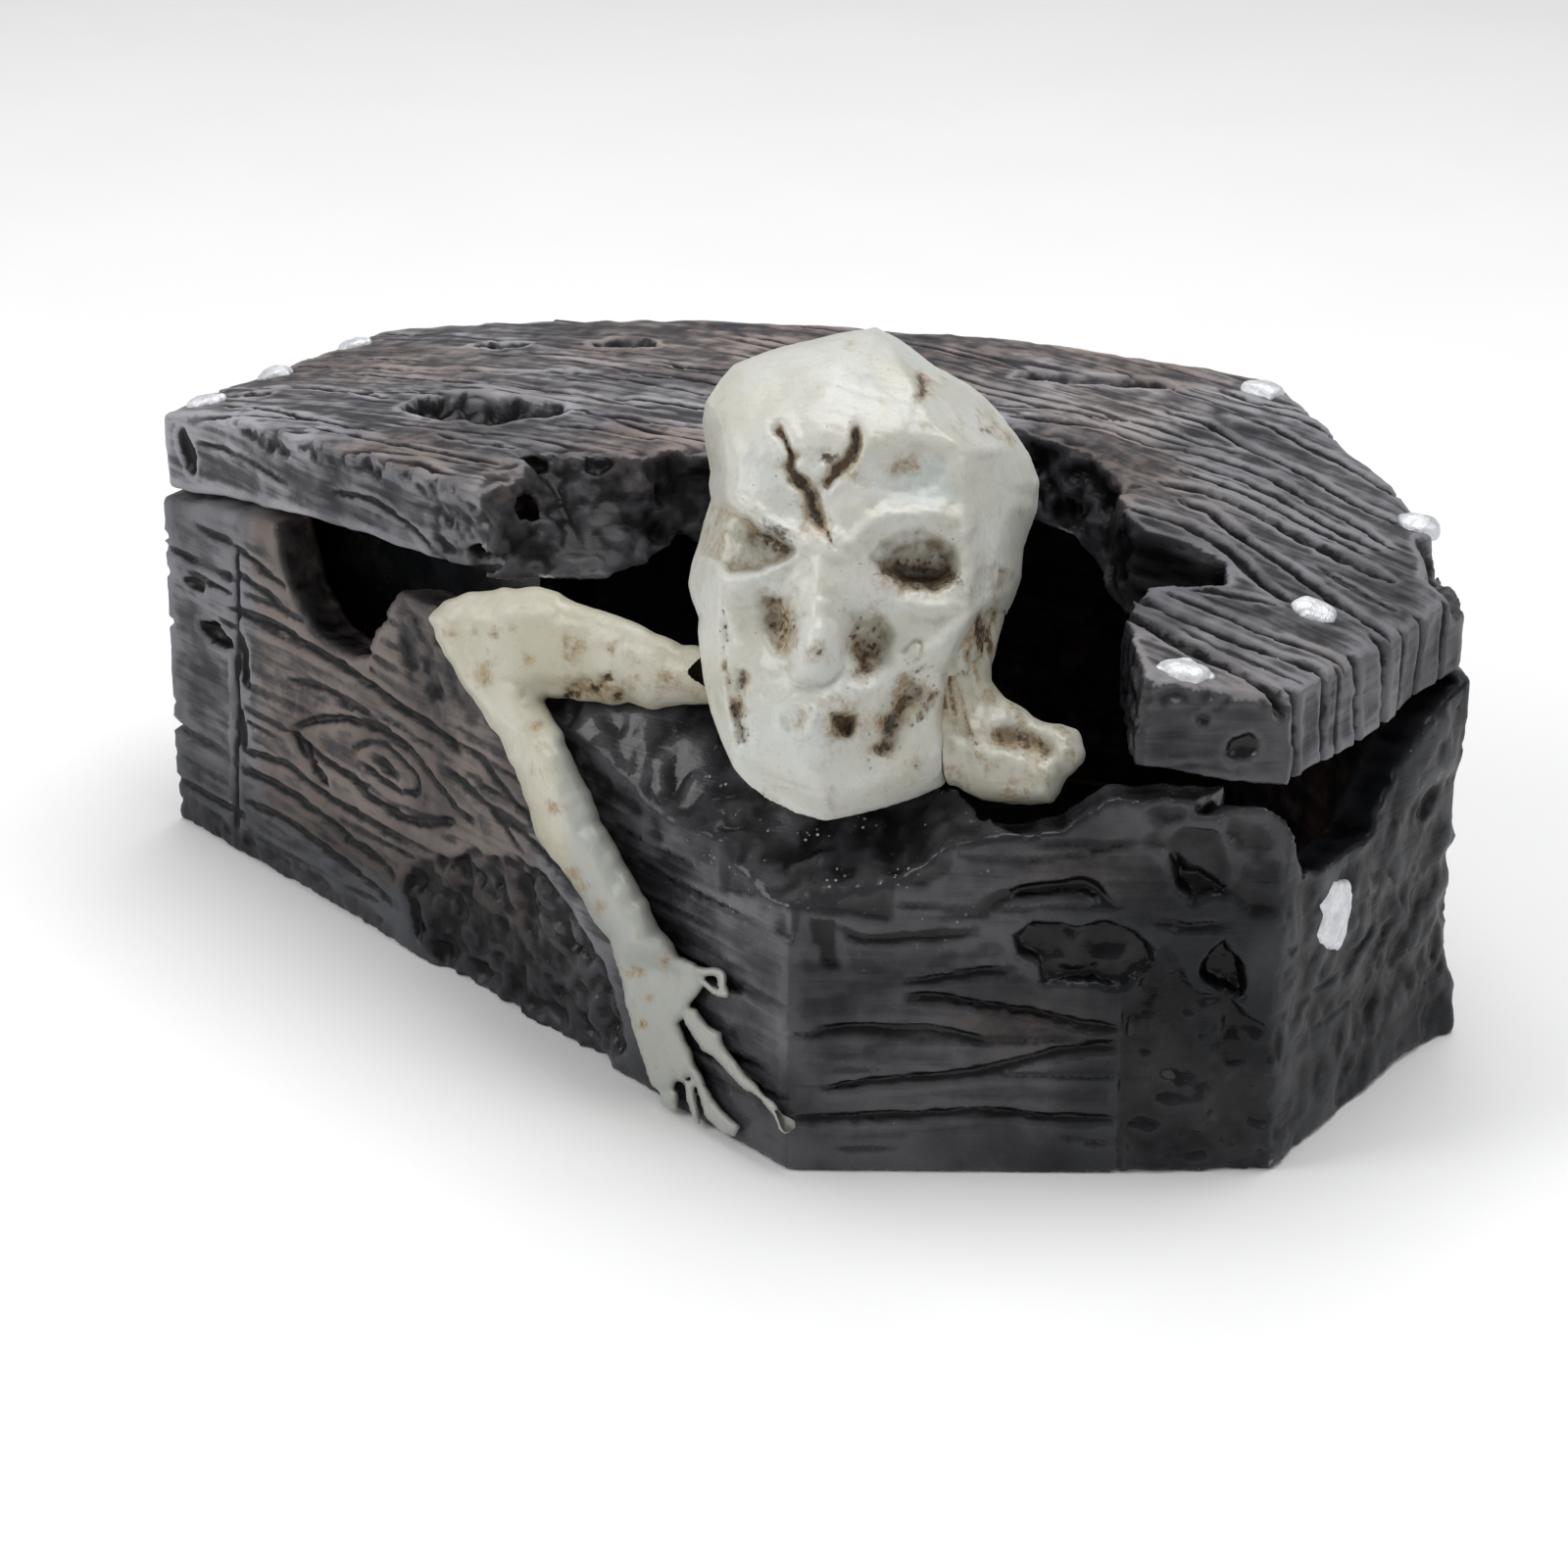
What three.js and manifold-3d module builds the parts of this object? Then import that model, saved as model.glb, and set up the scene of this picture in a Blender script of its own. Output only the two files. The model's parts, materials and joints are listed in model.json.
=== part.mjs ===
// Air-operated aquarium ornament: a weathered wooden coffin in cast resin, with a skeleton leaning out of its broken side.
// Air collects in a bell under the lid and lifts it on two hinges along the hidden long side.
// Millimetres. +X runs along the coffin towards its head end, -Y is the broken side, +Z is up.
// The origin is on the flat underside, at mid length.
import * as THREE from "three";
import { mergeVertices } from "three/addons/utils/BufferGeometryUtils.js";
import Module from "manifold-3d";

const wasm = await Module();
wasm.setup();

// ---- driving dimensions ----
const HALF_LENGTH = 62.5;
const SHOULDER_X = 28.8;
const FOOT_HALF = 16.7;
const HEAD_HALF = 16.8;
const FRONT_SHOULDER_Y = -40.0;
const BACK_SHOULDER_Y = 44.0;
const FOOT_SPREAD = 1.01; // the foot of the walls stands out by 1%
const WALL = 5.0;
const FLOOR = 5.0;
const RIM_END_Z = 35.1; // wall top at both ends
const RIM_ARCH = 5.5; // rise of the wall top at mid length
const LID_TOP_END_Z = 43.8;
const LID_TOP_ARCH = 6.14;
const LID_THICK = 8.3;
const LID_POCKET_DEPTH = 4.3;
const GAP = 0.3; // between neighbouring pieces
const HINGE_S = [25.6, 73.6]; // places of the two hinges along the back wall, from its foot corner
const HINGE_OFF = 3.4; // hinge axis, outside the back wall
const HINGE_Z = 40.5;
const PIN_R = 0.8;
const KNUCKLE_R = 2.4;
const KNUCKLE_BORE_R = 0.95;
const AIRLINE_S = 57.0; // place of the airline inlet along the back wall
const AIRLINE_Z = 11.8;
const NIPPLE_BORE_R = 1.2;
const NIPPLE_R = 2.0; // over the barbs, for 4 mm bore airline
const HOSE_R = 3.1;
const HOSE_BORE_R = 2.35;
const STONE_R = 5.0;
const BELL_WALL = 1.4;
const BELL_MOUTH_Z = 18.5;
const SCREW_X = [-53.2, -12.6];

// ---- helpers ----
function solid(geometry) {
  const g = geometry.index ? geometry.toNonIndexed() : geometry.clone();
  g.deleteAttribute("normal");
  g.deleteAttribute("uv");
  const m = mergeVertices(g, 1e-4);
  const s = new wasm.Manifold(
    new wasm.Mesh({
      numProp: 3,
      vertProperties: new Float32Array(m.attributes.position.array),
      triVerts: new Uint32Array(m.index.array),
    }),
  );
  return s;
}
function geometryOf(manifold) {
  const m = manifold.getMesh();
  const g = new THREE.BufferGeometry();
  const p = new Float32Array(m.numVert * 3);
  for (let i = 0; i < m.numVert; i++)
    for (let k = 0; k < 3; k++)
      p[3 * i + k] = m.vertProperties[m.numProp * i + k];
  g.setAttribute("position", new THREE.BufferAttribute(p, 3));
  g.setIndex(new THREE.BufferAttribute(new Uint32Array(m.triVerts), 1));
  g.computeVertexNormals();
  return g;
}
const union = (list) => list.reduce((a, b) => a.add(b));
const v2 = (p) => new THREE.Vector2(p[0], p[1]);
function extruded(outline, depth) {
  let pts = outline.map(v2);
  if (THREE.ShapeUtils.isClockWise(pts)) pts = pts.reverse();
  return new THREE.ExtrudeGeometry(new THREE.Shape(pts), {
    depth,
    bevelEnabled: false,
  });
}
// upright prism over a plan outline
const prism = (outline, z0, z1) =>
  solid(extruded(outline, z1 - z0).translate(0, 0, z0));
// upright prism whose plan goes from one outline to another of as many points
function taper(low, high, z0, z1) {
  const g = extruded(low, z1 - z0).translate(0, 0, z0);
  const p = g.getAttribute("position");
  for (let i = 0; i < p.count; i++) {
    if (p.getZ(i) < z1 - 1e-3) continue;
    let best = 0,
      d = 1e9;
    low.forEach((q, k) => {
      const e = Math.hypot(q[0] - p.getX(i), q[1] - p.getY(i));
      if (e < d) {
        d = e;
        best = k;
      }
    });
    p.setXY(i, high[best][0], high[best][1]);
  }
  return solid(g);
}
// plan outline moved inwards by d
function inset(outline, d) {
  const n = outline.length,
    out = [];
  for (let i = 0; i < n; i++) {
    const a = v2(outline[(i + n - 1) % n]),
      b = v2(outline[i]),
      c = v2(outline[(i + 1) % n]);
    const t1 = b.clone().sub(a).normalize(),
      t2 = c.clone().sub(b).normalize();
    const n1 = new THREE.Vector2(-t1.y, t1.x),
      n2 = new THREE.Vector2(-t2.y, t2.x);
    const m = n1.clone().add(n2).normalize();
    const k = d / m.dot(n1);
    out.push([b.x + m.x * k, b.y + m.y * k]);
  }
  return out;
}
// a wall of the plan: s runs along it from a to b, off is outwards, z is up
function wall(a, b) {
  const p = v2(a),
    q = v2(b),
    t = q.clone().sub(p),
    len = t.length();
  t.normalize();
  const n = new THREE.Vector2(t.y, -t.x);
  const at = (s, off, z) =>
    new THREE.Vector3(
      p.x + t.x * s + n.x * off,
      p.y + t.y * s + n.y * off,
      z,
    );
  const matrix = new THREE.Matrix4()
    .makeBasis(
      new THREE.Vector3(t.x, t.y, 0),
      new THREE.Vector3(0, 0, 1),
      new THREE.Vector3(n.x, n.y, 0),
    )
    .setPosition(p.x, p.y, 0);
  // a prism through the wall over an (s, z) outline
  const cut = (outline, off0, off1) =>
    solid(
      extruded(outline, off1 - off0)
        .translate(0, 0, off0)
        .applyMatrix4(matrix),
    );
  // a block standing on the wall
  const block = (s0, s1, off0, off1, z0, z1) =>
    cut(
      [
        [s0, z0],
        [s1, z0],
        [s1, z1],
        [s0, z1],
      ],
      off0,
      off1,
    );
  return { at, t, n, len, cut, block, matrix };
}
const arch = (x, z, rise) => z + rise * (1 - (x / HALF_LENGTH) ** 2);
// everything between two arched surfaces, over the whole width
function band(zLow, riseLow, zHigh, riseHigh) {
  const pts = [],
    N = 20,
    X = 70;
  for (let i = 0; i <= N; i++) {
    const x = -X + (2 * X * i) / N;
    pts.push([x, riseLow === null ? zLow : arch(x, zLow, riseLow)]);
    if (riseLow === null && i === 0) {
      pts.push([X, zLow]);
      break;
    }
  }
  for (let i = N; i >= 0; i--) {
    const x = -X + (2 * X * i) / N;
    pts.push([x, arch(x, zHigh, riseHigh)]);
  }
  const g = extruded(pts, 200);
  g.applyMatrix4(
    new THREE.Matrix4().makeBasis(
      new THREE.Vector3(1, 0, 0),
      new THREE.Vector3(0, 0, 1),
      new THREE.Vector3(0, -1, 0),
    ),
  );
  return solid(g.translate(0, 100, 0));
}
// round bar from one point to another, with a radius at each end
function bar(p, q, rp, rq, sides = 12) {
  const a = new THREE.Vector3(...p),
    b = new THREE.Vector3(...q);
  const d = b.clone().sub(a);
  const g = new THREE.CylinderGeometry(rq, rp, d.length(), sides);
  g.applyQuaternion(
    new THREE.Quaternion().setFromUnitVectors(
      new THREE.Vector3(0, 1, 0),
      d.clone().normalize(),
    ),
  );
  const m = a.clone().add(b).multiplyScalar(0.5);
  return solid(g.translate(m.x, m.y, m.z));
}
// a bone: one closed tube along a line of [x, y, z, r], rounded at both ends
function limb(points, sides = 12) {
  const first = points[0],
    last = points[points.length - 1];
  const endOf = (a, b) => {
    // a smaller ring beyond the end a, away from b
    const d = new THREE.Vector3(a[0] - b[0], a[1] - b[1], a[2] - b[2])
      .normalize()
      .multiplyScalar(a[3] * 0.62);
    return [a[0] + d.x, a[1] + d.y, a[2] + d.z, a[3] * 0.6];
  };
  const line = [
    endOf(first, points[1]),
    ...points,
    endOf(last, points[points.length - 2]),
  ];
  const H = line.length - 1;
  const at = line.map((q) => new THREE.Vector3(q[0], q[1], q[2]));
  const tangent = at.map((q, i) =>
    at[Math.min(i + 1, H)].clone().sub(at[Math.max(i - 1, 0)]).normalize(),
  );
  const side = [];
  let n = new THREE.Vector3(0, 0, 1);
  for (let i = 0; i <= H; i++) {
    n = n.clone().addScaledVector(tangent[i], -n.dot(tangent[i])).normalize();
    side.push(n);
  }
  const g = new THREE.CylinderGeometry(1, 1, H, sides, H);
  const p = g.getAttribute("position");
  for (let k = 0; k < p.count; k++) {
    const i = Math.round(p.getY(k) + H / 2);
    const bi = side[i].clone().cross(tangent[i]);
    const v = at[i]
      .clone()
      .addScaledVector(side[i], p.getX(k) * line[i][3])
      .addScaledVector(bi, p.getZ(k) * line[i][3]);
    p.setXYZ(k, v.x, v.y, v.z);
  }
  return solid(g);
}
// a turned piece about a line: profile of [radius, distance along]
function turned(profile, origin, direction, sides = 20) {
  const g = new THREE.LatheGeometry(
    profile.map(v2).reverse(),
    sides,
  );
  g.applyQuaternion(
    new THREE.Quaternion().setFromUnitVectors(
      new THREE.Vector3(0, 1, 0),
      direction.clone().normalize(),
    ),
  );
  let s = solid(g.translate(origin.x, origin.y, origin.z));
  if (s.volume() < 0) {
    const h = new THREE.LatheGeometry(profile.map(v2), sides);
    h.applyQuaternion(
      new THREE.Quaternion().setFromUnitVectors(
        new THREE.Vector3(0, 1, 0),
        direction.clone().normalize(),
      ),
    );
    s = solid(h.translate(origin.x, origin.y, origin.z));
  }
  return s;
}

// ---- plan ----
const E = [-HALF_LENGTH, -FOOT_HALF],
  A = [SHOULDER_X, FRONT_SHOULDER_Y],
  B = [HALF_LENGTH, -HEAD_HALF],
  C = [HALF_LENGTH, HEAD_HALF],
  D = [SHOULDER_X, BACK_SHOULDER_Y],
  F = [-HALF_LENGTH, FOOT_HALF];
const PLAN = [E, A, B, C, D, F];
const FRONT = wall(E, A),
  SIDE = wall(A, B),
  HEAD = wall(B, C),
  BACK = wall(D, F);
const backS = (s) => BACK.len - s; // measured from the foot corner

// ---- openings broken through the walls, as (along the wall, height) ----
const FRONT_HOLE = [
  [6.3, 36.6],
  [16.6, 34.4],
  [19.6, 33.2],
  [23.9, 28.4],
  [32.0, 28.1],
  [36.0, 29.6],
  [40.2, 37.0],
  [44.8, 36.7],
  [52.6, 34.0],
  [61.2, 31.6],
  [70.2, 30.3],
  [77.3, 27.4],
  [85.8, 28.1],
  [90.7, 24.7],
  [100, 24.4],
  [100, 60],
  [6.3, 60],
];
const SIDE_HOLE = [
  [-6, 24.4],
  [-2.9, 24.4],
  [-0.4, 27.2],
  [10.1, 27.7],
  [12.7, 30.6],
  [16.7, 31.2],
  [22.4, 31.9],
  [25.7, 34.9],
  [30.0, 34.9],
  [39.6, 35.0],
  [47, 34.6],
  [47, 60],
  [-6, 60],
];
const HEAD_HOLE = [
  [-6, 34.6],
  [-0.7, 34.6],
  [3.4, 27.2],
  [7.2, 25.6],
  [16.3, 25.8],
  [22.2, 30.6],
  [24.6, 33.5],
  [31.8, 34.7],
  [33, 60],
  [-6, 60],
];

// ---- coffin base ----
const body = taper(
  PLAN.map(([x, y]) => [x * FOOT_SPREAD, y * FOOT_SPREAD]),
  PLAN,
  0,
  45,
).intersect(band(-1, null, RIM_END_Z, RIM_ARCH));
const airlineAt = BACK.at(backS(AIRLINE_S), 0, AIRLINE_Z);
const outward = new THREE.Vector3(BACK.n.x, BACK.n.y, 0);
const boreFor = (r, from, to) =>
  bar(
    BACK.at(backS(AIRLINE_S), from, AIRLINE_Z).toArray(),
    BACK.at(backS(AIRLINE_S), to, AIRLINE_Z).toArray(),
    r,
    r,
    20,
  );
const coffinBase = body
  .subtract(prism(inset(PLAN, WALL), FLOOR, 60))
  .subtract(FRONT.cut(FRONT_HOLE, -WALL - 1.5, 2))
  .subtract(SIDE.cut(SIDE_HOLE, -WALL - 1.5, 2))
  .subtract(HEAD.cut(HEAD_HOLE, -WALL - 1.5, 2))
  .subtract(boreFor(3.8, -WALL - 2, 2));

// ---- lid ----
// the break in the lid, seen from above: at the top face and at the underside
const BREAK_TOP = [
  [-11.4, -36],
  [-11.3, -29.6],
  [-12.3, -24.8],
  [-14.6, -20.0],
  [-14.7, -17.7],
  [-11.9, -15.8],
  [-8.2, -15.6],
  [-5.9, -14.6],
  [-5.6, -12.3],
  [-5.2, -10.3],
  [-1.9, -9.7],
  [3, -3],
  [9, 6],
  [14, 12],
  [19, 14.6],
  [24.9, 13.5],
  [30.8, 9.6],
  [34.5, 4.0],
  [37.0, 1.6],
  [46.5, 1.1],
  [48.7, -2.9],
  [44.0, -9.0],
  [45.3, -14.5],
  [52.3, -24.0],
  [54, -30],
  [40, -60],
  [-11.4, -60],
];
const BREAK_LOW = [
  [-10.9, -36],
  [-10.8, -29.4],
  [-8.0, -28.4],
  [-2.0, -28.0],
  [4.0, -27.6],
  [5.5, -26.0],
  [2.1, -22.6],
  [0.2, -18.5],
  [-0.6, -16.0],
  [-0.9, -12.6],
  [0.0, -9.4],
  [4.5, -3.4],
  [10.2, 5.0],
  [14.8, 10.6],
  [19.2, 12.6],
  [24.2, 11.8],
  [29.6, 8.2],
  [33.2, 3.0],
  [36.4, 0.9],
  [45.6, 0.6],
  [47.6, -2.9],
  [43.6, -8.6],
  [45.0, -14.6],
  [52.0, -24.2],
  [53.8, -30],
  [40, -60],
  [-10.9, -60],
];
const LID_LOW_END_Z = LID_TOP_END_Z - LID_THICK;
const hexLid = prism(PLAN, 20, 60);
const POCKET = [
  [-57.4, -12.4],
  [-16.0, -20.0],
  [-16.0, -4.4],
  [-8.4, -4.4],
  [-8.4, 8.4],
  [-15.4, 8.4],
  [-15.4, 24.0],
  [-57.4, 12.6],
];
const pocket = prism(POCKET, 20, 60).intersect(
  band(20, null, LID_LOW_END_Z + LID_POCKET_DEPTH, LID_TOP_ARCH),
);
const screwTop = (x) =>
  arch(x, LID_LOW_END_Z + LID_POCKET_DEPTH, LID_TOP_ARCH);
const screwY = (x) => (x < -30 ? 0 : 2.0);
// splintered corner at the head end of the back shoulder
const CHIP = [
  [56.5, 27],
  [55.2, 20.5],
  [58.2, 16.2],
  [60.0, 12.6],
  [66, 11.5],
  [66, 27],
];
const lid = hexLid
  .intersect(band(LID_LOW_END_Z, LID_TOP_ARCH, LID_TOP_END_Z, LID_TOP_ARCH))
  .subtract(taper(BREAK_LOW, BREAK_TOP, 38.0, 50.2))
  .subtract(taper(BREAK_LOW, BREAK_LOW, 20, 38.2))
  .subtract(taper(BREAK_TOP, BREAK_TOP, 50.1, 70))
  .subtract(prism(CHIP, 40.2, 60))
  .subtract(pocket)
  .subtract(
    union(
      SCREW_X.map((x) =>
        bar(
          [x, screwY(x), screwTop(x) - 4],
          [x, screwY(x), screwTop(x) + 3.4],
          1.25,
          1.25,
          12,
        ),
      ),
    ),
  );

// ---- skull: rings up the face, each with its left and right side and its front and back ----
// The skull leans back and is turned towards the broken corner.
const SKULL_TURN = THREE.MathUtils.degToRad(-34.4);
const SKULL_LEAN = THREE.MathUtils.degToRad(24.1);
const SKULL_AT = new THREE.Vector3(23.6, -21.9, 48.4);
const across = new THREE.Vector3(
  Math.cos(SKULL_TURN),
  -Math.sin(SKULL_TURN),
  0,
);
const outOfFace = new THREE.Vector3(
  -Math.sin(SKULL_TURN) * Math.cos(SKULL_LEAN),
  -Math.cos(SKULL_TURN) * Math.cos(SKULL_LEAN),
  Math.sin(SKULL_LEAN),
);
const upFace = outOfFace.clone().cross(across);
const skullFrame = new THREE.Matrix4()
  .makeBasis(across, upFace, outOfFace)
  .setPosition(SKULL_AT);
// [up, left, right, back, front]
const SKULL_RINGS = [
  [-20.9, -5.0, -1.0, 6.0, 9.5],
  [-20.0, -7.6, 1.6, 4.5, 11.0],
  [-18.0, -9.8, 6.2, 3.0, 12.0],
  [-15.5, -11.6, 8.6, 1.0, 12.6],
  [-11.5, -12.9, 10.0, -3.5, 12.8],
  [-7.0, -13.7, 10.9, -8.0, 12.6],
  [-3.0, -14.2, 12.2, -11.5, 12.4],
  [1.5, -14.3, 13.6, -14.0, 12.4],
  [5.0, -13.4, 14.7, -15.4, 12.4],
  [8.5, -12.9, 14.5, -15.6, 12.2],
  [12.5, -13.1, 12.2, -15.0, 11.6],
  [16.0, -12.0, 8.8, -13.2, 9.6],
  [18.5, -8.6, 4.8, -11.0, 6.0],
  [20.2, -3.6, 2.2, -7.4, 1.6],
];
function skullBlob(grow) {
  const W = 18,
    H = SKULL_RINGS.length + 1;
  const g = new THREE.SphereGeometry(1, W, H);
  const p = g.getAttribute("position");
  for (let j = 0; j <= H; j++) {
    for (let i = 0; i <= W; i++) {
      const k = j * (W + 1) + i;
      if (j === 0 || j === H) {
        const r = j === 0 ? SKULL_RINGS[SKULL_RINGS.length - 1] : SKULL_RINGS[0];
        p.setXYZ(
          k,
          (r[1] + r[2]) / 2,
          r[0] + (j === 0 ? 0.7 + grow : -0.6 - grow),
          (r[3] + r[4]) / 2,
        );
        continue;
      }
      const r = SKULL_RINGS[SKULL_RINGS.length - j];
      const a = (2 * Math.PI * (i % W)) / W;
      const c = Math.cos(a),
        s = Math.sin(a);
      const sq = (v) => Math.sign(v) * Math.abs(v) ** 0.9;
      p.setXYZ(
        k,
        (r[1] + r[2]) / 2 - sq(c) * ((r[2] - r[1]) / 2 + grow),
        r[0],
        (r[3] + r[4]) / 2 + sq(s) * ((r[4] - r[3]) / 2 + grow),
      );
    }
  }
  return solid(g.applyMatrix4(skullFrame));
}
const onFace = (x, y, z) =>
  new THREE.Vector3(x, y, z).applyMatrix4(skullFrame).toArray();
function hollow(x, y, z, rx, ry, rz) {
  const g = new THREE.SphereGeometry(1, 14, 10).scale(rx, ry, rz);
  return solid(g.translate(x, y, z).applyMatrix4(skullFrame));
}
const skullBig = skullBlob(0.4);
const skull = skullBlob(0)
  .subtract(hollow(-9.8, 3.8, 12.2, 4.2, 2.7, 4.6))
  .subtract(hollow(4.6, 1.2, 12.4, 4.3, 3.1, 4.6))
  .subtract(hollow(-7.2, -3.8, 13.2, 1.5, 2.1, 2.6))
  .subtract(hollow(0.4, -6.8, 13.2, 1.6, 2.3, 2.6))
  .subtract(hollow(-2.0, -12.8, 13.4, 1.2, 1.0, 1.8));

// ---- the walls with the gap, to trim what leans on them ----
const frontKeep = FRONT.cut(
  [
    [-4, -2],
    [100, -2],
    ...FRONT_HOLE.slice(0, -2)
      .reverse()
      .map(([s, z]) => [s, z + 0.35]),
    [-4, 37.0],
  ],
  -WALL - 0.35,
  0.35,
);
const sideKeep = SIDE.cut(
  [
    [-4, -2],
    [46, -2],
    ...SIDE_HOLE.slice(0, -2)
      .reverse()
      .map(([s, z]) => [s, z + 0.35]),
  ],
  -WALL - 0.35,
  0.35,
);
const below = prism(
  [
    [-80, -80],
    [80, -80],
    [80, 80],
    [-80, 80],
  ],
  -10,
  0.25,
);

// ---- neck and collarbone ----
const neck0 = limb(
  [
    [23.5, -19.0, 36.0, 4.6],
    [30.5, -21.6, 39.6, 4.8],
    [37.0, -24.6, 38.2, 4.2],
    [41.5, -24.4, 37.2, 3.4],
    [45.2, -22.6, 37.0, 2.9],
  ],
  10,
)
  .add(
    limb(
      [
        [37.0, -25.0, 36.2, 3.6],
        [37.6, -28.4, 34.9, 2.8],
      ],
      9,
    ),
  )
  .subtract(skullBig)
  .subtract(sideKeep)
  .subtract(frontKeep);

// ---- arm and hand ----
const armLimb = (k) =>
  union([
    limb(
      [
        [-13.2, -30.9, 37.1, 2.8 + k],
        [-5.8, -31.9, 37.7, 4.4 + k],
        [4.0, -33.0, 39.0, 3.9 + k],
        [13.2, -32.6, 39.2, 2.8 + k],
        [16.6, -30.6, 38.6, 2.7 + k],
      ],
      10,
    ),
    limb(
      [
        [-8.6, -32.4, 36.4, 3.6 + k],
        [-2.6, -34.3, 29.8, 3.1 + k],
        [3.6, -35.8, 22.8, 2.9 + k],
        [8.6, -37.0, 18.3, 2.7 + k],
        [12.8, -37.8, 13.9, 2.3 + k],
        [15.4, -37.9, 9.6, 2.9 + k],
      ],
      10,
    ),
  ]);
const finger = (points) => limb(points, 6);
const fingers = union([
  finger([
    [15.2, -38.0, 12.5, 1.5],
    [18.6, -38.9, 14.9, 1.2],
    [21.8, -39.9, 15.4, 1.1],
  ]),
  finger([
    [16.6, -38.3, 10.0, 1.5],
    [21.9, -39.5, 8.5, 1.2],
    [29.0, -41.0, 5.2, 1.0],
  ]),
  finger([
    [16.4, -38.3, 8.6, 1.5],
    [19.5, -38.9, 4.6, 1.2],
    [21.8, -39.3, 1.8, 1.0],
  ]),
  finger([
    [15.4, -38.1, 8.2, 1.5],
    [17.7, -38.4, 1.7, 1.0],
  ]),
  finger([
    [14.4, -37.8, 8.6, 1.4],
    [14.1, -37.5, 1.7, 1.0],
  ]),
]);
const neck = neck0.subtract(armLimb(0.4));
const arm = armLimb(0)
  .add(fingers)
  .subtract(skullBig)
  .subtract(frontKeep)
  .subtract(FRONT.block(-4, 97, -WALL, 0.35, -5, 22))
  .subtract(sideKeep)
  .subtract(below);
const largest = (m) =>
  m.decompose().sort((a, b) => b.volume() - a.volume())[0];

// ---- hinges on the back wall ----
const hingeAxis = new THREE.Vector3(-BACK.t.x, -BACK.t.y, 0);
const hingePoint = (s) => BACK.at(backS(s), HINGE_OFF, HINGE_Z);
function knuckle(s, from, to, r) {
  // bar along the hinge axis between two places measured from the hinge's middle
  return bar(
    BACK.at(backS(s + from), HINGE_OFF, HINGE_Z).toArray(),
    BACK.at(backS(s + to), HINGE_OFF, HINGE_Z).toArray(),
    r,
    r,
    16,
  );
}
const strap = (s, from, to, off0, off1, z0, z1) =>
  BACK.block(backS(s + to), backS(s + from), off0, off1, z0, z1);
function hingeParts(s) {
  const bore = knuckle(s, -9, 9, KNUCKLE_BORE_R);
  const lidKnuckle = knuckle(s, -2.2, 2.2, KNUCKLE_R)
    .add(strap(s, -2.2, 2.2, GAP, HINGE_OFF, HINGE_Z, HINGE_Z + KNUCKLE_R))
    .add(strap(s, -2.2, 2.2, GAP, 1.7, HINGE_Z, HINGE_Z + 3.2))
    .add(strap(s, -6.4, 6.4, GAP, 1.7, HINGE_Z + 2.9, HINGE_Z + 6.8))
    .subtract(bore);
  const baseLug = knuckle(s, -6.2, -2.5, KNUCKLE_R)
    .add(knuckle(s, 2.5, 6.2, KNUCKLE_R))
    .add(strap(s, -6.2, -2.5, GAP, HINGE_OFF, HINGE_Z - KNUCKLE_R, HINGE_Z))
    .add(strap(s, 2.5, 6.2, GAP, HINGE_OFF, HINGE_Z - KNUCKLE_R, HINGE_Z))
    .add(strap(s, -6.2, -2.5, GAP, 1.7, HINGE_Z - 3.3, HINGE_Z - 2.2))
    .add(strap(s, 2.5, 6.2, GAP, 1.7, HINGE_Z - 3.3, HINGE_Z - 2.2))
    .add(strap(s, -6.2, 6.2, GAP, 1.7, HINGE_Z - 13.0, HINGE_Z - 2.9))
    .subtract(bore);
  const pinFrom = BACK.at(backS(s - 7.6), HINGE_OFF, HINGE_Z);
  const pin = turned(
    [
      [0, 0],
      [1.2, 0],
      [1.5, 0.3],
      [1.5, 1.1],
      [PIN_R, 1.1],
      [PIN_R, 14.9],
      [0.5, 15.3],
      [0, 15.3],
    ],
    pinFrom,
    hingeAxis,
    16,
  );
  const capFrom = BACK.at(backS(s + 6.5), HINGE_OFF, HINGE_Z);
  const cap = turned(
    [
      [1.05, 0],
      [1.7, 0],
      [1.7, 1.2],
      [1.05, 1.2],
      [1.05, 0],
    ],
    capFrom,
    hingeAxis,
    16,
  );
  return { lidKnuckle, baseLug, pin, cap };
}
const footHinge = hingeParts(HINGE_S[0]);
const headHinge = hingeParts(HINGE_S[1]);

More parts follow.
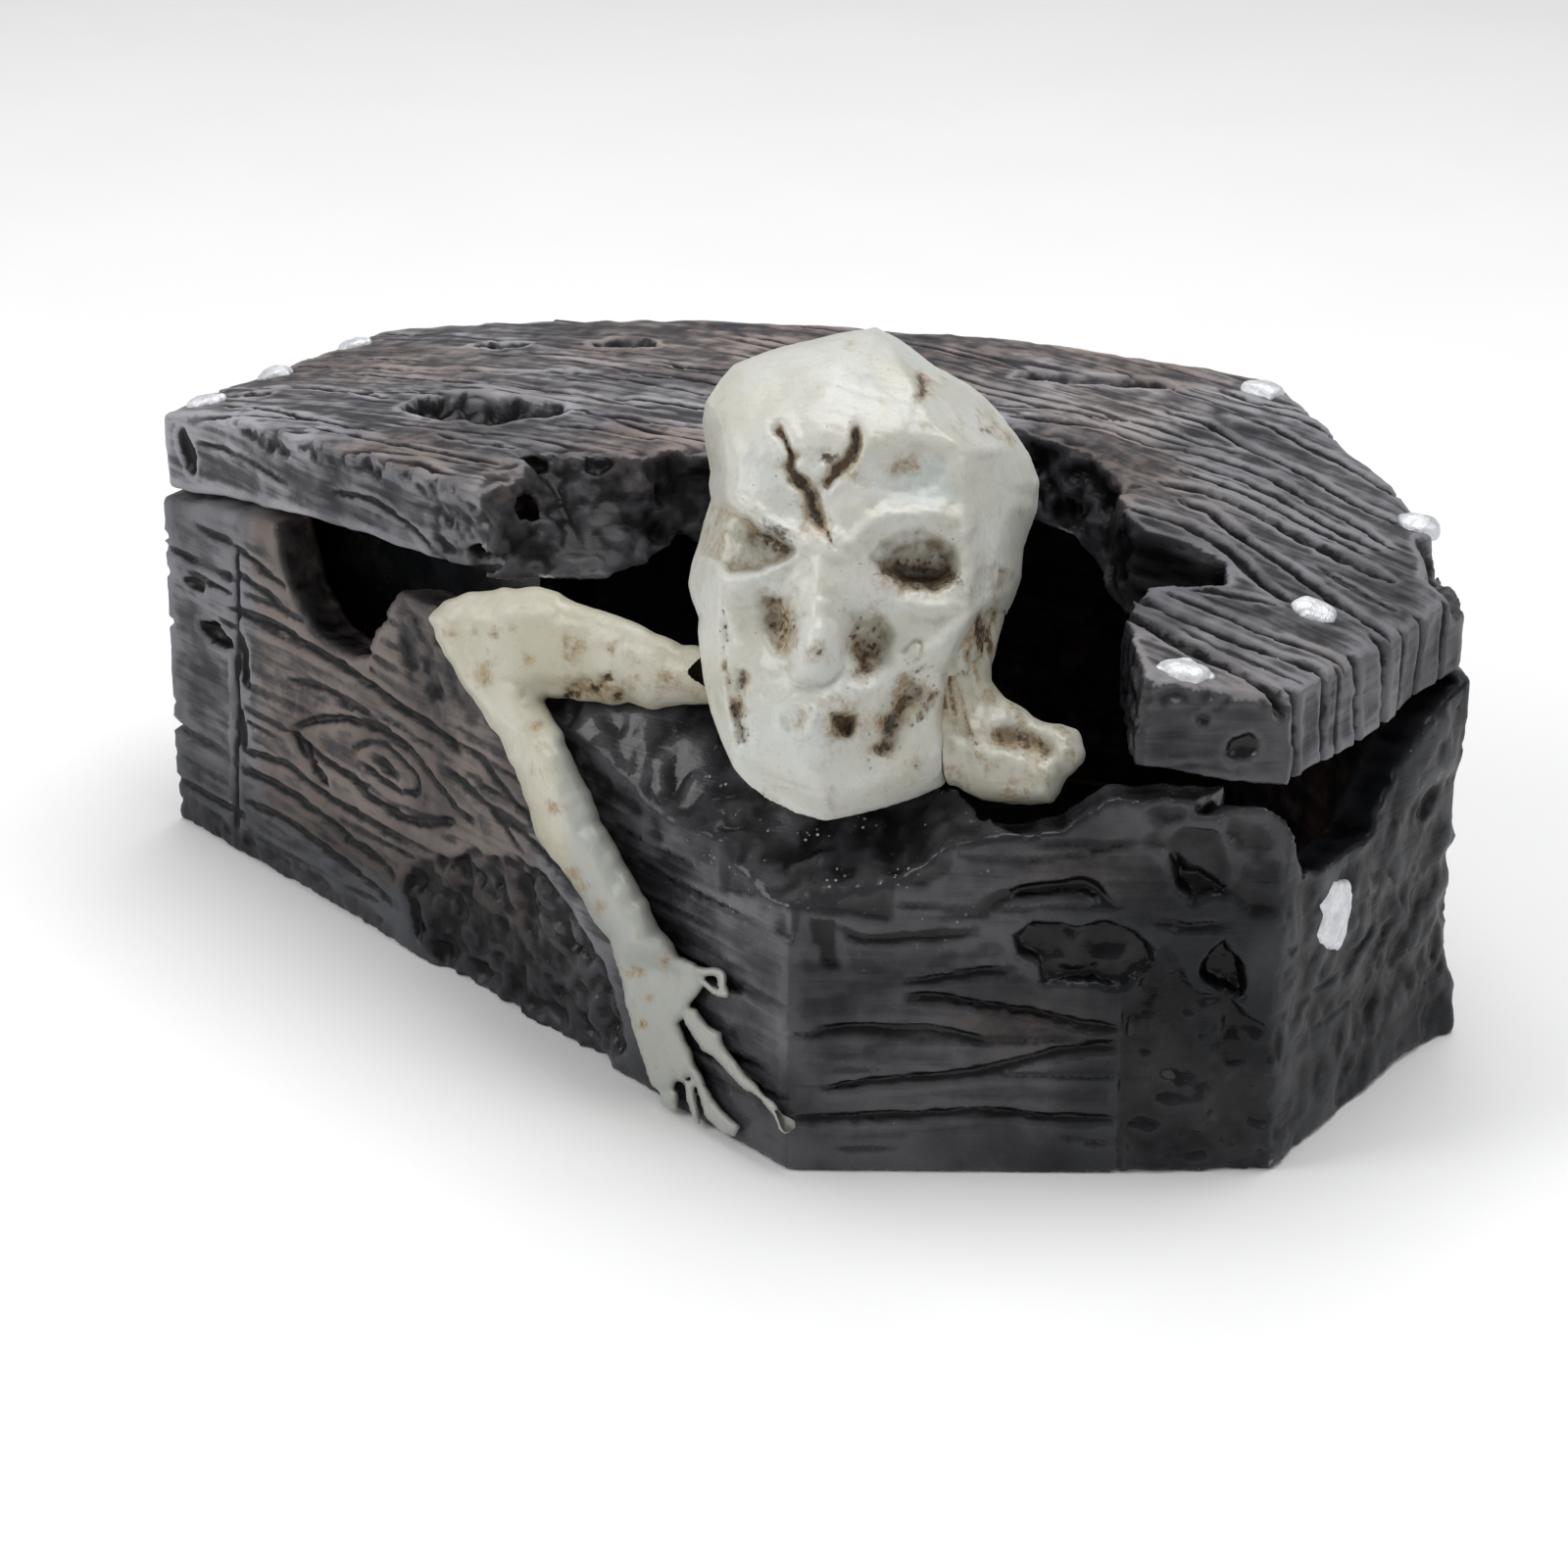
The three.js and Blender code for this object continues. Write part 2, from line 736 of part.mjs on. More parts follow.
// ---- air bell under the lid ----
const BELL_PLAN = [
  [-49.6, -8.6],
  [-16.6, -15.0],
  [-16.6, 17.6],
  [-49.6, 10.4],
];
const bellUnder = LID_LOW_END_Z + LID_POCKET_DEPTH - GAP;
const earAt = (x) => [
  [x - 3.4, screwY(x) - 3.2],
  [x + 3.4, screwY(x) - 3.2],
  [x + 3.4, screwY(x) + 3.2],
  [x - 3.4, screwY(x) + 3.2],
];
const airBell = prism(BELL_PLAN, BELL_MOUTH_Z, 60)
  .intersect(band(0, null, bellUnder, LID_TOP_ARCH))
  .subtract(
    prism(inset(BELL_PLAN, BELL_WALL), 0, 60).intersect(
      band(0, null, bellUnder - BELL_WALL, LID_TOP_ARCH),
    ),
  )
  .add(
    union(
      SCREW_X.map((x) =>
        prism(
          x < -30
            ? [
                [-56.6, -3.2],
                [-49.0, -3.2],
                [-49.0, 3.2],
                [-56.6, 3.2],
              ]
            : [
                [-17.2, -1.2],
                [-9.4, -1.2],
                [-9.4, 5.2],
                [-17.2, 5.2],
              ],
          20,
          60,
        ).intersect(band(bellUnder - 1.6, LID_TOP_ARCH, bellUnder, LID_TOP_ARCH)),
      ),
    ),
  )
  .subtract(
    union(
      SCREW_X.map((x) =>
        bar(
          [x, screwY(x), screwTop(x) - 6],
          [x, screwY(x), screwTop(x) + 3],
          1.25,
          1.25,
          12,
        ),
      ),
    ),
  );
const bellScrew = (x) => {
  // pan head under the ear, shank up into the lid
  const z = screwTop(x) - GAP - 1.6 - 2.1;
  return turned(
    [
      [0, 0],
      [1.5, 0],
      [2.2, 0.6],
      [2.2, 1.5],
      [0.95, 1.5],
      [0.95, 6.2],
      [0, 7.0],
    ],
    new THREE.Vector3(x, screwY(x), z - 0.1),
    new THREE.Vector3(0, 0, 1),
    14,
  ).subtract(
    solid(
      new THREE.BoxGeometry(2.6, 0.5, 0.9).translate(
        x,
        screwY(x),
        z - 0.1 + 0.2,
      ),
    ),
  );
};

// ---- air inlet through the back wall ----
const along = (off) => BACK.at(backS(AIRLINE_S), off, AIRLINE_Z);
const inletGrommet = turned(
  [
    [2.05, -WALL - 1.9],
    [5.2, -WALL - 1.9],
    [5.2, -WALL - GAP],
    [3.5, -WALL - GAP],
    [3.5, GAP],
    [5.2, GAP],
    [5.2, 1.9],
    [2.05, 1.9],
    [2.05, -WALL - 1.9],
  ],
  along(0),
  outward,
  20,
);
const airInletNipple = turned(
  [
    [NIPPLE_BORE_R, -WALL - 9.5],
    [1.6, -WALL - 9.5],
    [NIPPLE_R, -WALL - 8.3],
    [1.7, -WALL - 7.9],
    [1.7, -WALL - 7.0],
    [NIPPLE_R, -WALL - 5.8],
    [1.7, -WALL - 5.4],
    [1.7, 2.2],
    [3.0, 2.2],
    [3.0, 3.2],
    [1.7, 3.2],
    [1.7, 5.0],
    [NIPPLE_R, 5.2],
    [1.7, 6.6],
    [NIPPLE_R, 6.8],
    [1.6, 8.4],
    [NIPPLE_BORE_R, 8.4],
    [NIPPLE_BORE_R, -WALL - 9.5],
  ],
  along(0),
  outward,
  20,
);

// ---- air stone on the floor, its stem, clips and the hose to it ----
const STONE_AT = new THREE.Vector3(-48, 0, AIRLINE_Z);
const alongX = new THREE.Vector3(1, 0, 0);
const airStone = turned(
  [
    [0, 0],
    [STONE_R - 0.8, 0],
    [STONE_R, 0.8],
    [STONE_R, 21.2],
    [STONE_R - 0.8, 22],
    [2.3, 22],
    [2.3, 17],
    [0, 17],
  ],
  STONE_AT,
  alongX,
  20,
);
const airStoneStem = turned(
  [
    [NIPPLE_BORE_R, 17.4],
    [2.0, 17.4],
    [2.0, 22.3],
    [3.2, 22.3],
    [3.2, 23.4],
    [1.7, 23.4],
    [1.7, 24.6],
    [NIPPLE_R, 24.9],
    [1.7, 26.2],
    [NIPPLE_R, 26.5],
    [1.6, 29.0],
    [NIPPLE_BORE_R, 29.0],
    [NIPPLE_BORE_R, 17.4],
  ],
  STONE_AT,
  alongX,
  20,
);
function stoneClip(x) {
  // a C of 250 degrees, open at the top, on a foot
  const shape = new THREE.Shape();
  const open = THREE.MathUtils.degToRad(52);
  const r0 = STONE_R + GAP,
    r1 = r0 + 1.2,
    N = 18;
  const a0 = Math.PI / 2 + open,
    a1 = Math.PI / 2 - open + 2 * Math.PI;
  for (let i = 0; i <= N; i++) {
    const a = a0 + ((a1 - a0) * i) / N;
    i === 0
      ? shape.moveTo(r1 * Math.cos(a), r1 * Math.sin(a))
      : shape.lineTo(r1 * Math.cos(a), r1 * Math.sin(a));
  }
  for (let i = N; i >= 0; i--) {
    const a = a0 + ((a1 - a0) * i) / N;
    shape.lineTo(r0 * Math.cos(a), r0 * Math.sin(a));
  }
  const ring = new THREE.ExtrudeGeometry(shape, {
    depth: 4,
    bevelEnabled: false,
  });
  // local x -> -Y, local y -> +Z, local z -> -X
  ring.applyMatrix4(
    new THREE.Matrix4().makeBasis(
      new THREE.Vector3(0, 1, 0),
      new THREE.Vector3(0, 0, 1),
      new THREE.Vector3(1, 0, 0),
    ),
  );
  const c = solid(ring.translate(x - 2, 0, AIRLINE_Z));
  const foot = solid(
    new THREE.BoxGeometry(4, 15, 1.1).translate(x, 0, FLOOR + GAP + 0.55),
  );
  // bring the ring down onto its foot
  const stem = solid(
    new THREE.BoxGeometry(4, 5, 1.6).translate(x, 0, FLOOR + GAP + 0.8),
  );
  const inner = bar(
    [x - 3, 0, AIRLINE_Z],
    [x + 3, 0, AIRLINE_Z],
    r0,
    r0,
    24,
  );
  return c.add(foot).add(stem.subtract(inner));
}
const hoseLine = new THREE.CatmullRomCurve3(
  [
    new THREE.Vector3(-24.0, 0, AIRLINE_Z),
    new THREE.Vector3(-17.0, 0, AIRLINE_Z),
    new THREE.Vector3(-10.5, 0.6, AIRLINE_Z),
    new THREE.Vector3(-6.0, 3.6, AIRLINE_Z),
    along(-WALL - 16.5),
    along(-WALL - 12.5),
    along(-WALL - 7.5),
    along(-WALL - 2.3),
  ],
  false,
  "centripetal",
);
const hoseSection = new THREE.Shape();
hoseSection.absarc(0, 0, HOSE_R, 0, 2 * Math.PI, false);
const hoseHole = new THREE.Path();
hoseHole.absarc(0, 0, HOSE_BORE_R, 0, 2 * Math.PI, true);
hoseSection.holes.push(hoseHole);
const airHose = solid(
  new THREE.ExtrudeGeometry(hoseSection, {
    steps: 20,
    curveSegments: 5,
    bevelEnabled: false,
    extrudePath: hoseLine,
  }),
);

// ---- scene graph ----
const finish = (color, roughness, metalness = 0) =>
  new THREE.MeshStandardMaterial({ color, roughness, metalness });
function mesh(name, manifold, material) {
  const m = new THREE.Mesh(geometryOf(manifold), material);
  m.name = name;
  return m;
}
const coffinGroup = new THREE.Group();
coffinGroup.add(
  mesh("coffin_base", coffinBase, finish(0x2b292b, 0.45)),
  mesh("hinge_lug_foot", footHinge.baseLug, finish(0x1c1c1e, 0.5)),
  mesh("hinge_lug_head", headHinge.baseLug, finish(0x1c1c1e, 0.5)),
  mesh("hinge_pin_foot", footHinge.pin, finish(0xb9bcc0, 0.25, 1)),
  mesh("hinge_pin_head", headHinge.pin, finish(0xb9bcc0, 0.25, 1)),
  mesh("pin_retainer_foot", footHinge.cap, finish(0x303134, 0.5)),
  mesh("pin_retainer_head", headHinge.cap, finish(0x303134, 0.5)),
);
const skeletonGroup = new THREE.Group();
skeletonGroup.add(
  mesh("skull", skull, finish(0xd9d7cc, 0.4)),
  mesh("neck_and_collarbone", largest(neck), finish(0xd3ccb8, 0.45)),
  mesh("arm_and_hand", largest(arm), finish(0xd9d4c0, 0.45)),
);
const airGroup = new THREE.Group();
airGroup.add(
  mesh("air_inlet_nipple", airInletNipple, finish(0x3a3d40, 0.35)),
  mesh("inlet_grommet", inletGrommet, finish(0x151515, 0.8)),
  mesh("air_hose", airHose, finish(0xcfd8dc, 0.3)),
  mesh("air_stone", airStone, finish(0x6f7f95, 0.95)),
  mesh("air_stone_stem", airStoneStem, finish(0x2f4d7a, 0.4)),
  mesh("stone_clip_foot", stoneClip(-43.5), finish(0x202225, 0.5)),
  mesh("stone_clip_head", stoneClip(-30.5), finish(0x202225, 0.5)),
);
const lidGroup = new THREE.Group();
lidGroup.add(
  mesh("coffin_lid", lid, finish(0x2f2c2d, 0.45)),
  mesh("hinge_knuckle_foot", footHinge.lidKnuckle, finish(0x1c1c1e, 0.5)),
  mesh("hinge_knuckle_head", headHinge.lidKnuckle, finish(0x1c1c1e, 0.5)),
  mesh("air_bell", airBell, finish(0x17181a, 0.3)),
  mesh("bell_screw_foot", bellScrew(SCREW_X[0]), finish(0xb9bcc0, 0.25, 1)),
  mesh("bell_screw_head", bellScrew(SCREW_X[1]), finish(0xb9bcc0, 0.25, 1)),
);
const ornament = new THREE.Group();
ornament.add(coffinGroup, skeletonGroup, airGroup, lidGroup);

export default ornament;
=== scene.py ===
import json
import math

import bpy
import numpy as np
from mathutils import Matrix, Vector

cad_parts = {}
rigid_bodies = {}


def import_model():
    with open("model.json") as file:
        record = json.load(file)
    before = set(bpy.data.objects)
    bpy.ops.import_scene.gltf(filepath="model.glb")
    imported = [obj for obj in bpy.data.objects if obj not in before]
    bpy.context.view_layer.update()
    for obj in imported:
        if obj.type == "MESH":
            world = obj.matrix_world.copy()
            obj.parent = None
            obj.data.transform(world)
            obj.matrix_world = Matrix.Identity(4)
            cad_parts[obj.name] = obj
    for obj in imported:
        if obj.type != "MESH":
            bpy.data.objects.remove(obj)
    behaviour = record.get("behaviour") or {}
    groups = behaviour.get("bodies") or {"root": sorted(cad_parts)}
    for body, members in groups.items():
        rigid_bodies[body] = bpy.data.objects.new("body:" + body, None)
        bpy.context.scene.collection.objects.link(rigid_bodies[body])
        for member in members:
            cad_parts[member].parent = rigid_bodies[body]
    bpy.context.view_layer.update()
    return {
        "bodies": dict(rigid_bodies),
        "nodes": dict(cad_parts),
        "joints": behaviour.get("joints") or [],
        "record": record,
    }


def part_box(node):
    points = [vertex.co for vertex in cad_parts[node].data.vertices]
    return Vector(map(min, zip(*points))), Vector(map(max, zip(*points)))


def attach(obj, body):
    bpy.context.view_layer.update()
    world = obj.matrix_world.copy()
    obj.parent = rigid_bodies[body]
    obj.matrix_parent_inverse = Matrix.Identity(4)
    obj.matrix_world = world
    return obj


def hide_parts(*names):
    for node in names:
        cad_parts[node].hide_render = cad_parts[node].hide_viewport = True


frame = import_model()
NODES = frame["nodes"]
MM = 0.001
F32 = np.float32

# ------------------------------------------------------------------ plan of the coffin, in millimetres
PLAN = dict(E=(-62.5, -16.7), A=(28.8, -40.0), B=(62.5, -16.8), C=(62.5, 16.8), D=(28.8, 44.0), F=(-62.5, 16.7))
WALL_NAMES = ["EA", "AB", "BC", "CD", "DF", "FE"]
WALL = 5.0
FLOOR = 5.0
FRONT_HOLE = [(19.8, 39.6), (20.2, 36.6), (21.1, 34.1), (22.1, 31.5), (25.3, 28.8), (27.7, 28.1), (31.2, 27.9), (34.1, 28.8), (37, 33.4), (39.4, 36.9), (44.8, 36.7),
              (52.6, 34), (61.2, 31.6), (70.2, 30.3), (77.3, 27.4), (85.8, 28.1), (90.7, 24.7), (112, 24.6), (112, 60), (19.8, 60)]
SIDE_HOLE = [(-6, 24.4), (-2.9, 24.4), (-0.4, 27.2), (10.1, 27.7), (12.7, 30.6), (16.7, 31.2), (22.4, 31.9), (25.7, 34.9),
             (30, 34.9), (39.6, 35), (47, 34.6), (47, 60), (-6, 60)]
HEAD_HOLE = [(-6, 34.6), (-0.7, 34.6), (3.4, 27.2), (7.2, 25.6), (16.3, 25.8), (22.2, 30.6), (24.6, 33.5), (31.8, 34.7),
             (33, 60), (-6, 60)]
BREAK_TOP = [(-11.4, -36), (-11.3, -29.6), (-12.3, -24.8), (-14.6, -20), (-14.7, -17.7), (-11.9, -15.8), (-8.2, -15.6),
             (-5.9, -14.6), (-5.6, -12.3), (-5.2, -10.3), (-1.9, -9.7), (3, -3), (9, 6), (14, 12), (19, 14.6), (24.9, 13.5),
             (30.8, 9.6), (34.5, 4), (37, 1.6), (46.5, 1.1), (48.7, -2.9), (44, -9), (45.3, -14.5), (52.3, -24), (54, -30),
             (40, -60), (-11.4, -60)]
BREAK_LOW = [(-10.9, -36), (-10.8, -29.4), (-8, -28.4), (-2, -28), (4, -27.6), (5.5, -26), (2.1, -22.6), (0.2, -18.5),
             (-0.6, -16), (-0.9, -12.6), (0, -9.4), (4.5, -3.4), (10.2, 5), (14.8, 10.6), (19.2, 12.6), (24.2, 11.8),
             (29.6, 8.2), (33.2, 3), (36.4, 0.9), (45.6, 0.6), (47.6, -2.9), (43.6, -8.6), (45, -14.6), (52, -24.2),
             (53.8, -30), (40, -60), (-10.9, -60)]
CHIP = [(56.5, 27), (55.2, 20.5), (58.2, 16.2), (60, 12.6), (66, 11.5), (66, 27)]
POCKET = [(-57.4, -12.4), (-16, -20), (-16, -4.4), (-8.4, -4.4), (-8.4, 8.4), (-15.4, 8.4), (-15.4, 24), (-57.4, 12.6)]


def rim_z(x):
    return 35.1 + 5.5 * (1 - (x / 62.5) ** 2)


def lid_z(x):
    return 43.8 + 6.14 * (1 - (x / 62.5) ** 2)


class Wall:
    def __init__(self, name):
        p, q = np.array(PLAN[name[0]], float), np.array(PLAN[name[1]], float)
        t = q - p
        self.len = float(np.linalg.norm(t))
        self.t = t / self.len
        self.p = p
        self.n = np.array([self.t[1], -self.t[0]])
        self.reach = float(p @ self.n)
        self.name = name

    def s(self, x, y):
        return (x - self.p[0]) * F32(self.t[0]) + (y - self.p[1]) * F32(self.t[1])

    def off(self, x, y):
        return (x - self.p[0]) * F32(self.n[0]) + (y - self.p[1]) * F32(self.n[1])


WALLS = [Wall(n) for n in WALL_NAMES]

# ------------------------------------------------------------------ noise
_rng = np.random.default_rng(20)
_LAT = (_rng.random((64, 64, 64)) * 2 - 1).astype(F32)
_SHIFT = _rng.random((200, 3)) * 61.7


def noise(x, y, z, seed=0):
    """smooth lattice noise, about -1 to 1, at any number of points"""
    sh = _SHIFT[seed % 200]
    out = None
    fs, ids = [], []
    for c, o in zip((x, y, z), sh):
        c = np.asarray(c, F32) + F32(o)
        i = np.floor(c)
        f = c - i
        i = i.astype(np.int32)
        ids.append((i & 63, (i + 1) & 63))
        fs.append(f * f * (3 - 2 * f))
    fx, fy, fz = fs
    for a in (0, 1):
        wx = fx if a else 1 - fx
        for b in (0, 1):
            wy = fy if b else 1 - fy
            for c in (0, 1):
                wz = fz if c else 1 - fz
                v = _LAT[ids[0][a], ids[1][b], ids[2][c]] * (wx * wy * wz)
                out = v if out is None else out + v
    return out


def fbm(x, y, z, octaves=3, gain=0.5, seed=0):
    total, amp, norm, k = 0.0, 1.0, 0.0, 1.0
    for o in range(octaves):
        total = total + amp * noise(x * F32(k), y * F32(k), z * F32(k), seed + 7 * o)
        norm += amp
        amp *= gain
        k *= 2.03
    return total / F32(norm)


def cells(x, y, z, seed=0):
    """distance to the nearest of scattered points, one to a cell"""
    sh = _SHIFT[(seed + 50) % 200]
    x, y, z = (np.asarray(c, F32) + F32(o) for c, o in zip((x, y, z), sh))
    ix, iy, iz = (np.floor(c).astype(np.int32) for c in (x, y, z))
    best = np.full(np.broadcast(x, y, z).shape, 9.0, F32)
    for a in (-1, 0, 1):
        for b in (-1, 0, 1):
            for c in (-1, 0, 1):
                jx, jy, jz = ix + a, iy + b, iz + c
                ux = _LAT[jx & 63, jy & 63, jz & 63] * 0.5 + 0.5
                uy = _LAT[(jx + 17) & 63, (jy + 5) & 63, (jz + 29) & 63] * 0.5 + 0.5
                uz = _LAT[(jx + 41) & 63, (jy + 33) & 63, (jz + 11) & 63] * 0.5 + 0.5
                d = (jx + ux - x) ** 2 + (jy + uy - y) ** 2 + (jz + uz - z) ** 2
                np.minimum(best, d, out=best)
    return np.sqrt(best)


def step(a, b, x):
    t = np.clip((x - a) / (b - a), 0, 1)
    return t * t * (3 - 2 * t)


def smax(a, b, k):
    """the larger of two distances, with the corner between them rounded by k"""
    h = np.clip(0.5 + 0.5 * (a - b) / k, 0, 1)
    return b + (a - b) * h + k * h * (1 - h)


def smin(a, b, k):
    return -smax(-a, -b, k)


# ------------------------------------------------------------------ flat outlines and reliefs
def smooth_line(pts, gap=0.5):
    """points of a soft curve through pts"""
    p = np.array(pts, float)
    if len(p) < 3:
        n = max(2, int(np.linalg.norm(p[-1] - p[0]) / gap) + 1)
        return np.linspace(p[0], p[-1], n)
    q = np.vstack([2 * p[0] - p[1], p, 2 * p[-1] - p[-2]])
    out = []
    for i in range(1, len(q) - 2):
        n = max(2, int(np.linalg.norm(q[i + 1] - q[i]) / gap) + 1)
        for t in np.linspace(0, 1, n, endpoint=False):
            a, b, c, d = q[i - 1], q[i], q[i + 1], q[i + 2]
            out.append(0.5 * (2 * b + (c - a) * t + (2 * a - 5 * b + 4 * c - d) * t * t + (3 * b - a - 3 * c + d) * t**3))
    out.append(p[-1])
    return np.array(out)


def line_distance(line, U, V):
    """distance to a line of points, and how far along it the nearest place is"""
    best = np.full(U.shape, 1e6, F32)
    along = np.zeros(U.shape, F32)
    run = 0.0
    for (ax, ay), (bx, by) in zip(line[:-1], line[1:]):
        dx, dy = bx - ax, by - ay
        ll = dx * dx + dy * dy
        if ll < 1e-12:
            continue
        t = np.clip(((U - ax) * dx + (V - ay) * dy) / ll, 0, 1)
        d = (U - ax - t * dx) ** 2 + (V - ay - t * dy) ** 2
        m = d < best
        best = np.where(m, d, best)
        along = np.where(m, run + t * math.sqrt(ll), along)
        run += math.sqrt(ll)
    return np.sqrt(best), along, run


def poly_distance(poly, U, V):
    """signed distance to a closed outline, negative inside"""
    p = np.array(poly, float)
    d, _, _ = line_distance(np.vstack([p, p[:1]]), U, V)
    inside = np.zeros(U.shape, bool)
    n = len(p)
    for i in range(n):
        (x0, y0), (x1, y1) = p[i], p[(i + 1) % n]
        if y0 == y1:
            continue
        cross = ((y0 > V) != (y1 > V)) & (U < (x1 - x0) * (V - y0) / (y1 - y0) + x0)
        inside ^= cross
    return np.where(inside, -d, d)


class Relief:
    """a height over a flat patch (u, v): what is carved out of it, and what stands up from it"""

    def __init__(self, u0, u1, v0, v1, res, seed):
        self.u0, self.v0, self.res, self.seed = u0, v0, res, seed
        u = np.arange(u0, u1 + res, res, dtype=F32)
        v = np.arange(v0, v1 + res, res, dtype=F32)
        self.U, self.V = np.meshgrid(u, v, indexing="ij")
        self.carve = np.zeros(self.U.shape, F32)
        self.rise = np.zeros(self.U.shape, F32)
        self.dark = np.zeros(self.U.shape, F32)
        self.warm = np.zeros(self.U.shape, F32)
        self.count = 0

    def window(self, lo, hi, pad):
        i0 = max(0, int((lo[0] - pad - self.u0) / self.res))
        j0 = max(0, int((lo[1] - pad - self.v0) / self.res))
        i1 = min(self.U.shape[0], int((hi[0] + pad - self.u0) / self.res) + 2)
        j1 = min(self.U.shape[1], int((hi[1] + pad - self.v0) / self.res) + 2)
        return slice(i0, max(i1, i0)), slice(j0, max(j1, j0))

    def cut(self, pts, w, d, lip=0.07, ends=2.0, ragged=0.35, dark=0.8):
        line = smooth_line(pts)
        win = self.window(line.min(0), line.max(0), w * 1.6 + 1.2)
        U, V = self.U[win], self.V[win]
        if U.size == 0:
            return
        self.count += 1
        dist, along, total = line_distance(line, U + 0.12 * noise(U * 1.1, V * 1.1, 0 * U, self.seed + self.count), V + 0.12 * noise(U * 0.9, V * 0.9, 0 * U + 5, self.seed + self.count))
        ww = w * (1 + ragged * noise(along * 0.45, 0 * along, 0 * along + self.count * 3.1, self.seed))
        taper = np.clip(np.minimum(along, total - along) / max(ends, 1e-3) + 0.12, 0, 1) ** 0.6
        ww = ww * (0.45 + 0.55 * taper)
        prof = np.clip(1 - (dist / ww) ** 2, 0, 1) ** 0.8 * taper
        dd = d * (1 + 0.3 * noise(along * 0.3, 0 * along, 0 * along + self.count * 1.7, self.seed + 3))
        self.carve[win] = np.maximum(self.carve[win], prof * dd)
        self.rise[win] = np.maximum(self.rise[win], lip * taper * np.exp(-(((dist - ww * 1.25) / 0.38) ** 2)))
        self.dark[win] = np.maximum(self.dark[win], dark * np.clip(1.25 - dist / ww, 0, 1) * taper)

    def hollow(self, poly, depth, soft=0.9, lump=0.5, scale=0.55, dark=0.75):
        p = np.array(poly, float)
        win = self.window(p.min(0), p.max(0), 2.5)
        U, V = self.U[win], self.V[win]
        if U.size == 0:
            return
        self.count += 1
        k = self.seed + self.count
        e = -poly_distance(poly, U + 0.5 * noise(U * 0.6, V * 0.6, 0 * U, k), V + 0.5 * noise(U * 0.6, V * 0.6, 0 * U + 9, k + 1))
        m = step(-0.1, soft, e)
        lumps = fbm(U * scale, V * scale, 0 * U + 2.2 * self.count, 3, 0.55, k + 2)
        self.carve[win] = np.maximum(self.carve[win], np.clip(m * (depth + lump * depth * 1.3 * lumps), 0, depth * 1.6))
        self.rise[win] = np.maximum(self.rise[win], 0.12 * np.exp(-(((e + 0.25) / 0.3) ** 2)))
        self.dark[win] = np.maximum(self.dark[win], dark * m)

    def pit(self, u, v, ru, rv, angle, depth, dark=0.85):
        r = max(ru, rv) * 1.5
        win = self.window((u - r, v - r), (u + r, v + r), 0.5)
        U, V = self.U[win], self.V[win]
        if U.size == 0:
            return
        self.count += 1
        a = math.radians(angle)
        x = (U - u) * math.cos(a) + (V - v) * math.sin(a)
        y = -(U - u) * math.sin(a) + (V - v) * math.cos(a)
        q = np.sqrt((x / ru) ** 2 + (y / rv) ** 2) * (1 + 0.22 * noise(U * 0.9, V * 0.9, 0 * U + self.count, self.seed + 4))
        prof = np.clip(1 - q**2, 0, 1) ** 0.7
        self.carve[win] = np.maximum(self.carve[win], prof * depth)
        self.rise[win] = np.maximum(self.rise[win], 0.14 * np.exp(-(((q - 1.08) / 0.14) ** 2)))
        self.dark[win] = np.maximum(self.dark[win], dark * step(1.1, 0.6, q))

    def rough(self, poly, amp, scale, soft=2.0, sink=0.4, dark=0.55):
        p = np.array(poly, float)
        win = self.window(p.min(0), p.max(0), 3.0)
        U, V = self.U[win], self.V[win]
        if U.size == 0:
            return
        self.count += 1
        k = self.seed + self.count
        e = -poly_distance(poly, U + 0.9 * noise(U * 0.35, V * 0.35, 0 * U, k), V + 0.9 * noise(U * 0.35, V * 0.35, 0 * U + 9, k + 1))
        m = step(0, soft, e)
        n = fbm(U * scale, V * scale, 0 * U + 1.3 * self.count, 4, 0.58, k + 2)
        c = np.clip(0.75 - cells(U * scale * 0.9, V * scale * 0.9, 0 * U + 3.3, k), 0, 1)
        self.carve[win] = np.maximum(self.carve[win] * (1 - 0.7 * m), np.clip(m * (sink + amp * (1.35 * n + 0.45 * c - 0.05)), 0, 3))
        self.dark[win] = np.maximum(self.dark[win], dark * m)

    def grain(self, spacing, width, depth, knots=(), wander=0.9, seed=0, inside=None, tilt=0.0, keep=0.5):
        """lines of wood grain that run along u and part round the knots"""
        U, V = self.U, self.V
        W = V + wander * fbm(U * 0.035, V * 0.08, 0 * U, 2, 0.5, self.seed + seed) + 0.25 * noise(U * 0.16, V * 0.2, 0 * U, self.seed + seed + 1) + tilt * U
        for ku, kv, ru, rv, amp in knots:
            du, dv = (U - ku) / ru, (V - kv) / rv
            W = W - amp * np.tanh(2.0 * dv) * np.exp(-(du**2) - 0.6 * dv**2)
        q = W / spacing
        n = np.floor(q)
        fr = (q - n - 0.5) * spacing
        shift = noise(n * 7.31, 0 * n, 0 * n, self.seed + seed + 2) * 0.28 * spacing
        on = noise(U * 0.055, n * 5.7, 0 * U, self.seed + seed + 3) + 0.35 * noise(U * 0.2, n * 3.1, 0 * U, self.seed + seed + 4)
        on = step(-0.05 + 0.4 * (0.5 - keep), 0.3 + 0.4 * (0.5 - keep), on)
        ww = width * (1 + 0.4 * noise(U * 0.2, n * 2.3, 0 * U, self.seed + seed + 5)) * (0.5 + 0.5 * on)
        prof = np.clip(1 - ((fr - shift) / ww) ** 2, 0, 1) * on
        m = 1.0 if inside is None else inside
        self.carve = np.maximum(self.carve, prof * depth * m)
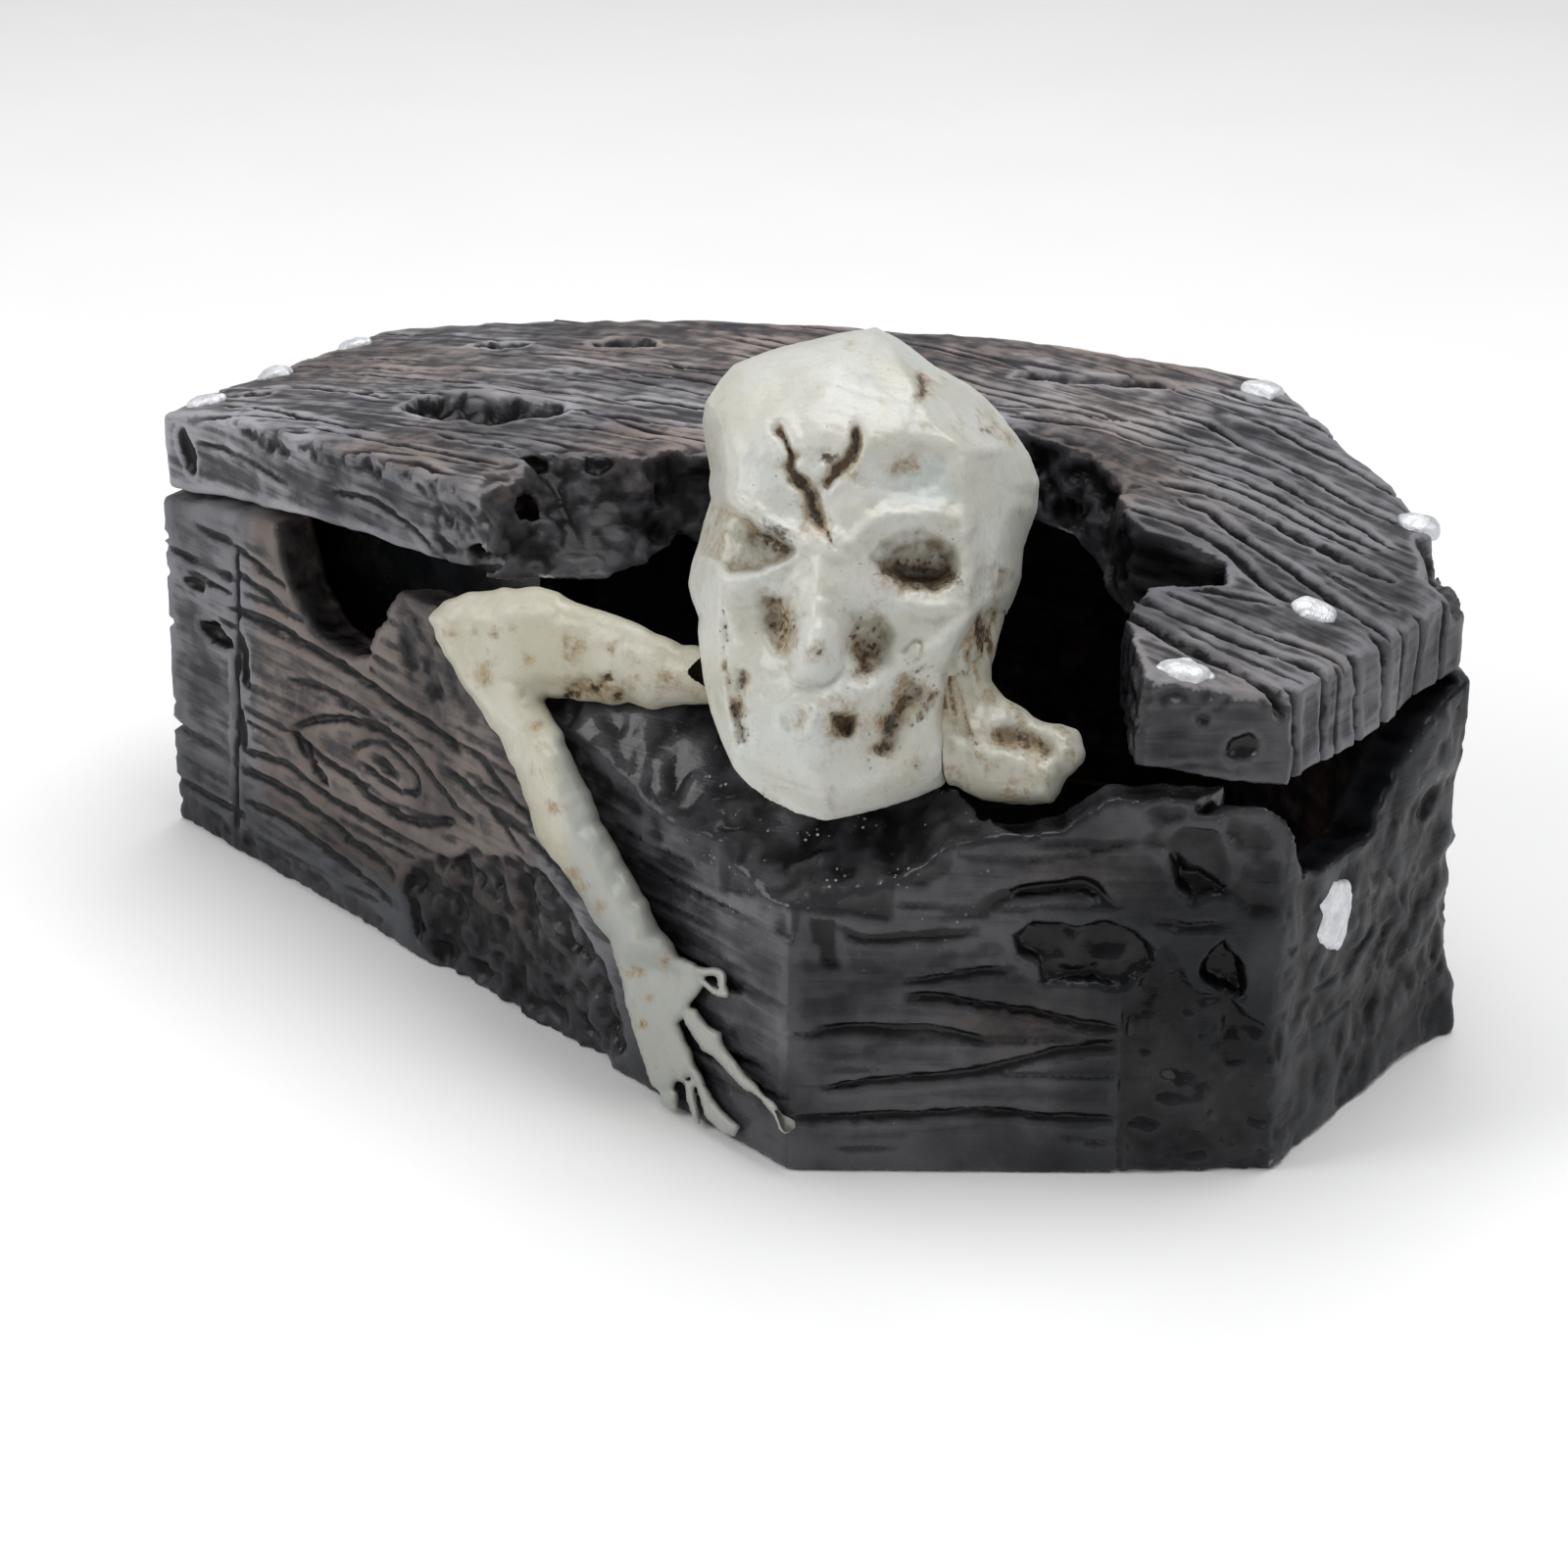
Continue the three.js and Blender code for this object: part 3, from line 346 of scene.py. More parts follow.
        self.rise = np.maximum(self.rise, 0.05 * m * on * np.exp(-(((np.abs(fr - shift) - ww * 1.2) / 0.3) ** 2)))
        self.dark = np.maximum(self.dark, prof * 0.55 * m)
        return W

    def height(self):
        return self.rise - self.carve

    def sample(self, grid, u, v):
        a = np.clip((u - self.u0) / self.res, 0, grid.shape[0] - 1.001)
        b = np.clip((v - self.v0) / self.res, 0, grid.shape[1] - 1.001)
        i, j = a.astype(np.int32), b.astype(np.int32)
        fa, fb = (a - i).astype(F32), (b - j).astype(F32)
        return (grid[i, j] * (1 - fa) * (1 - fb) + grid[i + 1, j] * fa * (1 - fb)
                + grid[i, j + 1] * (1 - fa) * fb + grid[i + 1, j + 1] * fa * fb)


# ------------------------------------------------------------------ solids from distance fields
def grid_axes(lo, hi, h):
    return [np.arange(a, b + h, h, dtype=F32) for a, b in zip(lo, hi)]


def surface(d, org, h):
    """the skin of a distance field (negative inside): points and four-sided faces"""
    s = d < 0
    cnt = np.zeros([n - 1 for n in d.shape], np.uint8)
    corners = [(a, b, c) for a in (0, 1) for b in (0, 1) for c in (0, 1)]
    nx, ny, nz = cnt.shape
    for a, b, c in corners:
        cnt += s[a:a + nx, b:b + ny, c:c + nz]
    active = (cnt > 0) & (cnt < 8)
    ids = np.full(cnt.shape, -1, np.int32)
    ai, aj, ak = np.nonzero(active)
    ids[ai, aj, ak] = np.arange(len(ai), dtype=np.int32)
    pos = np.zeros((len(ai), 3), F32)
    num = np.zeros(len(ai), F32)
    vals = {c: d[ai + c[0], aj + c[1], ak + c[2]] for c in corners}
    for c in corners:
        for ax in range(3):
            if c[ax]:
                continue
            e = list(c)
            e[ax] = 1
            da, db = vals[c], vals[tuple(e)]
            m = (da < 0) != (db < 0)
            t = da[m] / (da[m] - db[m])
            for k in range(3):
                pos[m, k] += t if k == ax else c[k]
            num[m] += 1
    verts = np.stack([ai, aj, ak], 1).astype(F32) + pos / num[:, None]
    verts = verts * h + np.array(org, F32)
    faces = []
    for ax in range(3):
        lo = [slice(1, -1)] * 3
        hi = [slice(1, -1)] * 3
        lo[ax], hi[ax] = slice(0, -1), slice(1, None)
        a, b = s[tuple(lo)], s[tuple(hi)]
        for flip, m in ((False, a & ~b), (True, ~a & b)):
            i, j, k = np.nonzero(m)
            base = [i + 1, j + 1, k + 1]
            base[ax] = base[ax] - 1
            u, v = (ax + 1) % 3, (ax + 2) % 3

            def cell(du, dv):
                q = [x.copy() for x in base]
                q[u] = q[u] - du
                q[v] = q[v] - dv
                return ids[q[0], q[1], q[2]]

            quad = np.stack([cell(1, 1), cell(0, 1), cell(0, 0), cell(1, 0)], 1)
            if flip:
                quad = quad[:, ::-1]
            faces.append(quad)
    return verts, np.vstack(faces)


def largest(verts, faces):
    """drops loose crumbs: keeps only the biggest connected skin"""
    n = len(verts)
    label = np.arange(n)
    e = np.vstack([faces[:, [0, 1]], faces[:, [1, 2]], faces[:, [2, 3]], faces[:, [3, 0]]])
    for _ in range(400):
        m = np.minimum(label[e[:, 0]], label[e[:, 1]])
        new = label.copy()
        np.minimum.at(new, e[:, 0], m)
        np.minimum.at(new, e[:, 1], m)
        new = new[new]
        new = new[new]
        if (new == label).all():
            break
        label = new
    u, c = np.unique(label, return_counts=True)
    keep = label == u[c.argmax()]
    idx = np.cumsum(keep) - 1
    f = faces[keep[faces].all(1)]
    return verts[keep], idx[f].astype(np.int32)


def make_object(name, verts, faces, scale=MM):
    me = bpy.data.meshes.new(name)
    me.vertices.add(len(verts))
    me.vertices.foreach_set("co", (np.asarray(verts, float) * scale).astype(F32).ravel())
    k = faces.shape[1]
    me.loops.add(faces.size)
    me.loops.foreach_set("vertex_index", np.ascontiguousarray(faces, np.int32).ravel())
    me.polygons.add(len(faces))
    me.polygons.foreach_set("loop_start", np.arange(0, faces.size, k, dtype=np.int32))
    me.update(calc_edges=True)
    me.validate()
    me.polygons.foreach_set("use_smooth", np.ones(len(me.polygons), bool))
    ob = bpy.data.objects.new(name, me)
    bpy.context.scene.collection.objects.link(ob)
    return ob


def decimated(ob, limit):
    """collapses the flatter places until the piece has at most limit triangles"""
    tris = sum(len(p.vertices) - 2 for p in ob.data.polygons) if len(ob.data.polygons) < 5 else int(len(ob.data.loops) - 2 * len(ob.data.polygons))
    if tris > limit:
        mod = ob.modifiers.new("thin", "DECIMATE")
        mod.ratio = limit / tris
        dg = bpy.context.evaluated_depsgraph_get()
        new = bpy.data.meshes.new_from_object(ob.evaluated_get(dg))
        old = ob.data
        ob.modifiers.clear()
        ob.data = new
        bpy.data.meshes.remove(old)
        new.polygons.foreach_set("use_smooth", np.ones(len(new.polygons), bool))
    return ob


def arrays(ob):
    me = ob.data
    co = np.zeros(len(me.vertices) * 3, F32)
    me.vertices.foreach_get("co", co)
    no = np.zeros(len(me.vertices) * 3, F32)
    me.vertices.foreach_get("normal", no)
    ed = np.zeros(len(me.edges) * 2, np.int32)
    me.edges.foreach_get("vertices", ed)
    return co.reshape(-1, 3) / F32(MM), no.reshape(-1, 3), ed.reshape(-1, 2)


def hollowness(ob, rounds):
    """how far each point lies below its smoothed surroundings, in mm, after each number of rounds: above 0 in a hollow"""
    co, no, ed = arrays(ob)
    n = len(co)
    deg = np.bincount(ed.ravel(), minlength=n).astype(F32)
    deg[deg == 0] = 1
    cur = co.copy()
    out = []
    done = 0
    for r in rounds:
        while done < r:
            acc = np.empty_like(cur)
            for k in range(3):
                acc[:, k] = (np.bincount(ed[:, 0], weights=cur[ed[:, 1], k], minlength=n) + np.bincount(ed[:, 1], weights=cur[ed[:, 0], k], minlength=n))
            cur = 0.25 * cur + 0.75 * acc / deg[:, None]
            done += 1
        out.append(((cur - co) * no).sum(1))
    return out


def put(ob, name, values):
    v = np.asarray(values, F32)
    kind = "FLOAT" if v.ndim == 1 else "FLOAT_VECTOR"
    a = ob.data.attributes.new(name, kind, "POINT")
    a.data.foreach_set("value" if v.ndim == 1 else "vector", np.ascontiguousarray(v).ravel())


# ------------------------------------------------------------------ reliefs of the coffin walls
RES = 0.16
reliefs = {}
for i, w in enumerate(WALLS):
    reliefs[w.name] = Relief(-5, w.len + 5, -2, 43, RES, 11 * i)

r = reliefs["EA"]
U, V = r.U, r.V
mid = step(12.5, 13.8, U) * step(66, 58, U)
r.grain(2.3, 0.36, 0.42, knots=[(38, 18, 12, 4.5, 3.4)], wander=1.6, seed=1, inside=mid, keep=0.55)
r.grain(2.9, 0.5, 0.6, wander=0.5, seed=3, inside=step(12.6, 11.4, U), keep=0.95)
r.grain(4.4, 0.3, 0.25, wander=1.4, seed=5, inside=step(58, 66, U), keep=0.3)
for pts, w_, d_ in [
    ([(11.1, 26.5), (19.1, 27.0), (26.8, 26.5), (32.9, 26.1), (38.7, 25.1), (44.5, 24.7), (48.7, 23.8)], 0.6, 0.75),
    ([(11.7, 33.4), (18.8, 32.1), (21.9, 31.6)], 0.5, 0.5),
    ([(12.3, 30.7), (20.9, 29.4)], 0.55, 0.6),
    ([(21.1, 22.3), (28.1, 23.1), (35.6, 22.7)], 0.45, 0.5),
    ([(20.7, 16.8), (26.3, 19.7), (34.1, 21.7), (40.0, 21.3), (44.2, 19.5), (48.4, 17.6), (50.5, 17.4)], 0.55, 0.7),
    ([(20.7, 16.8), (24.5, 15.7), (29.8, 15.1), (35.1, 14.0), (41.0, 14.1), (47.7, 16.4)], 0.55, 0.7),
    ([(31.6, 18.5), (35.5, 20.4), (38.4, 20.1), (42.0, 18.7), (41.2, 17.0), (36.8, 16.6), (32.3, 17.4)], 0.42, 0.5),
    ([(34.6, 18.6), (39.0, 17.9)], 0.8, 0.6),
    ([(12.0, 9.5), (17.7, 9.9), (24.0, 9.6), (29.4, 8.6), (34.7, 8.0), (37.7, 7.1)], 0.6, 0.7),
    ([(12.1, 11.8), (20.3, 12.8), (25.7, 11.9), (33.4, 11.6), (40.1, 11.4)], 0.5, 0.55),
    ([(12.2, 6.3), (20.0, 6.6), (29, 5.6), (37, 4.3)], 0.55, 0.55),
    ([(51.5, 24.2), (55.6, 22.0), (58.3, 20.6), (62.3, 19.3)], 0.5, 0.55),
    ([(54.1, 19.1), (58.9, 18.5), (65.6, 16.4)], 0.45, 0.5),
    ([(46, 21.5), (52, 20.0), (58, 16.8)], 0.4, 0.4),
    ([(74.6, 22.3), (80.8, 21.8), (86.0, 21.9), (90.6, 21.8)], 0.22, 0.55),
    ([(70.5, 24.8), (77, 24.2), (84, 24.6)], 0.2, 0.2),
    ([(78, 15.5), (84, 14.6), (91, 15.2)], 0.3, 0.25),
    ([(80, 9.5), (86, 8.3), (92, 8.8)], 0.35, 0.3),
    ([(12.9, 33.6), (12.4, 26), (11.5, 16), (10.6, 6), (10.1, -1)], 0.5, 0.65),
]:
    r.cut(pts, w_, d_)
r.pit(8.4, 22.8, 2.9, 1.3, -4, 1.5)
r.pit(5.0, 27.2, 2.2, 0.8, 0, 0.8)
r.pit(22.6, 15.6, 2.4, 0.9, -30, 1.1)
r.pit(25.4, 13.9, 2.2, 0.8, -25, 1.0)
r.pit(13.2, 21.5, 1.0, 3.4, 8, 0.9)
r.pit(12.2, 14.0, 0.9, 2.6, 4, 0.8)
r.rough([(38.4, 5.4), (40.5, 9.6), (45.8, 12.6), (51.1, 15.4), (57.4, 16.8), (62.2, 15.2), (67.4, 12.6), (71.7, 8.2), (73, 3), (68, -2), (47.7, -2), (40.0, 1.7)], 1.0, 0.5, soft=0.9, sink=0.75)
r.rough([(62, 36), (62, 27), (70, 25.6), (80, 24.2), (90, 22.6), (95, 23), (95, 36)], 0.5, 0.7, soft=2.5, sink=0.25, dark=0.5)
r.rough([(38, 40), (38, 29), (44, 26.5), (52, 27), (60, 26), (60, 40)], 0.6, 0.6, soft=2.0, sink=0.3, dark=0.5)
r.rough([(-5, 4.5), (38, 3.0), (38, -3), (-5, -3)], 0.5, 0.55, soft=2.0, sink=0.35, dark=0.5)
r.warm[:] = np.clip(step(12, 20, U) * step(66, 52, U) * step(4, 9, V) * 0.9 + 0.25, 0, 1)

r = reliefs["AB"]
U, V = r.U, r.V
r.grain(3.6, 0.34, 0.32, knots=[(24.5, 20.8, 7, 4, 3.0)], wander=0.7, seed=1, inside=step(28.5, 27.5, U), keep=0.35)
for pts, w_, d_ in [
    ([(4.2, 25.9), (9.3, 25.3), (14.1, 24.9), (16.8, 25.3)], 0.2, 0.5),
    ([(15.6, 25.0), (18.3, 26.2), (21.5, 26.7), (24.6, 26.9), (26.6, 25.4)], 0.85, 1.0),
    ([(3.8, 23.3), (6.2, 22.2), (11.3, 22.4), (15.7, 22.9)], 0.62, 0.85),
    ([(9.5, 18.0), (13.4, 18.5), (16.2, 19.1), (18.6, 19.4)], 0.42, 0.6),
    ([(9.5, 16.6), (13.1, 16.5), (17.1, 15.8), (21.9, 14.9), (25.1, 14.1), (27.9, 13.9)], 0.55, 0.8),
    ([(2.3, 13.5), (6.3, 13.7), (11.5, 13.7), (15.2, 12.9), (17.2, 12.4)], 0.55, 0.75),
    ([(3.2, 11.0), (7.0, 11.2)], 0.3, 0.35),
    ([(3.0, 8.0), (8.4, 8.7), (13.6, 9.2), (18.0, 10.2), (22.0, 11.3), (24.4, 11.8), (28.0, 12.2)], 0.55, 0.8),
    ([(0.4, 5.0), (8.5, 5.3), (16.6, 5.8), (22.6, 5.2), (27.9, 5.2)], 0.5, 0.8),
    ([(22.3, 3.6), (28.0, 2.7)], 0.3, 0.35),
    ([(30.3, 23.9), (33.4, 23.3), (36.6, 23.7)], 0.5, 0.6),
    ([(31.4, 15.9), (34.6, 15.5), (37.4, 15.3)], 0.45, 0.5),
    ([(12.8, 29.9), (18.3, 29.3), (23.7, 29.9), (29.1, 31.3)], 0.3, 0.25),
    ([(28.2, 17.0), (28.3, 10), (28.3, 4), (28.4, -1)], 0.3, 0.7),
]:
    r.cut(pts, w_, d_)
r.hollow([(18.5, 22.5), (20.0, 23.8), (23.2, 23.4), (26.3, 23.9), (30.0, 21.7), (31.3, 19.3), (27.8, 17.5), (24.2, 17.9), (21.0, 17.6), (20.5, 19.8), (18.5, 20.7)], 1.5, soft=0.8)
r.hollow([(30.7, 30.9), (32.6, 32.6), (35.3, 32.4), (36.7, 28.7), (36.4, 26.1), (33.7, 25.2), (32.1, 27.0), (31.6, 29.1)], 1.7, soft=0.7)
r.hollow([(34.7, 21.3), (36.6, 22.6), (38.0, 20.0), (38.0, 16.4), (36.1, 17.3), (34.6, 19.1)], 1.5, soft=0.6)
r.hollow([(-2.6, 25.2), (1.0, 25.0), (0.9, 21.8), (-2.4, 21.6)], 1.4, soft=0.5, lump=0.3)
r.hollow([(1.5, 24.2), (4.2, 23.6), (4.4, 19.8), (2.2, 20.2)], 1.3, soft=0.5, lump=0.3)
r.rough([(28.4, 17), (31, 22), (34, 18), (41, 14), (46, 12), (46, -3), (28.4, -3)], 0.9, 0.42, soft=0.5, sink=0.55, dark=0.6)
r.rough([(28.6, 36), (28.6, 31), (38, 24), (46, 26), (46, 36)], 0.5, 0.6, soft=1.5, sink=0.2, dark=0.35)
r.rough([(-3, 34), (-3, 24.5), (11, 26.4), (14, 29.2), (14, 36)], 0.8, 0.8, soft=1.0, sink=0.45, dark=0.7)
r.warm[:] = np.clip(0.35 + 0.6 * np.exp(-(((U - 20) / 7) ** 2) - ((V - 14) / 2.5) ** 2) + 0.5 * np.exp(-(((U - 25) / 6) ** 2) - ((V - 28.5) / 2.0) ** 2), 0, 1)

r = reliefs["BC"]
U, V = r.U, r.V
r.grain(4.2, 0.35, 0.35, wander=2.0, seed=1, keep=0.35, tilt=0.12)
r.rough([(-5, 44), (38, 44), (38, -3), (-5, -3)], 0.62, 0.36, soft=1.5, sink=0.25, dark=0.3)
r.rough([(14, 14), (24, 18), (38, 20), (38, -3), (10, -3)], 0.9, 0.3, soft=2.0, sink=0.3, dark=0.55)
r.cut([(2.0, 14.7), (7.3, 14.3), (14.3, 15.0), (19.5, 17.1)], 0.45, 0.75)
r.cut([(6.0, 10.9), (16.9, 10.6), (23.1, 12.1)], 0.35, 0.5)
r.cut([(-0.5, 21.1), (4.9, 19.4)], 0.35, 0.45)
r.cut([(15, 24), (20, 20.5), (24, 15.5)], 0.5, 0.5)
r.pit(0.5, 12.0, 0.8, 2.0, 5, 0.8)
r.pit(27, 24.5, 2.2, 1.4, 40, 0.9)
r.warm[:] = 0.3

for name, seed in (("CD", 2), ("DF", 5), ("FE", 8)):
    r = reliefs[name]
    U, V = r.U, r.V
    L = [w for w in WALLS if w.name == name][0].len
    if name == "DF":
        r.grain(3.0, 0.42, 0.5, knots=[(30, 15, 8, 3.5, 3.0), (70, 26, 9, 3.5, 3.0)], wander=1.5, seed=seed, keep=0.6)
        r.cut([(2, 24.5), (20, 25.6), (40, 24.2), (62, 25.2), (84, 24.0), (94, 24.6)], 0.4, 0.8)
        r.cut([(1, 9.0), (24, 8.0), (50, 9.2), (70, 8.2), (94, 9.0)], 0.4, 0.8)
        r.pit(30, 15, 3.0, 1.1, 6, 1.2)
        r.pit(70, 27, 2.6, 0.9, -8, 1.0)
        r.cut([(58.5, 24.6), (58.2, 16), (58.6, 9)], 0.35, 0.7)
        r.rough([(78, 9), (88, 12), (99, 8), (99, -3), (74, -3)], 0.8, 0.45, soft=1.5, sink=0.5)
        r.rough([(6, 22), (15, 23), (20, 16), (14, 10), (5, 12)], 0.7, 0.5, soft=1.2, sink=0.45)
    elif name == "CD":
        r.grain(3.0, 0.42, 0.5, knots=[(22, 22, 7, 3.5, 2.8)], wander=1.2, seed=seed, keep=0.55)
        r.cut([(-2, 24.5), (14, 25), (30, 23.9), (46, 24.6)], 0.42, 0.8)
        r.cut([(-2, 10), (14, 9.2), (30, 10.3), (46, 9.6)], 0.42, 0.8)
        r.pit(22, 22.0, 2.4, 1.0, 10, 1.1)
        r.rough([(-4, 30), (6, 26), (8, 14), (10, -3), (-4, -3)], 0.9, 0.4, soft=2, sink=0.5)
        r.rough([(30, -3), (32, 7), (40, 8), (46, 4), (46, -3)], 0.7, 0.5, soft=1.5, sink=0.4)
    else:
        r.grain(2.9, 0.5, 0.65, wander=0.5, seed=seed, keep=0.95)
        r.cut([(-2, 21.7), (16, 22.6), (36, 21.6)], 0.5, 0.9)
        r.cut([(-2, 10.7), (16, 9.8), (36, 10.8)], 0.5, 0.9)
        r.cut([(17, 21.8), (16.6, 16), (17.2, 10.4)], 0.35, 0.7)
        r.pit(9, 16.0, 1.7, 0.9, 0, 1.1)
        r.pit(26, 27.5, 2.0, 0.9, 8, 1.1)
        r.rough([(20, 8), (26, 9), (33, 5), (33, -3), (16, -3)], 0.8, 0.5, soft=1.2, sink=0.5)
    r.warm[:] = 0.5


def fine_relief(r, coarse=0.16):
    """the small unevenness of a cast and painted surface"""
    U, V = r.U, r.V
    streak = 0.09 * fbm(U * 0.28, V * 1.7, 0 * U, 3, 0.55, r.seed + 60)
    lumps = coarse * fbm(U * 0.22, V * 0.3, 0 * U, 3, 0.5, r.seed + 66)
    return (streak + lumps).astype(F32)


def lug_keep(r):
    """1 where the hinge straps and the inlet lie on the back wall, which is flat there"""
    U, V = r.U, r.V
    L = [w for w in WALLS if w.name == "DF"][0].len
    m = np.zeros(U.shape, F32)
    for s in (25.6, 73.6):
        m = np.maximum(m, step(8.5, 6.5, np.abs(U - (L - s))) * step(25.2, 26.8, V))
    m = np.maximum(m, step(5.8, 4.8, np.hypot(U - (L - 57.0), V - 11.8)))
    return m


for w in WALLS:
    r = reliefs[w.name]
    h = r.height() + fine_relief(r)
    if w.name == "DF":
        k = lug_keep(r)
        h = h * (1 - k) - 0.12 * k
    # worn long edges of the wall foot and a flared skirt by the head-end back corner
    if w.name == "BC":
        h = h + 1.5 * step(24, 33, r.U) * np.exp(-((r.V / 6.5) ** 2))
        h = h + 0.9 * step(21, 24, r.U) * step(25, 29, r.V) * step(36, 33, r.U)
    if w.name == "CD":
        h = h + 1.2 * step(9, 0, r.U) * np.exp(-((r.V / 6.5) ** 2))
    r.h = np.clip(h, -3.4, 1.8).astype(F32)


def wall_field(x, y, z, k=0.5, lid=False):
    """distance to the outside of the walls, with their relief, and for each point the wall it belongs to"""
    out, best, which = None, None, None
    for i, w in enumerate(WALLS):
        r = reliefs[w.name] if not lid else lid_sides[w.name]
        s = w.s(x, y)
        off = w.off(x, y)
        if not lid:
            off = off - F32(0.01 * w.reach) * (1 - z / 45)
        d = off - r.sample(r.h, s, z)
        out = d if out is None else smax(out, d, k)
        if best is None:
            best, which = off.copy(), np.zeros(off.shape, np.int8)
        else:
            m = off > best
            best = np.where(m, off, best)
            which = np.where(m, np.int8(i), which)
    return out, best, which


# outline maps of the holes through the walls
hole_maps = {}
for name, poly in (("EA", FRONT_HOLE), ("AB", SIDE_HOLE), ("BC", HEAD_HOLE)):
    r = reliefs[name]
    jag = 0.45 * fbm(r.U * 0.5, r.V * 0.5, 0 * r.U, 3, 0.55, 90 + len(name) + ord(name[0]))
    hole_maps[name] = (poly_distance(poly, r.U, r.V) + jag).astype(F32)


def base_field(x, y, z):
    out, flat, which = wall_field(x, y, z)
    n3 = fbm(x * F32(0.45), y * F32(0.45), z * F32(0.45), 3, 0.55, 31)
    d = smax(out, -(z + 0.0), 0.35)
    d = smax(d, z - (rim_z(x) - 0.15 + 0.3 * fbm(x * F32(0.4), y * F32(0.4), 0 * z, 2, 0.5, 77)), 0.5)
    cav = flat + WALL + 0.25 * n3
    d = smax(d, -smax(cav, -(z - FLOOR) - 0.15 * n3, 0.8), 0.5)
    for w in WALLS[:3]:
        r = reliefs[w.name]
        s = w.s(x, y)
        off = w.off(x, y)
        hd = r.sample(hole_maps[w.name], s, z)
        # breaks slope a little inwards and are rough through the thickness
        hd = hd + 0.22 * n3 - 0.16 * np.clip(-off, 0, 6)
        prism = np.maximum(hd, np.maximum(-off - WALL - 1.5, off - 3.0))
        inside = (s > -6) & (s < w.len + 6)
        prism = np.where(inside, prism, 9.0)
        d = smax(d, -prism, 0.35)
    back = WALLS[4]
    bore = np.hypot(back.s(x, y) - (back.len - 57.0), z - 11.8) - 3.8
    d = np.where(back.off(x, y) > -8, np.maximum(d, -bore), d)
    return d


def sparse_field(lo, hi, h, rough_field, field, band):
    """a distance field worked out in full only near the skin"""
    ax = grid_axes(lo, hi, h)
    out = np.empty([len(a) for a in ax], F32)
    X, Y = np.meshgrid(ax[0], ax[1], indexing="ij")
    for k0 in range(0, len(ax[2]), 16):
        zs = ax[2][k0:k0 + 16]
        x = np.broadcast_to(X[:, :, None], X.shape + (len(zs),))
        y = np.broadcast_to(Y[:, :, None], X.shape + (len(zs),))
        z = np.broadcast_to(zs[None, None, :], X.shape + (len(zs),))
        d = rough_field(x, y, z).astype(F32)
        m = np.abs(d) < band
        if m.any():
            d[m] = field(x[m], y[m], z[m])
        out[:, :, k0:k0 + len(zs)] = d
    return out, [a[0] for a in ax]


def plain_walls(x, y, z):
    d = None
    for w in WALLS:
        o = w.off(x, y)
        d = o if d is None else np.maximum(d, o)
    return d


def base_rough(x, y, z):
    p = plain_walls(x, y, z)
    d = np.maximum(p - 0.6, np.maximum(-z, z - rim_z(x)))
    return np.maximum(d, -np.maximum(p + WALL, FLOOR - z))


def holes_near(x, y, z):
    """rough distance to the edges of the broken openings, so that they are inside the worked band"""
    best = np.full(x.shape, 9.0, F32)
    for w in WALLS[:3]:
        r = reliefs[w.name]
        hd = r.sample(hole_maps[w.name], w.s(x, y), z)
        off = w.off(x, y)
        best = np.minimum(best, np.maximum(np.maximum(hd, -off - WALL - 1.5), off - 3))
    return best


def base_rough2(x, y, z):
    return np.maximum(base_rough(x, y, z), -holes_near(x, y, z))



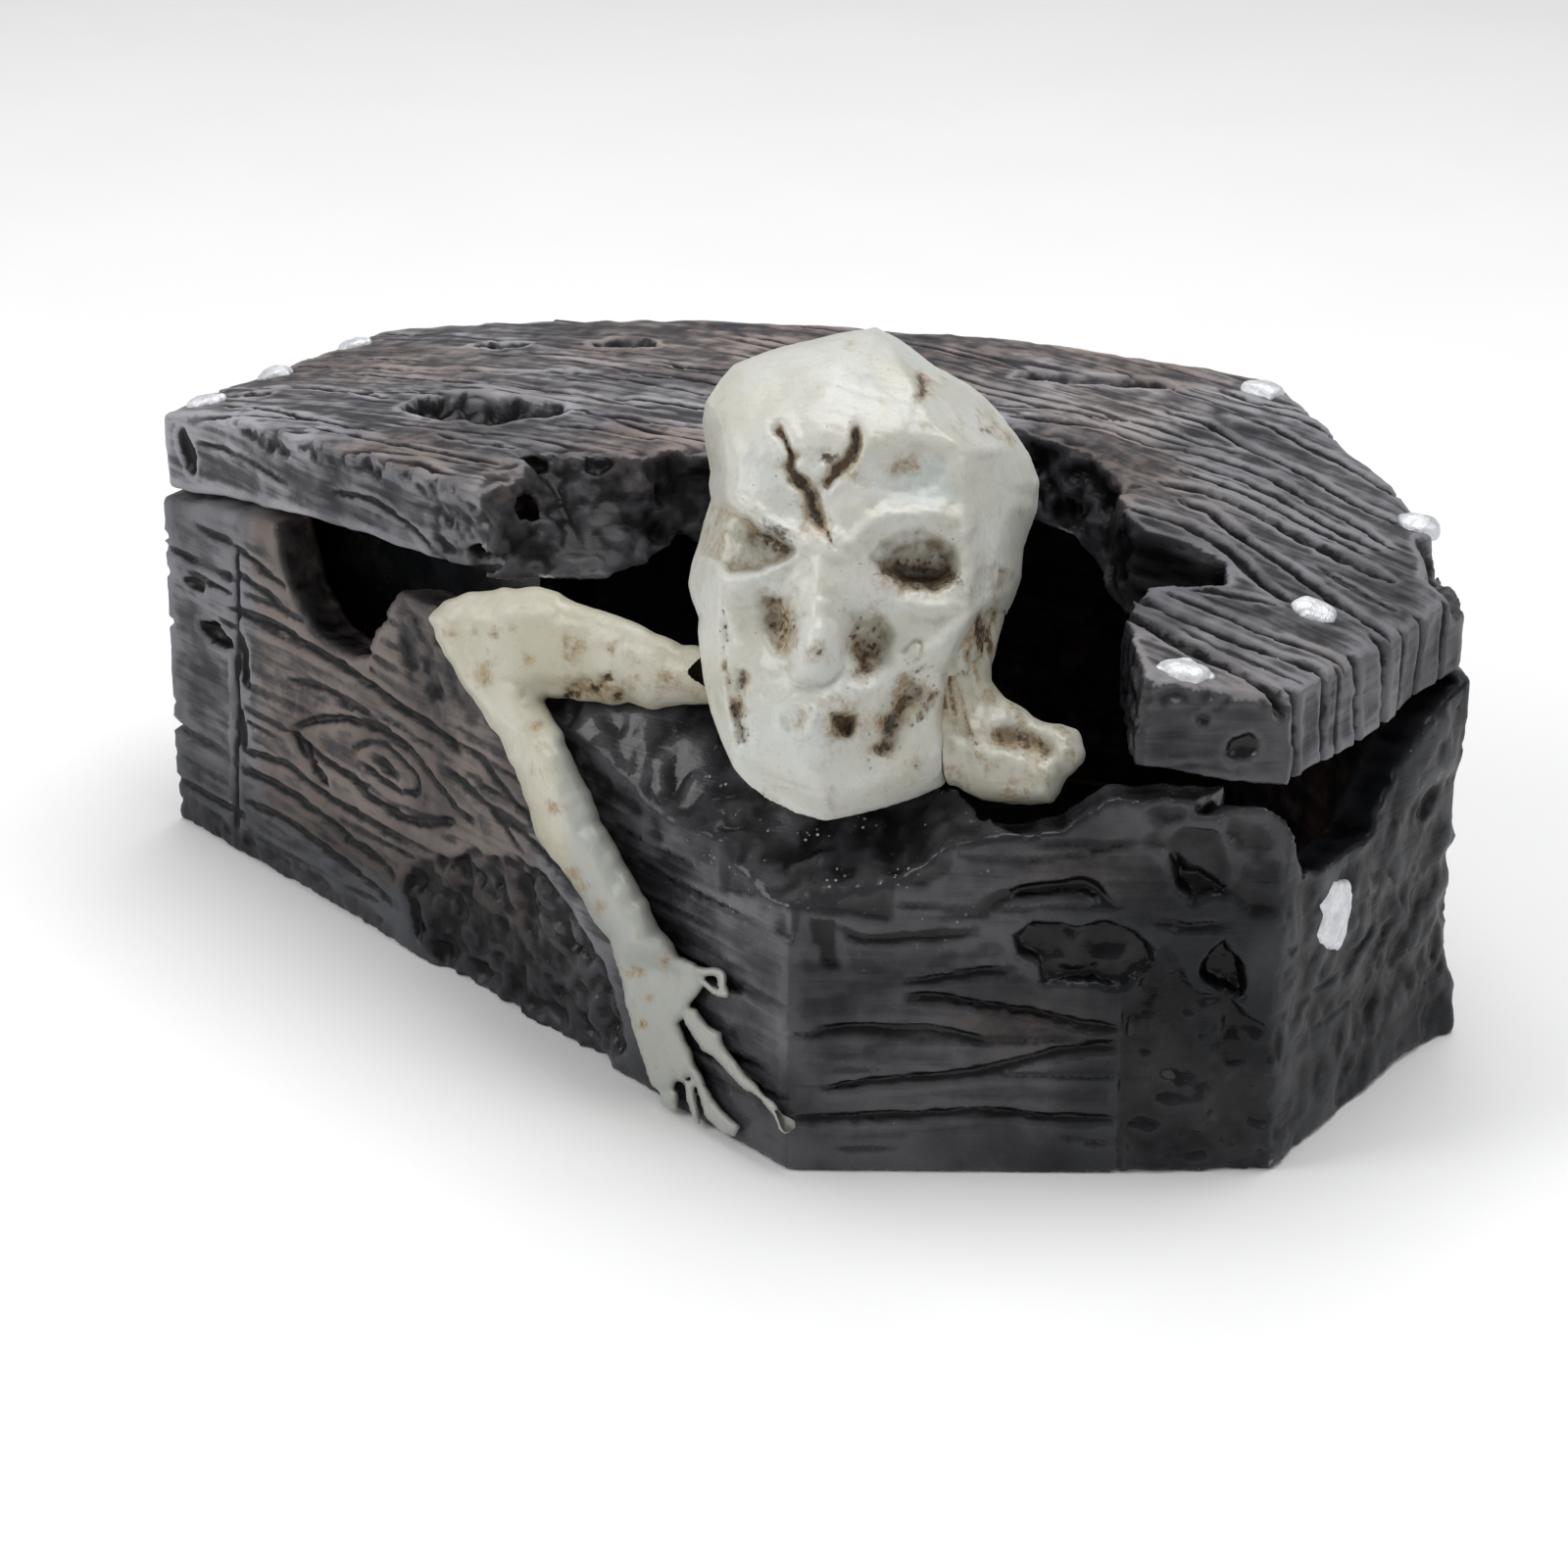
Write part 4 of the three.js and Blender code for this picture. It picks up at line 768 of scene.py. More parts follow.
# ------------------------------------------------------------------ the lid
top = Relief(-66, 66, -45, 49, 0.18, 140)
U, V = top.U, top.V
left = step(22, 12, U)
right = step(30, 36, U)
top.grain(3.1, 0.42, 0.5, knots=[(-27.5, -8.3, 13, 4.5, 3.4), (-42, 11.6, 7, 2.6, 2.0), (-29.5, 15.8, 7, 3.0, 2.2), (15, 30, 11, 3.4, 2.6), (-48, -4, 5, 2, 1.2)], wander=1.3, seed=1, inside=step(36, 26, U), keep=0.62)
top.grain(1.9, 0.2, 0.2, knots=[(-27.5, -8.3, 13, 4.5, 3.4), (15, 30, 11, 3.4, 2.6)], wander=1.3, seed=9, inside=step(36, 26, U), keep=0.3)
for pts, w_, d_ in [
    ([(33.8, 11.9), (38.5, 13.2), (43.4, 12.3), (48.7, 10.9), (52.9, 10.3), (57.5, 10.0)], 0.85, 1.5),
    ([(33.9, 4.8), (36.7, 5.2), (39.2, 5.4), (43.2, 4.1), (46.3, 2.7), (50.0, 0.1), (53.4, -1.4)], 0.7, 1.0),
    ([(36.9, 9.8), (39.7, 9.4), (42.8, 7.9), (45.8, 6.3), (49.8, 4.9), (54.0, 3.1), (58.1, 1.5), (62.5, 0.6)], 0.7, 1.0),
    ([(44.6, -14.6), (47.0, -15.0), (51.3, -15.9), (54.9, -16.5), (58.1, -16.7), (60.4, -16.9), (63.5, -17.9)], 0.85, 1.9),
    ([(43.8, -11.2), (47.6, -11.5), (50.6, -11.7), (53.6, -11.8), (56.8, -11.4), (59.6, -10.8), (63, -10.6)], 0.75, 0.95),
    ([(47.0, -6.2), (48.2, -5.0), (50.8, -3.8), (53.2, -2.8)], 0.5, 0.6),
    ([(46.0, -8.4), (50.4, -8.3), (54.5, -8.6), (58.4, -7.9), (62.6, -7.4)], 0.65, 0.8),
    ([(50, -13.8), (54, -14.2), (58, -13.9), (62, -13.7)], 0.4, 0.45),
    ([(14.9, 16.3), (19.4, 18.6), (23.5, 19.6), (28.0, 19.4), (32.3, 20.5), (36.4, 20.9), (39.7, 20.6), (44.2, 19.3), (48.8, 18.3), (54.9, 15.8)], 0.6, 0.9),
    ([(12.2, 18.2), (16.3, 20.7), (21.0, 22.0), (25.6, 23.5), (30.3, 23.0), (35, 23.4)], 0.45, 0.6),
    ([(25.5, 27.6), (28.4, 28.2), (31.7, 26.9), (35.5, 25.4), (38.4, 24.9), (43.2, 23.7), (47.5, 22.2), (52.5, 21.0)], 0.6, 0.9),
    ([(31.9, 18.0), (35.7, 18.2), (39.4, 18.0), (42.6, 17.2), (46.1, 16.2), (49.4, 15.4), (54.2, 14.4)], 0.6, 0.85),
    ([(33.5, 15.4), (38.5, 15.8), (43.5, 14.9), (48.5, 13.6), (53.5, 12.6)], 0.5, 0.7),
    ([(30.3, 32.1), (34.0, 31.8), (38.0, 30.4), (42.1, 29.3), (45.5, 28.1), (50, 27.0)], 0.55, 0.85),
    ([(32.8, 35.4), (35.2, 35.6), (37.8, 35.2), (42.8, 34.2)], 0.5, 0.8),
    ([(26.1, 36.4), (30.4, 36.2), (33.7, 37.4), (38.0, 37.6)], 0.4, 0.6),
    ([(52, 6.9), (56, 5.6), (60.5, 5.1)], 0.4, 0.45),
    ([(-49.8, 0.9), (-43.1, 1.1), (-34.0, 2.6), (-30.4, 4.4), (-25.6, 5.4)], 0.5, 0.75),
    ([(-24.0, 7.6), (-18.4, 7.2), (-14.0, 7.8)], 0.4, 0.6),
    ([(-17.7, -5.8), (-12.0, -5.1), (-6.2, -4.1), (-2, -3.4)], 0.45, 0.7),
    ([(-17.8, -9.8), (-13.2, -9.0), (-8.0, -9.1)], 0.55, 0.9),
    ([(-18.6, -0.5), (-13.9, 0.4), (-9.0, 0.8), (-3, 1.8)], 0.4, 0.55),
    ([(-22.9, 11.2), (-15.9, 11.9), (-10.4, 13.4), (-2, 14.0)], 0.4, 0.6),
    ([(-57.6, -7.4), (-52, -6.9), (-46, -7.2), (-40, -8.6)], 0.45, 0.7),
    ([(-59, 3.4), (-52, 4.4), (-46, 4.1)], 0.4, 0.55),
    ([(-56, -13.9), (-49, -15.2), (-41, -17.2), (-33, -18.6)], 0.4, 0.55),
    ([(-40, -19.4), (-30, -21.0), (-21, -21.6), (-15, -22.2)], 0.45, 0.6),
    ([(-30, -25.0), (-24, -25.2), (-17, -26.4)], 0.4, 0.5),
    ([(-26.6, -17.0), (-22.7, -17.8), (-17.1, -17.9)], 0.45, 0.7),
]:
    top.cut(pts, w_, d_, lip=0.1)
top.hollow([(-36.6, -11.4), (-36.3, -6.6), (-33.4, -4.6), (-30.8, -4.9), (-26.6, -3.9), (-22.8, -3.4), (-19.8, -5.2), (-20.4, -9.0), (-22.2, -10.2), (-23.4, -12.9), (-26.3, -12.6), (-28.6, -13.3), (-31.6, -13.0), (-34.2, -12.4)], 2.3, soft=0.9, lump=0.5, scale=0.42)
top.pit(-34.6, -8.7, 2.1, 2.9, 0, 2.7)
top.pit(-26.0, -8.2, 3.4, 2.6, 6, 2.4)
top.pit(-42.3, 11.6, 3.2, 1.5, 4, 1.7)
top.pit(-29.4, 15.9, 3.4, 1.6, 10, 1.7)
top.pit(-55.5, -9.6, 1.7, 1.0, 0, 1.2)
top.hollow([(9.0, 26.0), (9.8, 28.8), (15, 31.8), (20.0, 34.6), (23.4, 35.2), (21.8, 32.6), (16.6, 29.6), (12.4, 26.9)], 1.9, soft=0.7, lump=0.4)
top.hollow([(55.4, 19.8), (57.0, 23.6), (61.5, 21.5), (64, 17), (64, 11.2), (60.2, 12.2), (58.0, 15.6)], 2.7, soft=1.0, lump=1.0, scale=0.36, dark=0.6)
top.hollow([(34.6, 3.6), (38.2, 1.2), (45.0, 2.0), (44.8, 0.4), (36, 0.0)], 0.9, soft=0.6, lump=0.4, dark=0.4)
# worn and splintered edge of the long front side and by the break
top.rough([(-13, -31), (-16, -21), (-17.5, -15.5), (-12, -13.2), (-8, -13), (-4, -8), (2, 0), (12, 13.5), (19, 16.6), (26, 15), (33, 10), (33, -40), (-13, -40)], 0.5, 0.5, soft=1.5, sink=0.15, dark=0.35)
edge = np.clip(0.5 * fbm(U * 0.22, V * 0.22, 0 * U, 3, 0.55, 150) + 0.5, 0, 1)
top.h = (top.height() + fine_relief(top, 0.3)).astype(F32)
top.warm[:] = np.clip(0.55 + 0.7 * fbm(U * 0.05, V * 0.09, 0 * U, 2, 0.5, 155) - 0.25 * right, 0, 1)

lid_sides = {}
for i, w in enumerate(WALLS):
    r = Relief(-5, w.len + 5, 32, 53, RES, 170 + 9 * i)
    U, V = r.U, r.V
    if w.name == "BC":
        for a, b, w_, d_ in ((0.9, 1.6, 0.55, 1.3), (5.4, 6.6, 0.42, 0.8), (8.0, 8.6, 0.28, 0.4), (10.4, 12.2, 0.5, 0.95), (15.4, 16.8, 0.65, 1.5), (19.2, 19.8, 0.35, 0.55), (22.6, 23.6, 0.45, 0.8), (27.8, 28.2, 0.4, 0.6)):
            r.cut([(a, 53), (a * 0.5 + b * 0.5, 42), (b, 33)], w_, d_, ends=0.1, lip=0.1)
        r.grain(60, 0.1, 0.0, seed=1)
    elif w.name == "AB":
        r.pit(36.8, 39.6, 1.5, 1.2, 20, 0.8)
        r.pit(33.5, 42.0, 0.7, 0.5, 0, 0.4)
        r.pit(27.5, 40.6, 0.6, 0.5, 0, 0.4)
        r.cut([(30, 37.6), (33, 37.9), (37, 37.2)], 0.35, 0.3)
        r.rough([(22, 36), (22, 41), (30, 38.8), (45, 38.6), (46, 34)], 0.35, 0.7, soft=1.4, sink=0.1, dark=0.15)
        r.rough([(22, 53), (22, 44.6), (28, 43.6), (37, 42.8), (45, 42.4), (45, 53)], 0.4, 0.9, soft=0.7, sink=0.1, dark=0.1)
    elif w.name == "EA":
        r.cut([(29, 43.2), (35, 44.2), (42, 43.2), (48, 40.4)], 0.35, 0.5)
        r.cut([(6, 42.2), (14, 42.6), (22, 42.2)], 0.35, 0.35)
        r.cut([(30, 39.4), (37, 40.0), (44, 38.6)], 0.3, 0.3)
        r.rough([(-4, 53), (-4, 43.4), (16, 44.6), (30, 46.2), (48, 47.6), (56, 47), (56, 53)], 0.75, 0.55, soft=0.8, sink=0.2, dark=0.2)
        r.rough([(44, 34), (45, 48), (56, 49), (56, 34)], 0.8, 0.55, soft=1.5, sink=0.3, dark=0.4)
        r.pit(4.5, 40.5, 1.4, 2.4, 20, 0.8)
    elif w.name == "DF":
        r.grain(3.2, 0.4, 0.45, wander=0.8, seed=3, keep=0.5)
    elif w.name == "CD":
        r.cut([(6, 53), (6.6, 42), (6, 33)], 0.45, 0.8, ends=0.1)
        r.cut([(17, 53), (16.4, 42), (17, 33)], 0.45, 0.8, ends=0.1)
        r.cut([(29, 53), (29.6, 42), (29, 33)], 0.4, 0.7, ends=0.1)
    else:
        for a in (7.5, 16.2, 24.8):
            r.cut([(a, 53), (a + 0.4, 42), (a, 33)], 0.45, 0.9, ends=0.1)
    h = r.height() + fine_relief(r, 0.22)
    h = h + (0.7 * noise(U * 0.13, V * 0.05, 0 * U, 190 + i) + 0.3 * noise(U * 0.34, V * 0.16, 0 * U, 196 + i) - 0.25)
    if w.name == "DF":
        m = np.zeros(U.shape, F32)
        for s in (25.6, 73.6):
            m = np.maximum(m, step(8.5, 6.5, np.abs(U - (w.len - s))))
        h = h * (1 - m) - 0.12 * m
    r.h = np.clip(h, -3.0, 0.9).astype(F32)
    r.warm[:] = 0.35
    lid_sides[w.name] = r

gx = np.arange(-20, 66, 0.25, dtype=F32)
gy = np.arange(-44, 24, 0.25, dtype=F32)
GU, GV = np.meshgrid(gx, gy, indexing="ij")


class Patch(Relief):
    def __init__(self, u0, v0, res):
        self.u0, self.v0, self.res = u0, v0, res


break_patch = Patch(-20, -44, 0.25)
break_top = poly_distance(BREAK_TOP, GU, GV).astype(F32)
break_low = poly_distance(BREAK_LOW, GU, GV).astype(F32)


def break_field(x, y, z):
    t = np.clip((z - 38.0) / 12.2, 0, 1)
    a = break_patch.sample(break_low, x, y)
    b = break_patch.sample(break_top, x, y)
    far = (x < -19) | (y > 23)
    d = np.where(far, F32(9), a + (b - a) * t)
    side = step(34, 27, x)          # the crushed side is lumpy, the splintered side is split along the grain
    lump = 1.15 * fbm(x * F32(0.3), y * F32(0.3), z * F32(0.34), 3, 0.55, 41) + 0.6 * np.clip(0.7 - cells(x * F32(0.36), y * F32(0.36), z * F32(0.36), 3), 0, 1)
    split = 0.34 * noise(x * F32(0.16), y * F32(1.1), z * F32(0.8), 44) + 0.16 * noise(x * F32(0.4), y * F32(2.4), z * F32(1.6), 45)
    return d + side * lump + (1 - side) * split


DENTS = [(-12.6, -27.5, 42.5, 2.2), (-12.0, -24.0, 46.5, 1.9), (-9.0, -27.8, 39.5, 1.9), (-11.6, -19.6, 44.5, 2.2), (-6.8, -15.0, 43.0, 2.4),
         (-3.4, -11.4, 41.5, 2.0), (0.5, -7.0, 45.0, 2.3), (5.6, -0.8, 42.0, 2.2), (9.0, 4.4, 46.5, 2.0), (13.2, 10.0, 43.0, 2.2),
         (18.6, 13.0, 46.0, 2.0), (24.0, 12.4, 42.6, 2.2), (29.0, 9.6, 45.5, 1.9), (32.0, 5.6, 42.0, 1.7), (-14.4, -18.6, 48.6, 1.4), (-8.6, -16.2, 49.2, 1.5)]
PITS = [(-53.2, 0.0), (-12.6, 2.0)]


def lid_field(x, y, z):
    sides, flat, which = wall_field(x, y, z, k=1.3, lid=True)
    h = top.sample(top.h, x, y)
    wear = 0.55 * step(-2.2, 0.4, flat) * (0.5 + 0.9 * fbm(x * F32(0.33), y * F32(0.33), 0 * z, 2, 0.5, 48))
    up = z - (lid_z(x) + h - np.clip(wear, 0, 1.1))
    d = smax(sides, up, 0.7)
    low = (lid_z(x) - 8.25) - z + 0.5 * np.clip(noise(x * F32(0.22), y * F32(0.22), 0 * z, 52) + 0.2, 0, 1) * step(-2.5, -0.5, flat)
    d = smax(d, low, 0.7)
    b = break_field(x, y, z)
    d = smax(d, -b, 0.3)
    for cx, cy, cz, cr in DENTS:
        near = (np.abs(x - cx) < cr + 2) & (np.abs(y - cy) < cr + 2) & (np.abs(z - cz) < cr + 2)
        if near.any():
            xx, yy, zz = x[near], y[near], z[near]
            q = cr * (0.95 + 0.55 * fbm(xx * 0.55, yy * 0.55, zz * 0.55, 3, 0.6, 47)) - np.sqrt((xx - cx) ** 2 + (yy - cy) ** 2 + ((zz - cz) * 1.25) ** 2)
            d[near] = smax(d[near], q, 0.25)
    pk = break_like(POCKET, x, y)
    pocket = np.maximum(pk, z - (lid_z(x) - 4.0))
    d = np.maximum(d, -pocket)
    for sx, sy in PITS:
        ceil = lid_z(sx) - 4.0
        q = np.maximum(np.hypot(x - sx, y - sy) - 1.3, z - (ceil + 3.4))
        d = np.maximum(d, -q)
    return d


pocket_patch = Patch(-62, -26, 0.25)
pu = np.arange(-62, 0, 0.25, dtype=F32)
pv = np.arange(-26, 30, 0.25, dtype=F32)
PU, PV = np.meshgrid(pu, pv, indexing="ij")
pocket_map = poly_distance(POCKET, PU, PV).astype(F32)


def break_like(poly, x, y):
    d = pocket_patch.sample(pocket_map, x, y)
    return np.where((x > -1) | (y > 29) | (y < -25), F32(9), d)


def lid_rough(x, y, z):
    p = plain_walls(x, y, z)
    d = np.maximum(p, np.maximum(z - lid_z(x), lid_z(x) - 8.3 - z))
    t = np.clip((z - 38.0) / 12.2, 0, 1)
    a = break_patch.sample(break_low, x, y)
    b = break_patch.sample(break_top, x, y)
    far = (x < -19) | (y > 23)
    br = np.where(far, F32(9), a + (b - a) * t)
    d = np.maximum(d, -br)
    pk = np.maximum(break_like(POCKET, x, y), z - (lid_z(x) - 4.0))
    return np.maximum(d, -pk)


H_LID = 0.34
field, org = sparse_field((-65, -43, 33.5), (65, 46.5, 52.4), H_LID, lid_rough, lid_field, 3.6)
verts, faces = surface(field, org, H_LID)
verts, faces = largest(verts, faces)
del field
lid = make_object("coffin_lid_cast", verts, faces)
decimated(lid, 196000)

# ------------------------------------------------------------------ bones
# Each bone group has a frame: across, up and out of its outer face. Its outlines are drawn flat in that frame
# and narrow slightly away from the viewer's side, as the modelled relief does.
ACROSS = np.array([0.82304591, 0.56793345, 0.00685749])
UPWARD = np.array([-0.23684589, 0.33221192, 0.91298372])
OUTWARD = np.array([0.51623585, -0.75305168, 0.40793837])


class BoneFrame:
    def __init__(self, origin, depth, a, b):
        self.o, self.depth, self.a, self.b = np.array(origin), depth, a, b

    def local(self, x, y, z):
        dx, dy, dz = x - F32(self.o[0]), y - F32(self.o[1]), z - F32(self.o[2])
        X = dx * F32(ACROSS[0]) + dy * F32(ACROSS[1]) + dz * F32(ACROSS[2])
        Y = dx * F32(UPWARD[0]) + dy * F32(UPWARD[1]) + dz * F32(UPWARD[2])
        Z = dx * F32(OUTWARD[0]) + dy * F32(OUTWARD[1]) + dz * F32(OUTWARD[2])
        return X, Y, Z

    def flat(self, X, Y, Z):
        k = 1 - Z / F32(self.depth)
        return (X + F32(self.a) * Z) / k, (Y + F32(self.b) * Z) / k

    def world(self, X, Y, Z):
        return self.o + np.outer(X, ACROSS) + np.outer(Y, UPWARD) + np.outer(Z, OUTWARD)


FACE = BoneFrame((23.98, -22.07, 47.71), 322.3, 0.0211, 0.0551)
ARM = BoneFrame((2.98909, -34.96106, 27.51029), 331.668, -0.05408, 0.0)

SKULL_OUT = [(-13.44, 14.62), (-12.19, 16.44), (-10.95, 17.77), (-8.46, 18.85), (-5.97, 19.51), (-2.65, 20.26), (0.92, 20.92), (2.74, 19.93), (4.4, 18.77), (6.48, 17.52), (8.39, 16.36), (10.05, 15.03), (11.54, 13.54), (12.95, 11.88), (14.12, 10.05), (14.95, 7.81), (14.7, 5.49), (13.95, 3.66), (13.53, 2.08), (13.29, -0.24), (12.79, -1.73), (12.12, -3.06), (11.29, -5.72), (10.46, -8.62), (9.47, -12.36), (8.14, -15.68), (6.65, -17.92), (4.4, -18.92), (1.83, -19.75), (-0.82, -20.41), (-3.31, -20.91), (-5.8, -20.24), (-8.21, -19.08), (-9.71, -17.92), (-11.03, -16.51), (-12.11, -14.1), (-13.02, -11.61), (-13.61, -9.04), (-13.94, -6.47), (-14.1, -4.89), (-14.02, -3.64), (-14.6, -2.15), (-14.93, -0.82), (-14.6, 1.0), (-14.02, 2.66), (-13.52, 4.66), (-12.94, 6.4), (-13.11, 7.56), (-12.94, 8.64), (-13.44, 10.88), (-13.69, 12.96)]


class FacePatch(Relief):
    pass


face = Relief(-17, 17, -23, 23, 0.14, 230)
U, V = face.U, face.V
edge_in = -poly_distance(SKULL_OUT, U, V)
face.edge = edge_in.astype(F32)

# heights of the front of the skull at chosen places (across, up, out)
FRONT_PTS = np.array([
    (-2.7, 12.6, 11.8), (-8.5, 12.6, 10.8), (-11.9, 11.5, 9.4), (2.5, 12.6, 11.4), (6.5, 12.8, 10.2), (8.6, 9.6, 10.6), (12.0, 9.8, 9.4),
    (14.2, 7.4, 8.6), (0.9, 18.6, 4.6), (-6.5, 17.2, 6.0), (5.2, 16.6, 7.2), (-2.7, 15.8, 8.8), (9.4, 14.0, 8.6), (-10.5, 15.8, 7.0),
    (-3.6, 6.2, 12.2), (-8.5, 6.6, 12.0), (-12.4, 6.2, 10.0), (0.6, 5.2, 12.4), (4.0, 5.4, 12.2), (8.4, 5.0, 11.0), (8.9, 1.8, 10.9), (9.2, -2.2, 10.6),
    (12.6, 4.8, 9.8), (12.0, -1.0, 9.4), (-13.6, 0.4, 9.2), (-11.4, -1.4, 11.0), (-9.0, -1.8, 11.6), (-3.0, 0.5, 13.4), (-3.9, -3.0, 14.4),
    (-4.1, -6.4, 15.2), (-4.2, -9.2, 13.8), (-7.8, -4.2, 11.0), (-0.4, -6.2, 11.6), (3.0, -3.6, 12.2), (6.8, -3.0, 12.0), (6.6, -6.0, 11.6), (9.6, -6.0, 9.6),
    (2.2, -9.4, 11.6), (5.2, -10.8, 10.2), (8.2, -10.4, 9.0), (-4.2, -11.8, 14.4), (-4.4, -14.6, 13.4), (-10.4, -6.2, 10.6), (-12.6, -6.4, 9.4), (-10.6, -11.0, 10.2), (-12.0, -10.6, 9.4),
    (-8.4, -14.6, 11.2), (-10.4, -15.4, 9.8), (-4.0, -17.4, 12.0), (0.6, -15.6, 11.6), (4.0, -14.2, 10.6), (5.4, -16.4, 9.4), (-3.4, -19.8, 10.4), (-7.6, -18.0, 9.9), (1.6, -18.6, 9.8), (7.6, -14.4, 8.8)])


def spread(pts, U, V, eps=1.2):
    """a smooth surface through scattered heights (multiquadric)"""
    P, Z = pts[:, :2], pts[:, 2]
    phi = lambda r2: np.sqrt(r2 + eps * eps)
    A = phi(((P[:, None] - P[None]) ** 2).sum(-1)) + 0.02 * np.eye(len(P))
    n = len(P)
    M = np.zeros((n + 3, n + 3))
    M[:n, :n] = A
    M[:n, n] = 1
    M[:n, n + 1:] = P
    M[n:, :n] = M[:n, n:].T
    c = np.linalg.solve(M, np.concatenate([Z, np.zeros(3)]))
    out = c[n] + c[n + 1] * U + c[n + 2] * V
    for i in range(n):
        out = out + c[i] * phi((U - P[i, 0]) ** 2 + (V - P[i, 1]) ** 2)
    return out.astype(F32)


def plane(a, b, c, U, V):
    """the flat facet through three points (across, up, out)"""
    m = np.linalg.solve(np.array([[p[0], p[1], 1.0] for p in (a, b, c)]), np.array([p[2] for p in (a, b, c)]))
    return m[0] * U + m[1] * V + m[2]


front = spread(FRONT_PTS, U, V)
wobble = 0.25 * fbm(U * 0.3, V * 0.3, 0 * U, 2, 0.5, 205)
for a, b, c, k in (((8.9, 9.8, 9.9), (9.1, -2.5, 10.1), (14.4, 5.5, 0.4), 0.3),       # temple and side of the head
                   ((2.2, 19.4, 4.6), (8.6, 10.6, 10.2), (13.6, 10.6, 2.2), 0.35),     # upper right of the brow
                   ((-4.0, 20.4, 3.6), (4.5, 16.6, 8.0), (-6.5, 15.4, 9.4), 0.6),      # crown
                   ((-12.3, 14.6, 8.0), (-12.3, 6.0, 9.2), (-13.9, 10.5, 4.6), 0.3),    # left side of the brow
                   ((-12.2, 13.6, 8.4), (-6.2, 18.2, 6.4), (-13.0, 17.0, 2.8), 0.5),
                   ((-12.6, -1.2, 10.2), (-11.0, -14.5, 10.0), (-14.2, -5.0, 5.6), 0.5),  # left of the jaw
                   ((-10.6, -15.0, 10.0), (-3.6, -19.4, 10.2), (-9.6, -19.0, 6.0), 0.5),
                   ((-1.0, -19.0, 10.0), (5.8, -16.6, 8.8), (4.0, -20.4, 6.0), 0.5)):
    front = smin(front, plane(a, b, c, U, V) + wobble, k)
# the neck turns back beside the jaw
jaw = np.interp(V, [-20, -17, -13, -8.5, -5.5, -3.0, -1.5], [7.6, 6.4, 5.8, 6.2, 7.6, 9.3, 12.0]) + 0.3 * noise(V * 0.5, 0 * V, 0 * V, 206)
back_of_jaw = step(0.0, 0.9, U - jaw) * step(-1.6, -3.4, V)
front = front - back_of_jaw * (1.6 + 0.55 * np.clip(U - jaw, 0, 6))
front = front.astype(F32)
U0, V0 = U, V
U = U0 + 0.34 * noise(U0 * 0.75, V0 * 0.75, 0 * U0, 207) + 0.14 * noise(U0 * 2.1, V0 * 2.1, 0 * U0, 208)
V = V0 + 0.34 * noise(U0 * 0.75, V0 * 0.75, 0 * U0 + 5, 209) + 0.14 * noise(U0 * 2.1, V0 * 2.1, 0 * U0 + 5, 210)
stain = np.zeros(U.shape, F32)     # ochre wash
deep = np.zeros(U.shape, F32)      # dark brown in the pits
speck = np.zeros(U.shape, F32)     # honeycomb pores
cool = np.zeros(U.shape, F32)      # thin bluish white


def blob(u, v, ru, rv, angle=0.0, power=1.0):
    a = math.radians(angle)
    x = (U - u) * math.cos(a) + (V - v) * math.sin(a)
    y = -(U - u) * math.sin(a) + (V - v) * math.cos(a)
    return np.exp(-(((x / ru) ** 2 + (y / rv) ** 2) ** power))


def soft_poly(poly, soft, wob=0.2):
    e = -poly_distance(poly, U, V)
    return step(0, soft, e), e


def line_bump(pts, w):
    d, along, total = line_distance(smooth_line(pts, 0.4), U, V)
    return np.exp(-((d / w) ** 2)), d, np.clip(np.minimum(along, total - along) / 1.2 + 0.15, 0, 1)


# left socket: a shallow three-cornered hollow under a slanting brow
m, e = soft_poly([(-14.6, 7.2), (-12.2, 6.2), (-9.61, 4.98), (-5.3, 1.9), (-6.4, 0.9), (-8.76, 0.2), (-11.04, -0.3), (-14.6, 1.2)], 0.7)
slope = np.clip((U + 14) / 8.5, 0, 1)
front -= m * (1.2 + 1.9 * slope + 0.9 * step(0.8, 4.6, V + 0.5 * (U + 9)))
stain = np.maximum(stain, m * (0.52 + 0.12 * slope))
deep = np.maximum(deep, 1.0 * blob(-7.6, 3.2, 1.9, 1.0, -38))
speck = np.maximum(speck, m * blob(-7.8, 2.8, 2.6, 1.6, -36))
g, d, t = line_bump([(-13.6, 7.0), (-9.61, 5.5), (-5.4, 2.7), (-4.4, 1.6)], 0.8)
front += 0.7 * g * t
g, d, t = line_bump([(-13.6, 0.5), (-11.04, -0.6), (-8.76, -0.1), (-6.0, 1.2)], 0.55)
front += 0.4 * g * t
# right socket: an almond with the deepest, darkest part along its floor
m, e = soft_poly([(0.0, 1.2), (1.2, 3.0), (4.1, 4.2), (6.6, 3.7), (8.5, 1.9), (8.3, -0.6), (6.1, -1.9), (3.25, -1.6), (0.9, -0.2)], 1.7)
front -= m * (2.3 + 1.6 * blob(4.6, 0.0, 3.4, 1.9))
stain = np.maximum(stain, m * 0.4)
stain = np.maximum(stain, 0.95 * blob(4.5, -0.2, 4.2, 1.7, -4, 1.3))
deep = np.maximum(deep, 1.15 * blob(4.6, -0.1, 3.5, 1.1, -6))
speck = np.maximum(speck, blob(4.6, 0.1, 4.4, 2.0))
g, d, t = line_bump([(-1.6, 1.6), (0.4, 4.2), (4.1, 5.2), (7.4, 4.9), (9.0, 2.6)], 0.9)
front += 0.75 * g * t
g, d, t = line_bump([(2.4, -2.2), (5.8, -2.9), (8.7, -2.5)], 0.6)
front += 0.55 * g * t
